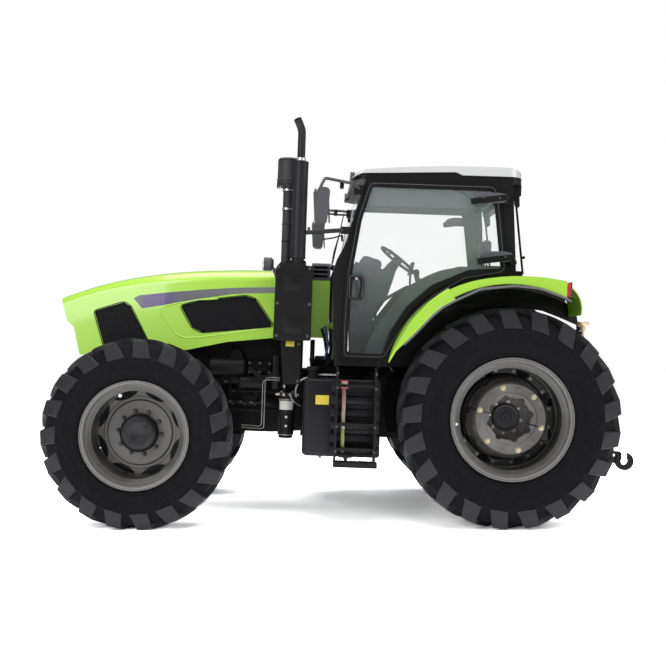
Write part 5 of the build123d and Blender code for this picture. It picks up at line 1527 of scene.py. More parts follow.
@dataclass(frozen=True)
class RearWheel:
    """Caps, bolts and valve of a rear wheel and its cast weight."""

    middle: Point = REAR_HUB
    disc_y: float = 848.0
    cap_y: float = 892.0
    face_y: float = 1092.0
    cap_radius: float = 104.0

    def build(self, nodes: dict[str, bpy.types.Object], fasteners: Fasteners) -> None:
        """Make the pieces of both rear wheels."""
        skin = Skin(nodes["rear_wheel_left"])
        for side, word in LEFT_RIGHT:
            body = f"rear_wheel_{word}"
            self.cap().piece(f"rear_hub_cap_{word}", body, HUB_BLACK, "black_paint", side=side)
            self.wheel_bolts(fasteners).piece(f"rear_wheel_bolts_{word}", body, DULL_BOLT, "steel", side=side)
            self.weight_bolts(fasteners).piece(f"weight_bolts_{word}", body, YELLOW_ZINC, "steel", side=side)
            self.valve().piece(f"rear_valve_{word}", body, STEEL, "steel", side=side)
            # raised rings in a paler enamel: painted highlights on the rim's edges
            edges = rim_edges(skin, self.middle, (512.0, 500.0, 484.0))
            edges.piece(f"rear_rim_edges_{word}", body, RIM_HIGHLIGHT, "rim_paint", side=side)
            self.rings().piece(f"rear_rim_rings_{word}", body, RIM_GREY, "rim_paint", side=side)
            self.weight_trim().piece(f"weight_trim_{word}", body, WEIGHT, "rim_paint", side=side)

    def cap(self) -> Shape:
        """The black cap over the end of the axle shaft."""
        y, r = self.cap_y, self.cap_radius
        profile = [(y - 30, r + 11), (y + 1, r + 11), (y + 6, r + 5), (y + 6, r - 10), (y + 3, r - 14)]
        profile += [(y + 4, 46), (y + 9, 40), (y + 9, 16), (y + 5, 12), (y + 5, 0), (y - 30, 0)]
        return Shape().turned(profile, Facing.SIDE.at(), 48)

    def wheel_bolts(self, fasteners: Fasteners) -> Shape:
        """Eight wheel nuts round the hub, and the small bolts of the disc's outer band."""
        nuts = fasteners.ring(Fasteners.stud(33.0, 24.0, 11.0, 42.0), 8, 137.0, 8.0, 40.0)
        small = fasteners.ring(Fasteners.bolt(19.0, 9.0, 15.0), 16, 396.0, 11.0, 60.0)
        shape = Shape().add(nuts, Facing.SIDE.at(y=self.disc_y))
        return shape.add(small, Facing.SIDE.at(y=self.disc_y - 60))

    def weight_bolts(self, fasteners: Fasteners) -> Shape:
        """Six plated bolts through the weight's face ring."""
        bolts = fasteners.ring(Fasteners.bolt(30.0, 17.0, 24.0), 6, 264.0, 14.5, 60.0)
        return Shape().add(bolts, Facing.SIDE.at(y=self.face_y))

    def valve(self) -> Shape:
        """The valve's stem and cap beside the rim's flange."""
        place = pointing((450.0, 1040.0, -58.0), (0, 1, 0.02))
        shape = Shape().turned([(0, 9), (34, 9), (36, 15), (72, 16), (84, 13), (84, 0), (0, 0)], place, 20)
        return shape.turned([(-8, 20), (4, 20), (8, 14), (8, 0), (-8, 0)], place, 20)

    def rings(self) -> Shape:
        """Rolled beads of the rim: one on the flange's lip and two in the well."""
        shape = Shape()
        for y, radius, size in (
            (1174.0, 502.0, 7.0),
            (1174.0, 476.0, 5.0),
            (1128.0, 468.0, 5.5),
            (1090.0, 447.0, 4.5),
            (905.0, 422.0, 5.0),
        ):
            shape.bead(y, radius, (size, size), Facing.SIDE.at(), 96)
        return shape

    def weight_trim(self) -> Shape:
        """Slots cast in the weight's flank, as raised pads between its lobes."""
        shape = Shape()
        for step in range(6):
            place = Facing.SIDE.at(y=self.face_y - 2.0) @ Matrix.Rotation(
                math.radians(44.5 + 60 * step), 4, "Z"
            )
            pad = [(238, -26), (272, -30), (272, 30), (238, 26)]
            shape.prism(pad, 0.0, 5.0, place, 2.0)
        return shape


@dataclass(frozen=True)
class FrontWheel:
    """Hub cap, studs, rim clamps and valve of a front wheel, and black plates of painted shade in its rim's
    windows.
    """

    middle: Point = FRONT_HUB
    disc_y: float = 868.0
    hub_radius: float = 157.0
    hub_face_y: float = 968.0

    def at(self, y: float) -> Matrix:
        """The side plane about the wheel's axis at a distance to the left."""
        return Facing.SIDE.at(self.middle[0], y, self.middle[2])

    def build(self, nodes: dict[str, bpy.types.Object], fasteners: Fasteners) -> None:
        """Make the pieces of both front wheels."""
        skin = Skin(nodes["front_wheel_left"])
        for side, word in LEFT_RIGHT:
            body = f"front_wheel_{word}"
            self.cap(fasteners).piece(f"front_hub_cap_{word}", body, HUB_BLACK, "black_paint", side=side)
            self.studs(fasteners).piece(f"front_wheel_studs_{word}", body, DARK_BOLT, "steel", side=side)
            self.clamps(fasteners).piece(f"front_rim_clamps_{word}", body, RIM_GREY, "rim_paint", side=side)
            self.valve().piece(f"front_valve_{word}", body, STEEL, "steel", side=side)
            # raised rings in a paler enamel: painted highlights on the rim's edges
            edges = rim_edges(skin, self.middle, (461.0, 449.0, 432.0))
            edges.piece(f"front_rim_edges_{word}", body, RIM_HIGHLIGHT, "rim_paint", side=side)
            # black crescent plates on the disc: painted shade where the rim's windows show dark
            crescent_shade = Shape()
            for step in range(8):
                crescent_shade.prism(
                    self.window(math.radians(45.0 * step + 22.5)), self.disc_y - 4.0, self.disc_y + 0.6
                )
            crescent_shade.piece(f"front_rim_windows_{word}", body, CHASSIS, "black_paint", side=side)

    def window(self, turn: float) -> list[tuple[float, float]]:
        """The crescent gap between the disc and the rim at one angle, seen from the side, as the outline of a
        black plate of painted shade.
        """
        outer, deep, span = 352.0, 50.0, 0.31
        points = []
        for step in range(-6, 7):
            points.append((turn + span * step / 6, outer))
        for step in range(5, -6, -1):
            points.append((turn + span * step / 6, outer - deep * (1.0 - (step / 6) ** 2) ** 0.7))
        x, _, z = self.middle
        return [(x + reach * math.cos(angle), z + reach * math.sin(angle)) for angle, reach in points]

    def cap(self, fasteners: Fasteners) -> Shape:
        """The planetary hub's dark drum, with a plug and a ring of cap screws."""
        y, r = self.hub_face_y, self.hub_radius
        profile = [(self.disc_y + 1, r + 4), (self.disc_y + 14, r + 4), (self.disc_y + 16, r + 2)]
        profile += [
            (y - 22, r + 2), (y - 10, r - 4), (y + 2, r - 22), (y + 5, r - 34), (y + 5, 60), (y + 3, 56)
        ]
        profile += [(y + 3, 0), (self.disc_y + 1, 0)]
        shape = Shape().turned(profile, self.at(0.0), 48)
        shape.add(fasteners.ring(Fasteners.bolt(14.0, 6.0), 6, 112.0, 12.0, 60.0), self.at(y + 5))
        return shape.add(
            fasteners.ring(Fasteners.bolt(26.0, 9.0, 18.0), 2, 78.0, 140.0, 30.0), self.at(y + 4)
        )

    def studs(self, fasteners: Fasteners) -> Shape:
        """Ten wheel studs with their nuts."""
        nuts = fasteners.ring(Fasteners.stud(29.0, 20.0, 10.0, 36.0), 10, 186.0, 4.0, 40.0)
        return Shape().add(nuts, self.at(self.disc_y))

    def clamps(self, fasteners: Fasteners) -> Shape:
        """Lugs that join the disc's lobes to the rim, each with its bolt."""
        nuts = fasteners.ring(Fasteners.stud(28.0, 18.0, 9.0, 30.0), 8, 392.0, 0.0, 60.0)
        shape = Shape().add(nuts, self.at(866.0))
        lug = Shape().prism([(-28, -24), (30, -17), (30, 17), (-28, 24)], -6.0, 7.0, Matrix(), 3.0)
        shape.add(fasteners.ring(lug, 8, 388.0, 0.0), self.at(860.0))
        for y, radius, size in (
            (1181.0, 445.0, 6.5), (1182.0, 419.0, 5.0), (1134.0, 410.0, 5.5), (1100.0, 388.0, 4.5)
        ):
            shape.bead(y, radius, (size, size), self.at(0.0), 80)
        return shape

    def valve(self) -> Shape:
        """The valve's stem and cap over the rim's well."""
        angle, reach, lean = math.radians(62.7), 372.0, -0.25
        x = self.middle[0] + reach * math.cos(angle)
        z = self.middle[2] + reach * math.sin(angle)
        place = pointing((x, 880.0, z), (lean * math.cos(angle), 1.0, lean * math.sin(angle)))
        return Shape().turned([(0, 9), (40, 9), (42, 16), (80, 17), (92, 13), (92, 0), (0, 0)], place, 20)


# ---------------------------------------------------------------- hood
@dataclass(frozen=True)
class HoodTrim:
    """Side films, recess ridge, seals and mesh of the hood."""

    film: Outline = (
        (3266, 915), (3213, 944), (3116, 956), (2938, 980), (2671, 1010), (2440, 1033), (2226, 1047), (2003, 1056),
        (1716, 1059), (1716, 1026), (2001, 1004), (2224, 994), (2384, 982), (2535, 954), (2686, 927), (2845, 894),
        (3023, 857), (3186, 826),
    )
    ridge: Outline = (
        (2383, 948), (2668, 922), (2889, 880), (2975, 858), (3013, 826), (3009, 781), (2983, 742), (2918, 660),
        (2862, 603), (2822, 584), (2763, 576), (2656, 588), (2523, 606), (2301, 650), (2110, 676),
    )
    front_grille: Outline = ((3618, 789), (3355, 876), (3290, 842), (3112, 520), (3520, 486))
    rear_grille: Outline = (
        (2842, 861), (2685, 911), (2263, 970), (2174, 946), (2018, 731), (2022, 704), (2640, 630), (2730, 671),
    )

    def build(self, nodes: dict[str, bpy.types.Object], fasteners: Fasteners) -> None:
        """Make the trim of both sides of the hood."""
        skin = Skin(nodes["hood"])
        mesh_skin = Skin(nodes["hood_grilles"])
        for side, word in LEFT_RIGHT:
            skin.patch(self.film, 0.9).piece(f"side_film_{word}", "hood", FILM, "lime_paint", side=side)
            rib = Shape().swept(ellipse(7.5, 7.5, 12), skin.line(self.ridge, -3.0))
            rib.piece(f"hood_ridge_{word}", "hood", GREEN, "lime_paint", side=side)
            self.seals(skin).piece(f"grille_seals_{word}", "hood", RUBBER, "rubber", side=side)
            self.mesh(mesh_skin, fasteners).piece(
                f"grille_mesh_{word}", "hood", MESH_GREY, "black_plastic", side=side
            )

    def seals(self, skin: Skin) -> Shape:
        """A rubber edge round each side window of the hood, just outside its opening."""
        shape = Shape()
        for outline in (self.front_grille, self.rear_grille):
            path = softened(shrunk(outline, -9.0), 34.0, loop=True)
            shape.swept(ellipse(4.5, 4.5, 8), skin.line(path, -1.0, loop=True), loop=True)
        return shape

    def mesh(self, skin: Skin, fasteners: Fasteners) -> Shape:
        """Six-sided cells over the whole of each window."""
        cell = Shape().turned([(0.0, 10.6), (2.6, 10.6), (2.6, 8.6), (0.0, 8.6)], Matrix(), 6, ring=True)
        across, up = 21.0, 18.2
        spots = []
        for outline in (self.front_grille, self.rear_grille):
            inside = shrunk(outline, 15.0)
            low_u, high_u = min(u for u, v in inside), max(u for u, v in inside)
            low_v, high_v = min(v for u, v in inside), max(v for u, v in inside)
            rows = int((high_v - low_v) / up) + 1
            for row in range(rows):
                v = low_v + up * row
                u = low_u + (0.5 * across if row % 2 else 0.0)
                while u < high_u:
                    hit = skin.from_left(u, v) if encloses(inside, u, v) else None
                    if hit:
                        spots.append(pointing(hit[0] - hit[1] * 0.4, hit[1]))
                    u += across
        return Shape().add(fasteners.spots(cell, spots))


def shrunk(outline: Outline, inset: float) -> list[tuple[float, float]]:
    """An outline moved in towards its middle by about an inset, or out if the inset is negative."""
    middle = Vector((sum(u for u, v in outline), sum(v for u, v in outline))) / len(outline)
    moved = []
    for u, v in outline:
        toward = (middle - Vector((u, v))).normalized() * inset
        moved.append((u + toward.x, v + toward.y))
    return moved


def encloses(outline: Outline, u: float, v: float) -> bool:
    """Whether a flat outline encloses a point."""
    inside = False
    for (au, av), (bu, bv) in zip(outline, [*outline[1:], outline[0]]):
        if (av > v) != (bv > v) and u < (bu - au) * (v - av) / (bv - av) + au:
            inside = not inside
    return inside


# ---------------------------------------------------------------- exhaust, intake and mirrors
@dataclass(frozen=True)
class Exhaust:
    """Shield, seams, clamps and bolts of the exhaust stack and its lower guard."""

    stack: Point = (1806.0, 700.0, 0.0)
    radius: float = 55.0
    low: float = 1262.0
    high: float = 2121.0

    def build(self, fasteners: Fasteners) -> None:
        """Make the pieces."""
        self.shield().piece("muffler_shield", "chassis", MUFFLER, "black_paint")
        self.bands().piece("muffler_bands", "chassis", STEEL, "steel")
        self.bolts(fasteners).piece("exhaust_bolts", "chassis", DARK_BOLT, "steel")
        self.guard().piece("guard_panels", "chassis", BLACK, "black_paint")
        Shape().block((1847.0, 681.5, 557.0), (74.0, 3.0, 46.0), 1.0, 2.0).piece(
            "guard_plate", "chassis", YELLOW_PLATE, "black_plastic"
        )

    def shield(self) -> Shape:
        """A half shell round the outer side of the muffler, with turned-out edges and end caps."""
        x, y, _ = self.stack
        shape = Shape()
        outline = []
        for step in range(25):
            angle = math.radians(-38 + 256 * step / 24)
            outline.append((66.0 * math.cos(angle), 66.0 * math.sin(angle)))
        outer = [(x + u, y + v) for u, v in outline]
        inner = [(x + 0.95 * u, y + 0.95 * v) for u, v in outline[::-1]]
        flat = Facing.TOP.at()
        shape.prism(outer + inner, self.low + 44, self.high - 4, flat)
        for u, v in (outline[0], outline[-1]):
            out = Vector((u, v)).normalized()
            shape.prism(
                [(x + u - 3, y + v - 3), (x + u + out.x * 13 + 3, y + v + out.y * 13 - 3),
                 (x + u + out.x * 13 + 3, y + v + out.y * 13 + 3), (x + u - 3, y + v + 3)],
                self.low + 50, self.high - 10, flat,
            )
        profile = [
            (self.high - 6, 67.5), (self.high + 8, 67.5), (self.high + 12, 62.0), (self.high + 12, 36.0)
        ]
        profile += [(self.high + 2, 36.0), (self.high - 6, 40.0)]
        shape.turned(profile, Facing.TOP.at(x, y), 40, ring=True)
        profile = [(self.low + 30, 58), (self.low + 34, 68), (self.low + 46, 68), (self.low + 50, 58)]
        return shape.turned(profile, Facing.TOP.at(x, y), 40, ring=True)

    def bands(self) -> Shape:
        """Clamping bands at the tail pipe's foot and on the intake pipe."""
        shape = Shape()
        tail = [(2140.0, 36.0), (2140.0, 40.0), (2164.0, 40.0), (2164.0, 36.0)]
        shape.turned(tail, Facing.TOP.at(*self.stack), 32, ring=True, bevel=1.0)
        x, y, _ = INTAKE_AXIS
        for foot in (1892.0, 1726.0):
            band = [(foot, 47.5), (foot, 51.0), (foot + 15, 51.0), (foot + 15, 47.5)]
            shape.turned(band, Facing.TOP.at(x, y), 32, ring=True)
            shape.block((x + 34, y + 44, foot + 7), (26.0, 10.0, 17.0), 2.0)
        return shape

    def bolts(self, fasteners: Fasteners) -> Shape:
        """Bolts of the brace, the guard and the band's lugs."""
        spots = [
            pointing((1719.0, 712.0, 1556.0), (0, 1, 0)), pointing((1438.0, 791.0, 1545.0), (0, 1, 0), 20)
        ]
        for x, z in ((1965, 1216), (1698, 1205), (1966, 624), (1700, 626), (1965, 900), (1692, 900)):
            spots.append(pointing((x, 785.0, z), (0, 1, 0), x))
        for z in (236, 560):
            spots.append(pointing((1772.0, 680.0, z), (0, 1, 0), z))
        for z in (1899.0, 1733.0):
            spots.append(pointing((1946.0, 624.0, z), (1, 0, 0)))
        return fasteners.bolted(spots, 19.0, 9.0, 14.0)

    def guard(self) -> Shape:
        """Folded edges of the guard's outer sheet, its stiffening swage, and the tail pipe's collar."""
        shape = Shape()
        rim = [(1984, 1205), (1953, 1245), (1676, 1222), (1674, 593), (1989, 588)]
        line = [Vector((u, 783.0, v)) for u, v in softened(rim, 16.0, loop=True)]
        shape.swept(ellipse(5.0, 5.0, 8), line, loop=True)
        for low, high in ((1010, 1160), (650, 790)):
            shape.prism(
                panel(180.0, high - low, 30.0), -1.0, 3.5, Facing.SIDE.at(1830.0, 784.0, (low + high) / 2),
                2.5,
            )
        collar = [(1190, 62), (1190, 76), (1266, 74), (1280, 64), (1280, 57)]
        shape.turned(collar, Facing.TOP.at(*self.stack), 40, ring=True)
        collar = [(1190, 44), (1190, 58), (1254, 56), (1266, 50), (1266, 44)]
        return shape.turned(collar, Facing.TOP.at(*INTAKE_AXIS), 36, ring=True)


@dataclass(frozen=True)
class Intake:
    """Ribs, seams and clamps of the intake pipe and its pre-cleaner drum."""

    place: Point = INTAKE_AXIS

    def build(self, fasteners: Fasteners) -> None:
        """Make the pieces."""
        x, y, _ = self.place
        axis = Facing.TOP.at(x, y)
        drum = Shape()
        for low, size in ((1990.0, 4.0), (2130.0, 3.0), (2010.0, 2.5)):
            drum.bead(low, 96.0, (size, size), axis, 56)
        lid = [(2158, 97.5), (2164, 96), (2176, 84), (2180, 60), (2181, 20), (2176, 0), (2150, 0), (2150, 90)]
        drum.turned(lid, axis, 56)
        drum.turned([(2176, 22), (2186, 22), (2189, 16), (2189, 0), (2170, 0)], axis, 16)
        vane = Shape().block((97.0, 0.0, 1945.0), (7.0, 3.0, 52.0), 1.0)
        drum.add(fasteners.ring(vane, 30, 0.0), axis)
        drum.piece("precleaner_ribs", "chassis", GREY_BLACK, "black_plastic")
        pipe = Shape()
        for low in (1450.0, 1600.0):
            pipe.bead(low, 42.5, (4.0, 4.0), axis, 40)
        pipe.block((x - 52, y, 1560.0), (40.0, 26.0, 60.0), 3.0)
        pipe.block((x - 70, y + 60, 1560.0), (12.0, 130.0, 34.0), 3.0)
        pipe.piece("intake_stays", "chassis", BLACK, "black_paint")


@dataclass(frozen=True)
class Mirrors:
    """Glass, back shells, clamps and stays of the two mirrors."""

    head: Point = (1616.0, 1110.0, 1702.0)

    def build(self, fasteners: Fasteners) -> None:
        """Make the pieces of both sides."""
        for side, word in LEFT_RIGHT:
            glass = Shape().prism(panel(136.0, 262.0, 32.0), -1.5, 1.5, self.back(-55.5), 1.0)
            glass.piece(f"mirror_glass_{word}", "chassis", MIRROR, "glass", side=side)
            self.shell().piece(f"mirror_shell_{word}", "chassis", PLASTIC, "black_plastic", side=side)
            self.stays(fasteners).piece(f"mirror_stays_{word}", "chassis", BLACK, "black_paint", side=side)

    def back(self, ahead: float) -> Matrix:
        """The head's face plane, leaning with it, at a distance ahead of its middle."""
        lean = Matrix.Translation(self.head) @ Matrix.Rotation(math.radians(4.0), 4, "Y")
        return lean @ Facing.FRONT.at(ahead)

    def shell(self) -> Shape:
        """A bulged back and a raised rim round the glass."""
        shape = Shape()
        shape.prism(panel(150.0, 276.0, 38.0), 40.0, 60.0, self.back(0.0), 9.0, 3)
        shape.prism(panel(110.0, 236.0, 30.0), 52.0, 68.0, self.back(0.0), 9.0, 3)
        rim = panel(150.0, 276.0, 38.0, 6)
        line = [self.back(-54.0) @ Vector((u, v, 0.0)) for u, v in rim]
        return shape.swept(ellipse(5.0, 5.0, 8), line, loop=True)

    def stays(self, fasteners: Fasteners) -> Shape:
        """Clamps, the arm's foot and the slim lower stay that steadies the arm."""
        shape = Shape()
        shape.block((1624.0, 1064.0, 1832.0), (34.0, 36.0, 46.0), 4.0)
        shape.block((1452.0, 905.0, 1912.0), (34.0, 60.0, 62.0), 6.0)
        shape.block((1300.0, 800.0, 1890.0), (90.0, 34.0, 84.0), 8.0)
        stay = [
            (1632, 1066, 1790), (1632, 1066, 1690), (1585, 1054, 1648), (1470, 935, 1655), (1382, 806, 1672)
        ]
        shape.tube(stay, 8.0, 30.0, 10)
        shape.tube([(1382, 806, 1672), (1376, 800, 1610)], 12.0)
        places = ((1624, 1084, 1832), (1452, 937, 1912), (1300, 819, 1914), (1300, 819, 1868))
        spots = [pointing(place, (0, 1, 0), place[2]) for place in places]
        return shape.add(fasteners.spots(Fasteners.bolt(15.0, 8.0, 11.0), spots))


# ---------------------------------------------------------------- underbody
@dataclass(frozen=True)
class Underbody:
    """Filters, pipes, hoses, plates and fittings between the axles on the left side."""

    filter_axis: Point = (1861.0, 620.0, 0.0)

    def build(self, fasteners: Fasteners) -> None:
        """Make the pieces."""
        self.filter_parts(fasteners).piece("filter_fittings", "chassis", DULL_BOLT, "steel")
        self.labels().piece("blank_labels", "chassis", PALE_LABEL, "pale_paint")
        Shape().prism(panel(112.0, 78.0, 6.0), -1.0, 2.0, Facing.SIDE.at(1556.0, 951.0, 96.0)).piece(
            "tank_label", "chassis", YELLOW_PLATE, "pale_paint"
        )
        self.marker_strip()
        self.pipes().piece("oil_pipes", "chassis", GREY_PIPE, "steel")
        self.hoses().piece("engine_hoses", "chassis", RUBBER, "rubber")
        lamp = pointing((2104.0, 550.0, 1250.0), (1, 0, 0))
        bowl = Shape().turned([(-2, 47), (5, 47), (12, 38), (15, 20), (15, 0), (-2, 0)], lamp, 36)
        bowl.piece("work_lamp_lens", "chassis", CLEAR_LENS, "lamp_lens")
        Shape().bead(2, 52, (5, 5), lamp, 40).piece("work_lamp_hoop", "chassis", STEEL, "steel")
        pale = [(1777, 640, 94), (1788, 650, 150), (1764, 660, 232), (1690, 690, 272), (1640, 720, 276)]
        Shape().tube(pale, 8.0, 40.0).piece("breather_hose", "chassis", PALE_HOSE, "rubber")
        self.tank().piece("fuel_tank_skin", "chassis", TANK, "black_plastic", replaces="fuel_tank")
        self.floor_beams().piece("floor_beams", "chassis", CHASSIS, "black_paint")
        self.blue_hose().piece("coolant_hose", "chassis", BLUE_HOSE, "rubber")
        self.engine(fasteners).piece("engine_covers", "chassis", CHASSIS, "black_paint")
        self.rails().piece("rail_covers", "chassis", BLACK, "black_paint")
        self.bolts(fasteners).piece("underbody_bolts", "chassis", DARK_BOLT, "steel")
        self.tank_trim().piece("tank_trim", "chassis", BLACK, "black_paint")

    def marker_strip(self) -> None:
        """A hanging strip of four coloured plates beside the ladder's front rail."""
        plates = (
            ("red", RED_TRIM, 200.0, 268.0, 33.0, 0.0),
            ("white", PALE_LABEL, 208.0, 260.0, 24.0, 1.5),
            ("pink", PINK_PLATE, 20.0, 198.0, 16.0, 0.0),
            ("cream", CREAM_PLATE, -140.0, 18.0, 15.0, 0.0),
            ("straw", STRAW_PLATE, -330.0, -142.0, 15.0, 0.0),
        )
        for word, finish, low, high, half, lift in plates:
            shape = Shape()
            outline = [(1376 - half, low), (1376 + half, low), (1379 + half, high), (1379 - half, high)]
            shape.prism(outline, 1012.0 + lift, 1018.0 + lift, bevel=1.0)
            shape.piece(f"marker_{word}", "chassis", finish, "pale_paint")

    def tank(self) -> Shape:
        """The moulded fuel tank: a smooth front chamber and a ribbed chamber behind the ladder."""
        shape = Shape()
        shape.prism(panel(272.0, 652.0, 44.0, 8), 390.0, 950.0, Facing.SIDE.at(1580.0, 0.0, -54.0), 34.0, 4)
        shape.prism(panel(448.0, 650.0, 24.0, 6), 404.0, 940.0, Facing.SIDE.at(1284.0, 0.0, -54.0), 16.0, 3)
        for step in range(6):
            face = Facing.SIDE.at(1276.0, 0.0, 206.0 - 106.0 * step)
            shape.prism(panel(420.0, 74.0, 14.0), 900.0, 957.0, face, 12.0, 3)
        return shape

    def floor_beams(self) -> Shape:
        """Beams and mounts that carry the cab floor on both sides."""
        shape = Shape()
        for way in (1, -1):
            low, high = sorted((way * 260.0, way * 400.0))
            shape.prism([(1663, 284), (1663, 420), (984, 420), (900, 284)], low, high, bevel=8.0)
            shape.block((1648.0, way * 500.0, 500.0), (36.0, 60.0, 200.0), 8.0)
            shape.block((1648.0, way * 450.0, 404.0), (44.0, 160.0, 30.0), 6.0)
            for x in (1560.0, 1080.0):
                shape.turned(
                    [(0, 60), (20, 60), (26, 46), (26, 0), (0, 0)], Facing.TOP.at(x, way * 470.0, 420.0), 32
                )
        return shape

    def filter_parts(self, fasteners: Fasteners) -> Shape:
        """Rolled ends of the canister, its head's unions and the hand primer's plunger."""
        axis = Facing.TOP.at(*self.filter_axis)
        shape = Shape()
        for low, radius in ((74.0, 70.5), (-232.0, 70.5), (62.0, 69.5)):
            shape.bead(low, radius, (3.0, 3.0), axis, 48, 8)
        shape.turned([(168, 0), (172, 15), (196, 17), (202, 12), (202, 0)], Facing.TOP.at(1883.0, 620.0), 24)
        for place, way in (
            ((1921, 620, 114), (1, 0, 0)),
            ((1795, 620, 114), (-1, 0, 0)),
            ((1830, 670, 114), (0, 1, 0)),
            ((1886, 670, 114), (0, 1, 0)),
        ):
            union = pointing(place, way)
            shape.turned(
                [(-2, 15), (10, 15), (12, 12), (24, 12), (26, 9), (38, 9), (38, 0), (-2, 0)], union, 6
            )
        spots = [pointing((1810.0, 596.0, 132.0), (0, 0, 1)), pointing((1906.0, 650.0, 132.0), (0, 0, 1))]
        return shape.add(fasteners.spots(Fasteners.bolt(17.0, 10.0, 13.0), spots))

    def labels(self) -> Shape:
        """Blank labels that lie on the canister and on the tank's front."""
        x, y, _ = self.filter_axis
        shape = Shape()
        arc = []
        for step in range(13):
            angle = math.radians(35 + 110 * step / 12)
            arc.append((x + 70.9 * math.cos(angle), y + 70.9 * math.sin(angle)))
        inner = [(x + (u - x) * 0.985, y + (v - y) * 0.985) for u, v in arc[::-1]]
        shape.prism(arc + inner, -16.0, 58.0, Facing.TOP.at())
        for low in (-78.0, -156.0):
            disc = [(x - 2.0 + 11.0 * u, low + 11.0 * v) for u, v in ellipse(1.0, 1.0, 16)]
            shape.prism(disc, y + 68.0, y + 71.5)
        return shape

    def pipes(self) -> Shape:
        """Plated fuel and oil pipes on the engine's side."""
        shape = Shape()
        for shift in (0.0, 21.0):
            path = [
                (2263, 340, -188 - shift), (2078 - shift, 470, -184 - shift), (2078 - shift, 520, 226 + shift)
            ]
            path += [(1990, 560, 236 + shift), (1926, 606, 232 + shift)]
            shape.tube(path, 4.5, 34.0, 8)
        shape.tube([(1590, 800, 300), (1582, 900, 306), (1540, 930, 308), (1446, 930, 309)], 7.0, 20.0, 10)
        shape.tube([(1830, 700, 114), (1830, 730, 112), (1800, 735, 60), (1740, 640, 20)], 7.0, 30.0, 10)
        plug = [(0, 0), (0, 20), (12, 20), (12, 13), (26, 13), (26, 0)]
        return shape.turned(plug, pointing((1560.0, 862.0, -376.0), (0, 0, -1)), 6)

    def hoses(self) -> Shape:
        """Black hoses about the filter and in the gap behind the exhaust guard."""
        shape = Shape()
        shape.tube([(1575, 520, 700), (1545, 530, 610), (1528, 540, 500), (1500, 560, 400)], 13.0, 60.0)
        shape.tube([(1500, 500, 700), (1492, 500, 600), (1486, 520, 500), (1520, 540, 380)], 15.0, 60.0)
        shape.tube([(2210, 420, 330), (2120, 440, 250), (2010, 440, 250), (1930, 470, 330)], 17.0, 60.0)
        return shape

    def blue_hose(self) -> Shape:
        """One blue hose down the same gap."""
        return Shape().tube(
            [(1548, 552, 720), (1530, 556, 640), (1512, 560, 560), (1540, 566, 430)], 11.0, 60.0
        )

    def engine(self, fasteners: Fasteners) -> Shape:
        """Covers, ribs and pads that break up the engine block's and the gearbox's sides."""
        shape = Shape()
        for x, z, wide, high, proud in (
            (2420, 250, 300, 150, 30),
            (2120, 330, 220, 120, 26),
            (2560, 60, 260, 120, 24),
            (2250, 60, 240, 150, 34),
        ):
            shape.prism(panel(wide, high, 26.0), -20.0, proud, Facing.SIDE.at(x, 285.0, z), 6.0)
        rib = Shape().block((0.0, 0.0, 0.0), (18.0, 34.0, 210.0), 3.0)
        shape.add(fasteners.row(rib, 6, (84.0, 0.0, 0.0)), Matrix.Translation((2130.0, 300.0, 170.0)))
        shape.turned([(0, 66), (60, 64), (70, 54), (70, 0), (0, 0)], Facing.SIDE.at(2330.0, 280.0, 430.0), 32)
        shape.turned(
            [(0, 52), (110, 50), (120, 42), (120, 0), (0, 0)], pointing((2060.0, 330.0, 20.0), (-1, 0, 0)), 32
        )
        return shape

    def rails(self) -> Shape:
        """Rounded covers and a flanged rail behind the front wheel."""
        shape = Shape()
        shape.block((2165.0, 330.0, 18.0), (440.0, 40.0, 26.0), 5.0)
        for z in (118.0, -52.0):
            shape.block((2165.0, 345.0, z), (440.0, 22.0, 12.0), 3.0)
        shape.turned(
            [(0, 80), (300, 80), (316, 66), (320, 0), (0, 0)], pointing((2560.0, 330.0, 330.0), (-1, 0, 0)),
            40,
        )
        shape.turned(
            [(0, 58), (240, 58), (252, 48), (254, 0), (0, 0)], pointing((2290.0, 352.0, 196.0), (-1, 0, 0)),
            36,
        )
        shape.block((1966.0, 430.0, 300.0), (60.0, 150.0, 300.0), 10.0)
        return shape

    def bolts(self, fasteners: Fasteners) -> Shape:
        """Bolt heads of the covers, the rail and the gearbox's flange."""
        spots = []
        for x, z, wide, high, proud in (
            (2420, 250, 260, 110, 30), (2120, 330, 180, 80, 26), (2250, 60, 200, 110, 34)
        ):
            for across in (-0.5, 0.0, 0.5):
                for up in (-0.5, 0.5):
                    spots.append(
                        pointing((x + across * wide, 285.0 + proud, z + up * high), (0, 1, 0), x + z)
                    )
        for x in range(1990, 2380, 96):
            spots.append(pointing((x, 350.0, 18.0), (0, 1, 0), x))
        return fasteners.bolted(spots, 17.0, 9.0, 13.0)

    def tank_trim(self) -> Shape:
        """The fuel tank's filler and the claw-shaped towing eye under it."""
        shape = Shape()
        neck = [
            (276, 0), (276, 52), (300, 50), (304, 44), (330, 42), (336, 56), (362, 56), (368, 48), (370, 0)
        ]
        shape.turned(neck, Facing.TOP.at(1640.0, 760.0), 40)
        claw = [
            (1414, -335), (1294, -340), (1296, -362), (1330, -366), (1342, -386), (1362, -388), (1372, -366),
            (1410, -362),
        ]
        shape.prism(claw, 1090.0, 1118.0, bevel=4.0)
        return shape


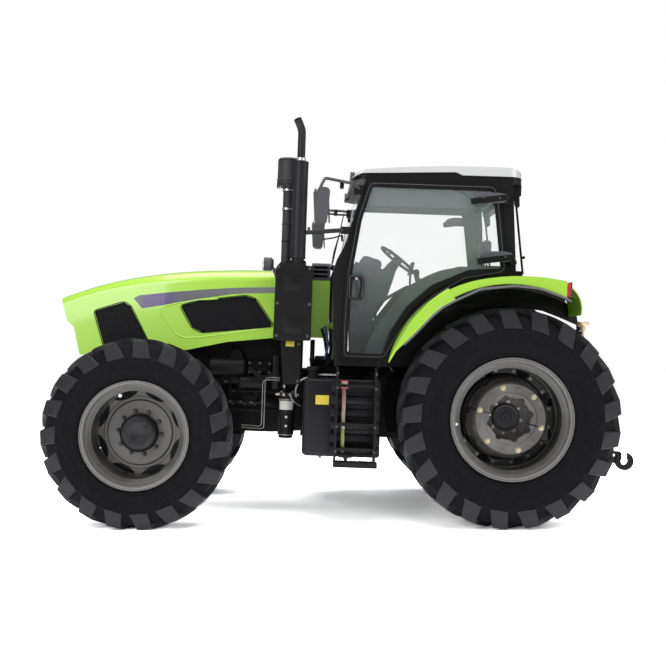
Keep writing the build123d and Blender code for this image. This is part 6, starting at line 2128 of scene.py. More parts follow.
# ---------------------------------------------------------------- cab
@dataclass(frozen=True)
class Cab:
    """Handles, hinge covers, seals, wipers, grab rails and roof fittings of the cab."""

    door_face: float = 836.0

    def build(self, nodes: dict[str, bpy.types.Object], fasteners: Fasteners) -> None:
        """Make the pieces."""
        for side, word in LEFT_RIGHT:
            door = f"door_{word}"
            self.handle().piece(f"door_handle_{word}", door, PLASTIC, "black_plastic", side=side)
            self.lever().piece(f"door_lever_{word}", door, GREY_BLACK, "black_plastic", side=side)
            self.lock().piece(f"door_lock_{word}", door, STEEL, "steel", side=side)
            self.hinge_covers().piece(f"hinge_covers_{word}", door, PLASTIC, "black_plastic", side=side)
            self.hinge_bolts(fasteners).piece(f"hinge_bolts_{word}", door, DARK_BOLT, "steel", side=side)
            gasket = self.gasket(nodes["door_glass_left"])
            gasket.piece(f"door_gasket_{word}", door, RUBBER, "rubber", side=side)
            # the bead's lighter grey is a painted highlight line along the door
            self.seam().piece(f"door_seam_{word}", door, GREY_SEAM_HIGHLIGHT, "rubber", side=side)
            self.edge_strip().piece(f"screen_edge_{word}", "chassis", PALE_EDGE, "glass", side=side)
            self.grab_rail().piece(f"grab_rail_{word}", "chassis", BLACK, "black_paint", side=side)
            self.roof_lamps(side, word)
            self.rear_edge(fasteners).piece(f"rear_edge_{word}", "chassis", BLACK, "black_paint", side=side)
        self.wipers().piece("wipers", "chassis", BLACK, "black_paint")
        self.roof().piece("roof_details", "chassis", PALE_ROOF, "pale_paint")
        self.roof_vents(fasteners).piece("roof_vents", "chassis", PLASTIC, "black_plastic")

    def handle(self) -> Shape:
        """The raised surround of the handle's pocket."""
        rim = softened([(1356, 1150), (1268, 1155), (1241, 1117), (1258, 963), (1356, 969)], 18.0, loop=True)
        line = [Vector((u, 853.0, v)) for u, v in rim]
        shape = Shape().swept(ellipse(5.0, 4.0, 10), line, loop=True)
        return shape.prism(
            panel(64.0, 150.0, 20.0), -2.0, 4.0, Facing.SIDE.at(1300.0, 852.0, 1048.0, 3.0), 2.0
        )

    def lever(self) -> Shape:
        """The lever that is pulled, on its two feet."""
        path = [(1306, 852, 1106), (1304, 880, 1090), (1292, 882, 1040), (1284, 880, 996), (1284, 852, 984)]
        return Shape().swept(ellipse(9.0, 13.0, 12), rounded(path, 14.0), Vector((1, 0, 0)))

    def lock(self) -> Shape:
        """The lock's barrel."""
        barrel = [(0, 12), (8, 12), (10, 10), (10, 3), (7, 3), (7, 0), (0, 0)]
        return Shape().turned(barrel, Facing.SIDE.at(1298, 851, 1128), 24)

    def hinge_covers(self) -> Shape:
        """Wing-shaped covers over the two hinge arms."""
        shape = Shape()
        for x, z, length in ((48.0, 1852.0, 288.0), (-18.0, 1356.0, 276.0)):
            outline = [(0, -34), (60, -44), (200, -40), (length - 26, -26), (length, 0), (length - 22, 28)]
            outline += [(200, 46), (60, 46), (0, 36)]
            cover = [(x + u, z + v) for u, v in softened(outline, 22.0, loop=True)]
            shape.prism(cover, 846.0, 868.0, bevel=7.0, segments=3)
        return shape

    def hinge_bolts(self, fasteners: Fasteners) -> Shape:
        """Two bolts in each hinge cover."""
        places = ((110, 1852), (250, 1852), (44, 1356), (180, 1356))
        spots = [pointing((x, 867.0, z), (0, 1, 0), x) for x, z in places]
        return fasteners.bolted(spots, 16.0, 7.0, 13.0)

    def gasket(self, glass: bpy.types.Object) -> Shape:
        """A rubber edge that follows the door glass's outline on its outer face."""
        line = [Vector((u, 824.0, v)) for u, v in rim_of(glass)]
        return Shape().swept(panel(14.0, 10.0, 3.0, 2), line, Vector((0, 1, 0)), loop=True)

    def seam(self) -> Shape:
        """A fine bead round the door just inside its edge, its grey tone a painted highlight line."""
        outline = [
            (1382, 470), (1384, 740), (1368, 1180), (1300, 1640), (1206, 1948), (152, 1948), (116, 1812),
            (44, 1258),
        ]
        outline += [(80, 1226), (380, 1170), (640, 1010), (800, 860), (926, 690), (1040, 470)]
        line = [Vector((u, self.door_face, v)) for u, v in softened(outline, 40.0, loop=True)]
        return Shape().swept(ellipse(3.0, 3.5, 8), line, Vector((0, 1, 0)), loop=True)

    def edge_strip(self) -> Shape:
        """The pale ground edge of the windscreen in its clip."""
        path = [Vector((1345, 742, 1722)), Vector((1378, 742, 1500)), Vector((1412, 742, 1284))]
        return Shape().swept(panel(12.0, 9.0, 2.0, 2), path, Vector((0, 1, 0)))

    def rear_edge(self, fasteners: Fasteners) -> Shape:
        """The rear window's edge, its hinge and a catch on one side."""
        shape = Shape()
        line = [(-30, 726, 1962), (-62, 726, 1804), (-96, 726, 1536), (-124, 726, 1321), (-136, 726, 1226)]
        shape.swept(panel(18.0, 15.0, 4.0, 2), rounded(line, 40.0), Vector((0, 1, 0)))
        shape.prism(
            [(-40, 1975), (-86, 1960), (-96, 1812), (-72, 1790), (-52, 1830)], 670.0, 712.0, bevel=6.0
        )
        return shape.add(
            fasteners.spots(Fasteners.bolt(20.0, 10.0, 14.0), [pointing((-137, 734, 1368), (0, 1, 0))])
        )

    def grab_rail(self) -> Shape:
        """A curved rail inside the door opening."""
        path = [(831, 560, 1096), (950, 560, 1030), (1060, 560, 950), (1116, 560, 846), (1100, 560, 700)]
        return Shape().tube(path, 13.0, 60.0)

    def wipers(self) -> Shape:
        """Arms and blades of the front and rear wipers."""
        shape = Shape()
        hub = [(0, 26), (24, 24), (30, 16), (30, 0), (0, 0)]
        shape.turned(hub, pointing((1478.0, 180.0, 1262.0), (1, 0, 0.3)), 20)
        shape.tube([(1500, 180, 1268), (1478, 90, 1420), (1440, 0, 1560)], 7.0, 40.0)
        shape.tube([(1484, -60, 1330), (1440, 0, 1560), (1398, 66, 1780)], 5.0, 0.0, 8)
        shape.turned(hub, pointing((-58.0, 0.0, 1948.0), (-1, 0, 0)), 20)
        shape.tube([(-84, 0, 1948), (-98, 60, 1860), (-104, 150, 1770)], 7.0, 40.0)
        shape.tube([(-98, 210, 1930), (-104, 150, 1770), (-112, 90, 1610)], 5.0, 0.0, 8)
        return shape

    def crown(self, x: float) -> float:
        """The height of the roof's crown at a place along it."""
        front, middle, rear = (1294.0, 2065.0), (620.0, 2118.0), (-12.0, 2122.0)
        first = (middle[1] - rear[1]) / (middle[0] - rear[0])
        second = (front[1] - middle[1]) / (front[0] - middle[0])
        bend = (second - first) / (front[0] - rear[0])
        return rear[1] + first * (x - rear[0]) + bend * (x - rear[0]) * (x - middle[0])

    def roof(self) -> Shape:
        """Swages pressed along the roof cap and a shallow hatch."""
        shape = Shape()
        for y in (-560.0, -430.0, 430.0, 560.0):
            path = [Vector((x, y, self.crown(x) - 1.5)) for x in range(60, 1200, 60)]
            shape.swept(ellipse(26.0, 5.0, 12), path, Vector((0, 0, 1)))
        top = [(x, self.crown(x) + 6.0) for x in range(340, 920, 40)]
        shape.prism([*top, (900, 2060), (340, 2060)], -260.0, 260.0, bevel=5.0, segments=3)
        return shape

    def roof_vents(self, fasteners: Fasteners) -> Shape:
        """Slatted air inlets under the roof's overhang."""
        shape = Shape()
        for way in (1, -1):
            slat = Shape().block((0.0, 0.0, 0.0), (260.0, 8.0, 5.0), 1.0)
            slats = fasteners.row(slat, 9, (0.0, way * 14.0, 0.0))
            shape.add(slats, Matrix.Translation((40.0, way * 560.0, 1988.0)))
        return shape

    def roof_lamps(self, side: int, word: str) -> None:
        """Work lamps let into the roof's front and rear corners on one side."""
        housing, lens = Shape(), Shape()
        for x, way in ((1366.0, 1), (-92.0, -1)):
            face = pointing((x, 620.0, 2024.0), (way, 0, 0))
            housing.prism(panel(176.0, 74.0, 18.0), -30.0, 10.0, face, 4.0)
            lens.prism(panel(150.0, 50.0, 12.0), 4.0, 11.5, face, 1.0)
        housing.piece(f"roof_lamp_housings_{word}", "chassis", PLASTIC, "black_plastic", side=side)
        lens.piece(f"roof_lamp_lenses_{word}", "chassis", CLEAR_LENS, "lamp_lens", side=side)


def rim_of(node: bpy.types.Object) -> list[tuple[float, float]]:
    """The outline of a flat upright pane, as seen from the side, in the tractor's own axes in millimetres.

    Args:
        node: the pane, on the tractor's left.

    Returns:
        Its outline, forward and up, in order round it.
    """
    pane = bmesh.new()
    pane.from_mesh(node.data)
    pane.transform(STANCE.from_row())
    bmesh.ops.remove_doubles(pane, verts=pane.verts, dist=0.01)
    bmesh.ops.dissolve_limit(pane, angle_limit=0.02, verts=pane.verts, edges=pane.edges)
    face = max(pane.faces, key=lambda each: each.calc_area() * (1 if each.normal.y > 0.9 else 0))
    outline = [(vertex.co.x, vertex.co.z) for vertex in face.verts]
    pane.free()
    return outline


STALK = (
    (488, 550, 1960), (420, 550, 1958), (318, 550, 1900), (230, 550, 1800), (200, 550, 1650), (196, 550, 1330)
)


@dataclass(frozen=True)
class Interior:
    """Controls and trim inside the cab."""

    hub: Point = (880.0, 0.0, 1371.0)
    lean: float = 36.9

    def build(self, fasteners: Fasteners) -> None:
        """Make the pieces."""
        self.wheel_trim().piece("steering_trim", "steering_wheel", PLASTIC, "black_plastic")
        self.column().piece("column_shroud", "chassis", PLASTIC, "black_plastic")
        self.levers().piece("control_levers", "chassis", BLACK, "black_paint")
        self.knobs().piece("control_knobs", "chassis", PLASTIC, "black_plastic")
        self.pedals(fasteners).piece("pedals", "chassis", RUBBER, "rubber")
        self.panels(fasteners).piece("console_panels", "chassis", PLASTIC, "black_plastic")
        self.screen().piece("display_screen", "chassis", SCREEN, "black_plastic")
        for side, word in LEFT_RIGHT:
            self.side_trim().piece(f"side_trim_{word}", "chassis", DARK_TRIM, "black_plastic", side=side)
        self.mat().piece("floor_mat", "chassis", RUBBER, "rubber")
        self.lining().piece("roof_lining", "chassis", LINING, "pale_paint")

    def at(self, along: float) -> Vector:
        """A point on the steering column's axis, above the wheel's middle."""
        lean = math.radians(self.lean)
        x, y, z = self.hub
        return Vector((x - along * math.sin(lean), y, z + along * math.cos(lean)))

    def axis(self, along: float) -> Matrix:
        """The frame of the steering column's axis at a distance above the wheel's middle."""
        lean = math.radians(self.lean)
        return pointing(self.at(along), (-math.sin(lean), 0.0, math.cos(lean)))

    def wheel_trim(self) -> Shape:
        """The wheel's pad and a spinner knob."""
        shape = Shape().turned(
            [(-14, 0), (-14, 44), (4, 50), (14, 42), (18, 24), (18, 0)], self.axis(0.0), 32
        )
        knob = [(-4, 0), (-4, 14), (16, 15), (30, 23), (44, 21), (50, 12), (50, 0)]
        return shape.turned(knob, self.axis(0.0) @ Matrix.Translation((150.0, 98.0, 6.0)), 24)

    def column(self) -> Shape:
        """A tapered shroud round the column, with its boot and two stalks."""
        shape = Shape()
        shape.turned([(-300, 62), (-240, 58), (-80, 50), (-40, 44), (-40, 0), (-300, 0)], self.axis(0.0), 32)
        for step in range(4):
            shape.bead(-330 + 22 * step, 64, (9, 9), self.axis(0.0), 32)
        start = self.at(-110.0)
        for out in (1, -1):
            end = start + Vector((-30, out * 160, 44))
            shape.tube([start, start + Vector((-10, out * 90, 14)), end], 7.0, 30.0)
            shape.tube([end, end + Vector((-6, out * 34, 10))], 10.0)
        return shape

    def levers(self) -> Shape:
        """Shanks of the hand controls."""
        shape = Shape()
        shape.tube([(640, -400, 1050), (645, -396, 1150), (652, -390, 1230)], 8.0, 20.0)
        shape.tube([(560, -430, 1050), (566, -430, 1150)], 6.0)
        shape.tube([(500, -430, 1050), (508, -430, 1140)], 6.0)
        shape.tube([(700, 470, 1040), (730, 465, 1150)], 7.0)
        shape.tube(STALK, 7.0, 60.0)
        shape.block(STALK[0], (56.0, 40.0, 16.0), 7.0)
        for x in (1240.0, 1200.0, 1158.0):
            y = 60 - (1240 - x) * 3
            shape.tube([(x + 30, y, 760), (x, y, 640), (x - 40, y, 556)], 9.0, 30.0)
        return shape

    def knobs(self) -> Shape:
        """Grips of the hand controls: a large joystick and ball knobs."""
        shape = Shape()
        grip = [(0, 0), (0, 20), (30, 22), (64, 27), (92, 30), (110, 24), (118, 12), (118, 0)]
        shape.turned(grip, pointing((650.0, -391.0, 1205.0), (0.1, 0.05, 1.0)), 24)
        for place in ((566.0, -430.0, 1150.0), (508.0, -430.0, 1140.0), (730.0, 465.0, 1150.0)):
            shape.turned(
                [(-6, 0), (-6, 8), (4, 17), (18, 21), (32, 17), (38, 0)], pointing(place, (0.1, 0, 1)), 20
            )
        return shape

    def pedals(self, fasteners: Fasteners) -> Shape:
        """Ribbed pedal pads."""
        shape = Shape()
        for y in (60.0, -60.0, -186.0):
            place = pointing((1168.0 - (60.0 - y) * 0.1, y, 545.0), (-0.8, 0.0, 0.6))
            shape.prism(panel(84.0, 96.0, 12.0), 0.0, 14.0, place, 4.0)
            rib = Shape().block((0.0, 0.0, 0.0), (6.0, 60.0, 6.0), 1.5)
            shape.add(fasteners.row(rib, 5, (14.0, 0.0, 0.0)), place @ Matrix.Translation((-28.0, 0.0, 15.0)))
        return shape

    def panels(self, fasteners: Fasteners) -> Shape:
        """The instrument hood, arm rests and switch rows."""
        shape = Shape()
        shape.block((300.0, -420.0, 1165.0), (430.0, 130.0, 64.0), 22.0, -2.0)
        shape.block((300.0, 520.0, 1130.0), (330.0, 110.0, 52.0), 20.0, -2.0)
        shape.block((1136.0, 0.0, 1322.0), (200.0, 330.0, 110.0), 44.0, 16.0)
        switch = Shape().block((0.0, 0.0, 0.0), (18.0, 30.0, 12.0), 3.0)
        shape.add(fasteners.row(switch, 8, (30.0, 0.0, 0.0)), Matrix.Translation((60.0, -540.0, 1058.0)))
        return shape

    def screen(self) -> Shape:
        """A small display on a stalk beside the console."""
        shape = Shape().block((700.0, -520.0, 1330.0), (30.0, 190.0, 130.0), 8.0, 12.0)
        return shape.tube([(706, -520, 1060), (704, -520, 1290)], 11.0)

    def side_trim(self) -> Shape:
        """The moulded wall inside the cab that follows the wheel arch."""
        top = [
            (1196, 520), (1143, 671), (1040, 820), (937, 962), (833, 1100), (674, 1192), (541, 1246),
            (259, 1290), (20, 1290),
        ]
        outline = softened(top, 60.0) + [
            (20, 1215), (317, 1150), (722, 880), (960, 520), (1010, 470), (1196, 470)
        ]
        return Shape().prism(outline, 690.0, 716.0, bevel=5.0)

    def mat(self) -> Shape:
        """A moulded mat on the cab floor."""
        return Shape().prism(panel(420.0, 900.0, 40.0), 436.0, 447.0, Facing.TOP.at(1150.0, 0.0), 3.0)

    def lining(self) -> Shape:
        """The pale padded lining under the roof."""
        return Shape().prism(panel(1180.0, 1380.0, 80.0), 1966.0, 1990.0, Facing.TOP.at(620.0, 0.0), 10.0, 3)


@dataclass(frozen=True)
class Cushion:
    """A padded cushion that is blown up by a cloth simulation inside its cover."""

    name: str
    channels: Sequence[tuple[int, float]] = ()
    voxel: float = 0.007
    cap: float = 0.022
    pressure: float = 4.0
    shrink: float = 0.93
    frames: int = 20
    groove_width: float = 0.007
    groove_depth: float = 0.009

    def cover(self, mesh: bpy.types.Mesh) -> bpy.types.Object:
        """The cover before it is filled: the given block, drawn in a little and remeshed."""
        core = bmesh.new()
        core.from_mesh(mesh)
        bmesh.ops.remove_doubles(core, verts=core.verts, dist=1e-5)
        middle = sum((vertex.co for vertex in core.verts), Vector()) / len(core.verts)
        for vertex in core.verts:
            vertex.co = middle + (vertex.co - middle) * self.shrink
        fresh = bpy.data.meshes.new(f"{self.name}_cover")
        core.to_mesh(fresh)
        core.free()
        made = bpy.data.objects.new(self.name, fresh)
        bpy.context.scene.collection.objects.link(made)
        remesh = made.modifiers.new("remesh", "REMESH")
        remesh.mode = "VOXEL"
        remesh.voxel_size = self.voxel
        return baked(made)

    def fill(self, made: bpy.types.Object) -> None:
        """Blow the cover up, no point further from its start than the cap."""
        rest = [vertex.co.copy() for vertex in made.data.vertices]
        cloth = made.modifiers.new("cloth", "CLOTH")
        cloth.settings.use_pressure = True
        cloth.settings.uniform_pressure_force = self.pressure
        cloth.settings.effector_weights.gravity = 0.0
        cloth.point_cache.frame_start = 1
        cloth.point_cache.frame_end = self.frames
        for frame in range(1, self.frames + 1):
            bpy.context.scene.frame_set(frame)
        made = baked(made)
        bpy.context.scene.frame_set(1)
        for vertex, before in zip(made.data.vertices, rest):
            step = vertex.co - before
            vertex.co = before + step * min(1.0, self.cap / max(step.length, 1e-9))

    def build(self, mesh: bpy.types.Mesh, replaces: str = "") -> None:
        """Fill, sew and dress the cushion.

        Args:
            mesh: the block that it is made from, in the row frame.
            replaces: the CAD node that it stands for, if any.
        """
        made = self.cover(mesh)
        self.fill(made)
        smooth = made.modifiers.new("smooth", "SMOOTH")
        smooth.iterations = 4
        made = baked(made)
        spread = [[vertex.co[axis] for vertex in made.data.vertices] for axis in range(3)]
        normals = [vertex.normal.copy() for vertex in made.data.vertices]
        for vertex, normal in zip(made.data.vertices, normals):
            sunk = 0.0
            for axis, share in self.channels:
                low, high = min(spread[axis]), max(spread[axis])
                apart = vertex.co[axis] - low - share * (high - low)
                sunk = max(sunk, math.exp(-((apart / self.groove_width) ** 2)))
            vertex.co -= normal * self.groove_depth * sunk
        division = made.modifiers.new("division", "SUBSURF")
        division.levels = 1
        division.render_levels = 1
        made = baked(made)
        made.data.shade_smooth()
        made.data.materials.clear()
        made.data.materials.append(SEAT_CLOTH.material())
        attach(made, "chassis")
        if replaces:
            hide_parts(replaces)
        LOG.info("%s: %d faces", self.name, len(made.data.polygons))


def baked(made: bpy.types.Object) -> bpy.types.Object:
    """The object with its modifiers applied to its mesh."""
    depsgraph = bpy.context.evaluated_depsgraph_get()
    mesh = bpy.data.meshes.new_from_object(made.evaluated_get(depsgraph))
    made.modifiers.clear()
    made.data = mesh
    return made


@dataclass(frozen=True)
class DriversPlace:
    """The driver's seat: cushions and head rest, shell and suspension bellows."""

    def build(self, nodes: dict[str, bpy.types.Object]) -> None:
        """Make the pieces."""
        channels = ((1, 0.24), (1, 0.76))
        Cushion("seat_cushion_pad", (*channels, (0, 0.34))).build(nodes["seat_cushion"].data, "seat_cushion")
        Cushion("seat_backrest_pad", (*channels, (2, 0.55))).build(
            nodes["seat_backrest"].data, "seat_backrest"
        )
        head = Shape().block((72.0, 0.0, 1490.0), (84.0, 260.0, 190.0), 26.0, 7.0)
        Cushion("head_rest_pad", voxel=0.006, cap=0.014).build(head.held(1, STANCE.to_row()))
        self.bellows().piece("seat_bellows", "chassis", RUBBER, "rubber")
        self.shell().piece("seat_shell", "chassis", PLASTIC, "black_plastic")

    def bellows(self) -> Shape:
        """Folded bellows over the seat's suspension."""
        shape = Shape()
        for step in range(5):
            size = 1.0 if step % 2 else 0.93
            outline = [(u * size, v * size) for u, v in panel(330.0, 330.0, 50.0)]
            shape.prism(outline, 520.0 + 28 * step, 552.0 + 28 * step, Facing.TOP.at(392.0, 0.0), 9.0)
        return shape

    def shell(self) -> Shape:
        """Backrest shell, its recliner discs and a folded arm rest on each side."""
        shape = Shape()
        line = [Vector((44.0, 0.0, 900.0)), Vector((8.0, 0.0, 1330.0))]
        shape.swept(panel(400.0, 24.0, 8.0), line, Vector((1, 0, 0)))
        for y in (-60.0, 60.0):
            shape.tube([(52, y, 1300), (66, y, 1410)], 7.0)
        for y in (-246.0, 246.0):
            shape.turned(
                [(-10, 0), (-10, 44), (10, 44), (14, 36), (14, 0)], Facing.SIDE.at(150.0, y, 850.0), 28
            )
            shape.block((300.0, y * 1.12, 1010.0), (330.0, 56.0, 44.0), 18.0, 3.0)
            shape.tube([(120, y * 1.04, 990), (150, y * 1.04, 862)], 12.0)
        return shape


# ---------------------------------------------------------------- fenders, ladder and rear
@dataclass(frozen=True)
class Fenders:
    """Lamps, edges and fittings of the rear fenders."""

    def build(self) -> None:
        """Make the pieces of both sides."""
        for side, word in LEFT_RIGHT:
            oval = [(26 * u, 13 * v) for u, v in ellipse(1.0, 1.0, 20)]
            marker = Shape().prism(oval, -4.0, 8.0, self.marker_place(), 3.0)
            marker.piece(f"side_marker_{word}", "chassis", AMBER_LENS, "red_lens", side=side)
            self.tail().piece(f"tail_lamp_bezel_{word}", "chassis", PLASTIC, "black_plastic", side=side)
            tail_amber = Shape().block((-430.0, 1132.0, 1080.0), (42.0, 30.0, 104.0), 4.0)
            tail_amber.piece(f"tail_amber_{word}", "chassis", AMBER_LENS, "red_lens", side=side)
            self.coupling().piece(f"tail_cap_{word}", "chassis", BRASS, "steel", side=side)
            self.lip_line().piece(f"fender_bead_{word}", "chassis", GREY_PLASTIC, "rubber", side=side)
            self.cheek().piece(f"fender_cheek_{word}", "chassis", GREEN, "lime_paint", side=side)
            self.liner().piece(f"fender_liner_{word}", "chassis", BLACK, "black_plastic", side=side)
            self.stay().piece(f"tail_cap_stay_{word}", "chassis", BLACK, "black_paint", side=side)

    def cheek(self) -> Shape:
        """The front end of the fender's band, which tapers down to the cab's foot."""
        outer = [
            (566, 1056), (650, 996), (731, 925), (811, 834), (879, 738), (946, 628), (1003, 513), (1036, 432)
        ]
        inner = [
            (1026, 432), (972, 530), (918, 584), (848, 650), (758, 748), (685, 832), (600, 905), (500, 960)
        ]
        return Shape().prism(outer + inner, 1176.0, 1204.0, bevel=8.0, segments=3)

    def lip_line(self) -> Shape:
        """A grey bead along the fender band's lower edge."""
        edge = [(-440, 980), (-385, 1010), (-179, 1078), (25, 1092), (304, 1056), (500, 958)]
        edge += [(600, 902), (685, 828), (758, 744), (848, 646), (914, 580)]
        line = [Vector((u, 1202.0, v)) for u, v in softened(edge, 30.0)]
        return Shape().swept(ellipse(9.0, 7.0, 10), line, Vector((0, 1, 0)))

    def liner(self) -> Shape:
        """The wall inside the fender, between the wheel and the cab."""
        lower = [(-253, 930), (-335, 919), (-472, 872), (-655, 800)]
        upper = [
            (-640, 880), (-580, 960), (-519, 1020), (-379, 1120), (0, 1150), (317, 1100), (600, 960),
            (520, 860), (300, 900),
        ]
        return Shape().prism(lower + upper, 628.0, 640.0, bevel=3.0)

    def marker_place(self) -> Matrix:
        """The amber marker's plane, low on the fender's outer skirt."""
        return Facing.SIDE.at(749.0, 1182.0, 872.0, -40.0)

    def tail(self) -> Shape:
        """A frame round the tail lamp, and its dividing bars."""
        shape = Shape()
        rim = panel(92.0, 116.0, 10.0)
        line = [Vector((-450.0, 1105.0 + u, 1080.0 + v)) for u, v in rim]
        shape.swept(ellipse(5.0, 7.0, 8), line, loop=True)
        return shape.block((-444.0, 1105.0, 1080.0), (14.0, 88.0, 5.0), 1.0)

    def coupling(self) -> Shape:
        """A flat brass-coloured cap on its stem, behind the fender's tail."""
        profile = [
            (698, 0), (698, 13), (752, 13), (754, 20), (786, 22), (790, 44), (800, 50), (822, 50), (828, 44),
            (828, 0),
        ]
        return Shape().turned(profile, Facing.TOP.at(-622.0, 900.0), 32)

    def stay(self) -> Shape:
        """The cap's stay, back to the axle housing."""
        return Shape().tube(
            [(-622, 900, 740), (-560, 860, 720), (-470, 760, 700), (-330, 640, 560)], 13.0, 60.0
        )


@dataclass(frozen=True)
class Ladder:
    """Grips and brackets of the entry ladder."""

    def build(self, fasteners: Fasteners) -> None:
        """Make the pieces."""
        self.grips(fasteners).piece("tread_grips", "chassis", BLACK, "black_paint")
        self.rails().piece("ladder_rails", "chassis", BLACK, "black_paint")
        self.bolts(fasteners).piece("ladder_bolts", "chassis", DARK_BOLT, "steel")

    def grips(self, fasteners: Fasteners) -> Shape:
        """Raised teeth along each tread and the low step."""
        shape = Shape()
        for z in (226.0, -94.0, -298.0):
            for y in (1010.0, 1045.0, 1080.0):
                tooth = Shape().turned([(-1, 7), (5, 6), (5, 3.5), (1, 3.5)], Matrix(), 8, ring=True)
                shape.add(fasteners.row(tooth, 13, (25.0, 0.0, 0.0)), Matrix.Translation((1128.0, y, z)))
        for y in (1012.0, 1090.0):
            tooth = Shape().block((0.0, 0.0, 0.0), (10.0, 14.0, 8.0), 2.0)
            shape.add(fasteners.row(tooth, 17, (21.0, 0.0, 0.0)), Matrix.Translation((1104.0, y, -399.0)))
        return shape

    def rails(self) -> Shape:
        """Hand rails beside the door, from the ladder up the cab's posts."""
        shape = Shape()
        shape.tube([(1452, 1000, 380), (1456, 1010, 470), (1470, 960, 560), (1474, 862, 600)], 11.0, 46.0)
        shape.tube([(1100, 1000, 380), (1096, 1000, 420), (1090, 900, 440)], 10.0, 30.0)
        return shape

    def bolts(self, fasteners: Fasteners) -> Shape:
        """Bolts that hold the treads to the rails."""
        spots = []
        for z in (210, -110, -314, 330):
            for x in (1436.0, 1118.0):
                spots.append(pointing((x, 1110.0, z), (0, 1, 0), z))
        return fasteners.bolted(spots, 15.0, 7.0, 11.0)


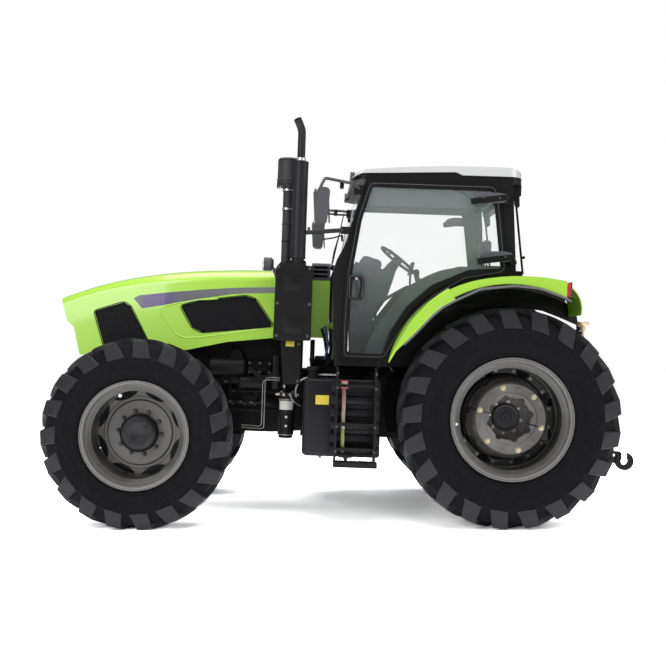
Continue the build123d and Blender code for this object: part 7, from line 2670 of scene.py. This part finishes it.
# ---------------------------------------------------------------- rear and front ends
@dataclass(frozen=True)
class RearEnd:
    """Couplers, hitch pins and shaft guard between the rear wheels."""

    coupler_rows: Sequence[float] = (368.0, 296.0)
    coupler_columns: Sequence[float] = (-148.0, -92.0, 92.0, 148.0)

    def build(self, fasteners: Fasteners) -> None:
        """Make the pieces."""
        self.couplers(fasteners).piece("rear_couplers", "chassis", PLASTIC, "black_plastic")
        self.caps().piece("coupler_caps", "chassis", RED_TRIM, "black_plastic")
        self.guard().piece("shaft_guard", "chassis", BLACK, "black_paint")
        self.splines(fasteners).piece("shaft_splines", "chassis", STEEL, "steel")
        self.housing().piece("rear_housing_ribs", "chassis", CHASSIS, "cast_grey")
        self.bolts(fasteners).piece("rear_housing_bolts", "chassis", DARK_BOLT, "steel")
        self.link_ends().piece("lower_link_ends", "lower_links", ZINC, "steel")
        self.arm_pins().piece("lift_arm_pins", "lift_arms", ZINC, "steel")
        self.rod_threads().piece("lift_rod_threads", "lift_rods", ZINC, "steel")
        self.top_link_parts().piece("top_link_parts", "top_link", ZINC, "steel")
        self.washers().piece("link_washers", "chassis", ZINC, "steel")

    def ports(self, z: float) -> list[Matrix]:
        """The frames of one row of couplers at a height."""
        return [pointing((-372.0, y, z), (-1, 0, 0)) for y in self.coupler_columns]

    def couplers(self, fasteners: Fasteners) -> Shape:
        """Two rows of hydraulic couplers on their block."""
        shape = Shape().block((-330.0, 0.0, 330.0), (90.0, 370.0, 150.0), 10.0)
        for z in self.coupler_rows:
            barrel = Shape().turned(
                [(0, 26), (34, 26), (40, 22), (60, 22), (66, 17), (66, 0), (0, 0)], Matrix(), 20
            )
            shape.add(fasteners.spots(barrel, self.ports(z)))
        return shape

    def caps(self) -> Shape:
        """Dust caps on the couplers."""
        shape = Shape()
        for z in self.coupler_rows:
            for place in self.ports(z):
                shape.turned([(62, 25), (76, 25), (82, 19), (82, 0), (62, 0)], place, 20)
        return shape

    def guard(self) -> Shape:
        """The bent plate over the shaft's end."""
        arch = ((-96, -190), (-96, -50), (-60, -20), (60, -20), (96, -50), (96, -190))
        line = rounded([(-360, y, z) for y, z in arch], 24.0)
        return Shape().swept([(-52, -3), (52, -3), (52, 3), (-52, 3)], line, Vector((1, 0, 0)))

    def splines(self, fasteners: Fasteners) -> Shape:
        """Splines and the groove of the drive shaft's end."""
        rib = Shape().block((16.4, 0.0, 0.0), (3.6, 5.0, 70.0), 0.8)
        return Shape().add(fasteners.ring(rib, 6, 0.0), pointing((-398.0, 0.0, -120.0), (-1, 0, 0)))

    def housing(self) -> Shape:
        """Webs and pads on the rear housing."""
        shape = Shape()
        for y in (-150.0, 150.0):
            shape.block((-215.0, y, -60.0), (180.0, 18.0, 330.0), 5.0)
        shape.turned(
            [(0, 130), (18, 130), (26, 118), (26, 0), (0, 0)], pointing((-300.0, 0.0, -120.0), (-1, 0, 0)), 48
        )
        for y in (-240.0, 240.0):
            shape.turned(
                [(0, 34), (120, 34), (126, 26), (126, 0), (0, 0)], Facing.TOP.at(-280.0, y, 60.0), 28
            )
        return shape

    def bolts(self, fasteners: Fasteners) -> Shape:
        """Flange bolts round the shaft's cover."""
        bolt = Fasteners.bolt(18.0, 10.0, 14.0)
        return Shape().add(fasteners.ring(bolt, 10, 112.0), pointing((-322.0, 0.0, -120.0), (-1, 0, 0)))

    def link_ends(self) -> Shape:
        """Latches of the lower links' hooks."""
        shape = Shape()
        for way in (1, -1):
            shape.block((-1082.0, way * 431.0, -306.0), (84.0, 24.0, 22.0), 6.0, 14.0)
            shape.turned(
                [(-20, 0), (-20, 12), (20, 12), (20, 0)], Facing.SIDE.at(-1060.0, way * 431.0, -332.0), 20
            )
        return shape

    def arm_pins(self) -> Shape:
        """Pins at the lift arms' tips."""
        shape = Shape()
        for way in (1, -1):
            shape.turned(
                [(-46, 0), (-46, 14), (46, 14), (46, 0)], Facing.SIDE.at(-505.0, way * 336.0, 330.0), 24
            )
        return shape

    def rod_threads(self) -> Shape:
        """The screwed part and lock ring of each lift rod."""
        shape = Shape()
        for way in (1, -1):
            axis = Facing.TOP.at(-510.0, way * 364.0)
            for step in range(12):
                shape.bead(150 + 9 * step, 21, (3, 2.4), axis, 24, 6)
            shape.turned([(-132, 34), (-106, 34), (-106, 0), (-132, 0)], axis, 6)
        return shape

    def top_link_parts(self) -> Shape:
        """The turning sleeve's handle and two hexagonal collars on the top link."""
        start, end = Vector((-410.0, 0.0, 140.0)), Vector((-850.0, 0.0, 812.0))
        way = (end - start).normalized()
        shape = Shape()
        for share in (0.30, 0.70):
            place = pointing(start.lerp(end, share), way)
            shape.turned([(-16, 30), (16, 30), (16, 0), (-16, 0)], place, 6)
        grip = start.lerp(end, 0.5)
        return shape.tube([grip + Vector((0, -80, 0)), grip + Vector((0, 80, 0))], 8.0)

    def washers(self) -> Shape:
        """Washers that keep the lower links on their pins."""
        shape = Shape()
        for way in (1, -1):
            shape.turned(
                [(0, 0), (0, 31), (7, 31), (7, 0)], pointing((-80.0, way * 342.0, -330.0), (0, way, 0)), 28
            )
        return shape


@dataclass(frozen=True)
class FrontEnd:
    """Nose grille, headlamp surrounds, front frame and the steered axle's fittings."""

    def build(self, fasteners: Fasteners) -> None:
        """Make the pieces."""
        self.grille(fasteners).piece("nose_grille_bars", "hood", PLASTIC, "black_plastic")
        for side, word in LEFT_RIGHT:
            self.bezel().piece(f"headlamp_bezel_{word}", "hood", PLASTIC, "black_plastic", side=side)
            self.reflector().piece(f"headlamp_bowl_{word}", "hood", ALLOY, "lamp_lens", side=side)
            self.knuckle(fasteners).piece(
                f"knuckle_fittings_{word}", f"knuckle_{word}", DARK_BOLT, "steel", side=side
            )
        self.rod_ends().piece("tie_rod_ends", "tie_rod", BLACK, "black_paint")
        self.axle().piece("axle_fittings", "chassis", CHASSIS, "cast_grey")
        self.frame().piece("front_frame_fittings", "chassis", BLACK, "black_paint")
        self.frame_bolts(fasteners).piece("front_frame_bolts", "chassis", DARK_BOLT, "steel")

    def grille(self, fasteners: Fasteners) -> Shape:
        """Level bars across the nose's lower opening."""
        bar = Shape().block((0.0, 0.0, 0.0), (14.0, 470.0, 12.0), 4.0)
        return Shape().add(
            fasteners.row(bar, 6, (-11.0, 0.0, -40.0)), Matrix.Translation((3772.0, 0.0, 640.0))
        )

    def bezel(self) -> Shape:
        """A raised rim round one headlamp."""
        rim = panel(150.0, 92.0, 16.0)
        line = [Vector((3878.0 + 0.329 * v, 168.0 + u, 749.0 + v)) for u, v in rim]
        return Shape().swept(ellipse(6.0, 6.0, 8), line, Vector((1, 0, 0)), loop=True)

    def reflector(self) -> Shape:
        """Two small bowls of the lamp."""
        shape = Shape()
        for y in (134.0, 200.0):
            shape.turned(
                [(-4, 30), (4, 30), (4, 26), (-2, 8), (-2, 0), (-4, 0)],
                pointing((3876.0, y, 749.0), (1, 0, 0)), 28,
            )
        return shape

    def knuckle(self, fasteners: Fasteners) -> Shape:
        """Kingpin caps with their bolts."""
        shape = Shape()
        for way in (1, -1):
            place = pointing((FRONT_HUB[0], 650.0, FRONT_HUB[2] + way * 171.0), (0, 0, way))
            shape.turned([(0, 50), (10, 50), (16, 42), (16, 0), (0, 0)], place, 32)
            bolts = fasteners.ring(Fasteners.bolt(15.0, 8.0, 12.0), 6, 38.0)
            shape.add(bolts, place @ Matrix.Translation((0.0, 0.0, 15.0)))
        return shape

    def rod_ends(self) -> Shape:
        """Lock nuts near the tie rod's ends."""
        shape = Shape()
        for way in (1, -1):
            place = pointing((2888.6, way * 520.0, -342.9), (0, way, 0))
            shape.turned([(-20, 26), (20, 26), (20, 0), (-20, 0)], place, 6)
        return shape

    def axle(self) -> Shape:
        """The axle's pinion nose and ribs."""
        nose = [(0, 74), (90, 66), (120, 52), (160, 52), (160, 0), (0, 0)]
        shape = Shape().turned(nose, pointing((2990.0, 0.0, -238.0), (-1, 0, 0)), 40)
        for way in (1, -1):
            for x in (3002.0, 3175.0):
                shape.block((x, way * 380.0, -238.0), (18.0, 250.0, 70.0), 5.0)
        return shape

    def frame(self) -> Shape:
        """Flanges along the front frame's cheeks."""
        shape = Shape()
        for way in (1, -1):
            for z, length in ((96.0, 520.0), (-32.0, 300.0)):
                shape.block((3250.0, way * 232.0, z), (length, 18.0, 16.0), 4.0)
        return shape

    def frame_bolts(self, fasteners: Fasteners) -> Shape:
        """Bolts along the front frame's sides."""
        spots = []
        for way in (1, -1):
            for x in (2840.0, 2930.0, 3420.0, 3560.0):
                for z in (-8.0, 70.0):
                    spots.append(pointing((x, way * 225.0, z), (0, way, 0), x))
        return fasteners.bolted(spots, 22.0, 12.0, 17.0)


# ---------------------------------------------------------------- studio
@dataclass
class Studio:
    """Pale floor, soft lamps and the camera."""

    eye: Point = (0.348, 9.3, 1.546)
    lens: float = 53.784
    shift: tuple[float, float] = (0.04054, 0.01502)
    sensor: float = 36.0
    floor_half: float = 40.0
    floor_glow: float = 0.08
    floor_answer: float = 2.0
    world: Colour = (0.92, 0.93, 0.95)

    def camera(self) -> None:
        """A long-lens camera on the tractor's left, looking straight across it."""
        data = bpy.data.cameras.new("camera")
        data.sensor_width = self.sensor
        data.lens = self.lens
        data.shift_x, data.shift_y = self.shift
        data.clip_end = 200.0
        made = bpy.data.objects.new("camera", data)
        made.location = self.eye
        made.rotation_euler = (math.radians(90), 0.0, math.radians(180))
        bpy.context.scene.collection.objects.link(made)
        bpy.context.scene.camera = made

    def floor(self) -> None:
        """A white floor that shows as plain white behind the tractor and keeps its shadow."""
        mesh = bpy.data.meshes.new("floor")
        half = self.floor_half
        corners = [(-half, -half, 0.0), (half, -half, 0.0), (half, half, 0.0), (-half, half, 0.0)]
        mesh.from_pydata(corners, [], [(0, 1, 2, 3)])
        made = bpy.data.objects.new("floor", mesh)
        mesh.materials.append(self.floor_paint())
        bpy.context.scene.collection.objects.link(made)

    def floor_paint(self) -> bpy.types.Material:
        """White paint that answers the light twice over where it is seen, mirrored or looked through."""
        graph = Graph("floor_white")
        paint = graph.finish(Base_Color=(0.93, 0.93, 0.93), Roughness=0.9)
        rays = graph.node("ShaderNodeLightPath", {})
        seen = Signal(graph, rays.outputs["Is Camera Ray"])
        for name in ("Is Glossy Ray", "Is Transmission Ray"):
            seen = seen.larger(Signal(graph, rays.outputs[name]))
        matt = graph.node("ShaderNodeBsdfDiffuse", {}, (self.floor_answer,) * 3)
        glow = graph.node("ShaderNodeEmission", {}, (1.0, 1.0, 1.0), self.floor_glow)
        double = graph.node("ShaderNodeAddShader", {}, graph.surface.outputs[0], matt.outputs[0])
        lit = graph.node("ShaderNodeAddShader", {}, double.outputs[0], glow.outputs[0])
        shown = graph.node("ShaderNodeMixShader", {}, seen, graph.surface.outputs[0], lit.outputs[0])
        graph.tree.links.new(shown.outputs[0], graph.output.inputs["Surface"])
        return paint

    def lamp(self, name: str, place: Point, aim: Point, size: float, power: float) -> None:
        """One soft square lamp."""
        data = bpy.data.lights.new(name, "AREA")
        data.shape = "SQUARE"
        data.size = size
        data.energy = power
        made = bpy.data.objects.new(name, data)
        made.location = place
        made.rotation_euler = (Vector(aim) - Vector(place)).to_track_quat("-Z", "Y").to_euler()
        bpy.context.scene.collection.objects.link(made)

    def light(self) -> None:
        """A broad lamp overhead, a key in front of the left side, and a plain white world."""
        self.lamp("top", (0.0, 1.0, 7.0), (0.0, 0.0, 1.0), 6.0, 540.0)
        self.lamp("key", (4.5, 6.5, 4.5), (0.2, 0.0, 1.2), 4.0, 270.0)
        self.lamp("back", (-5.5, 3.5, 3.5), (-0.8, 0.0, 1.2), 3.0, 120.0)
        world = bpy.data.worlds.new("studio")
        bpy.context.scene.world = world
        world.use_nodes = True
        tree = world.node_tree
        tree.nodes.clear()
        output = tree.nodes.new("ShaderNodeOutputWorld")
        soft = tree.nodes.new("ShaderNodeBackground")
        plain = tree.nodes.new("ShaderNodeBackground")
        soft.inputs[0].default_value = (*self.world, 1.0)
        soft.inputs[1].default_value = 0.36
        plain.inputs[0].default_value = (1.0, 1.0, 1.0, 1.0)
        mix = tree.nodes.new("ShaderNodeMixShader")
        rays = tree.nodes.new("ShaderNodeLightPath")
        tree.links.new(rays.outputs["Is Camera Ray"], mix.inputs[0])
        tree.links.new(soft.outputs[0], mix.inputs[1])
        tree.links.new(plain.outputs[0], mix.inputs[2])
        tree.links.new(mix.outputs[0], output.inputs["Surface"])

    def build(self) -> None:
        """Camera, floor, lamps and the view settings."""
        self.camera()
        self.floor()
        self.light()
        bpy.context.scene.view_settings.view_transform = "Standard"


REAR_TYRE = Tyre("rear", REAR_HUB, 925.0, 528.0, 482.0, 225.0, 21, 44.0)
FRONT_TYRE = Tyre("front", FRONT_HUB, 797.0, 430.0, 424.0, 184.0, 19, 39.0)


def dress_nodes(nodes: dict[str, bpy.types.Object]) -> None:
    """Give every CAD node its finish."""
    replaced = "front_tyre_left front_tyre_right rear_tyre_left rear_tyre_right"
    for finish, names in ((FRONT_RUBBER, replaced), *DRESS):
        for name in names.split():
            mesh = nodes[name].data
            mesh.materials.clear()
            mesh.materials.append(finish.material())


def main() -> None:
    """Build the studio and the tractor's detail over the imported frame."""
    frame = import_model()
    Studio().build()
    dress_nodes(frame["nodes"])
    fasteners = Fasteners()
    REAR_TYRE.build(fasteners, REAR_RUBBER)
    FRONT_TYRE.build(fasteners, FRONT_RUBBER)
    RearWheel().build(frame["nodes"], fasteners)
    FrontWheel().build(frame["nodes"], fasteners)
    HoodTrim().build(frame["nodes"], fasteners)
    Exhaust().build(fasteners)
    Intake().build(fasteners)
    Mirrors().build(fasteners)
    Underbody().build(fasteners)
    Cab().build(frame["nodes"], fasteners)
    Interior().build(fasteners)
    DriversPlace().build(frame["nodes"])
    Fenders().build()
    Ladder().build(fasteners)
    RearEnd().build(fasteners)
    FrontEnd().build(fasteners)


if __name__ == "__main__":
    logging.basicConfig(level=logging.INFO)
    main()
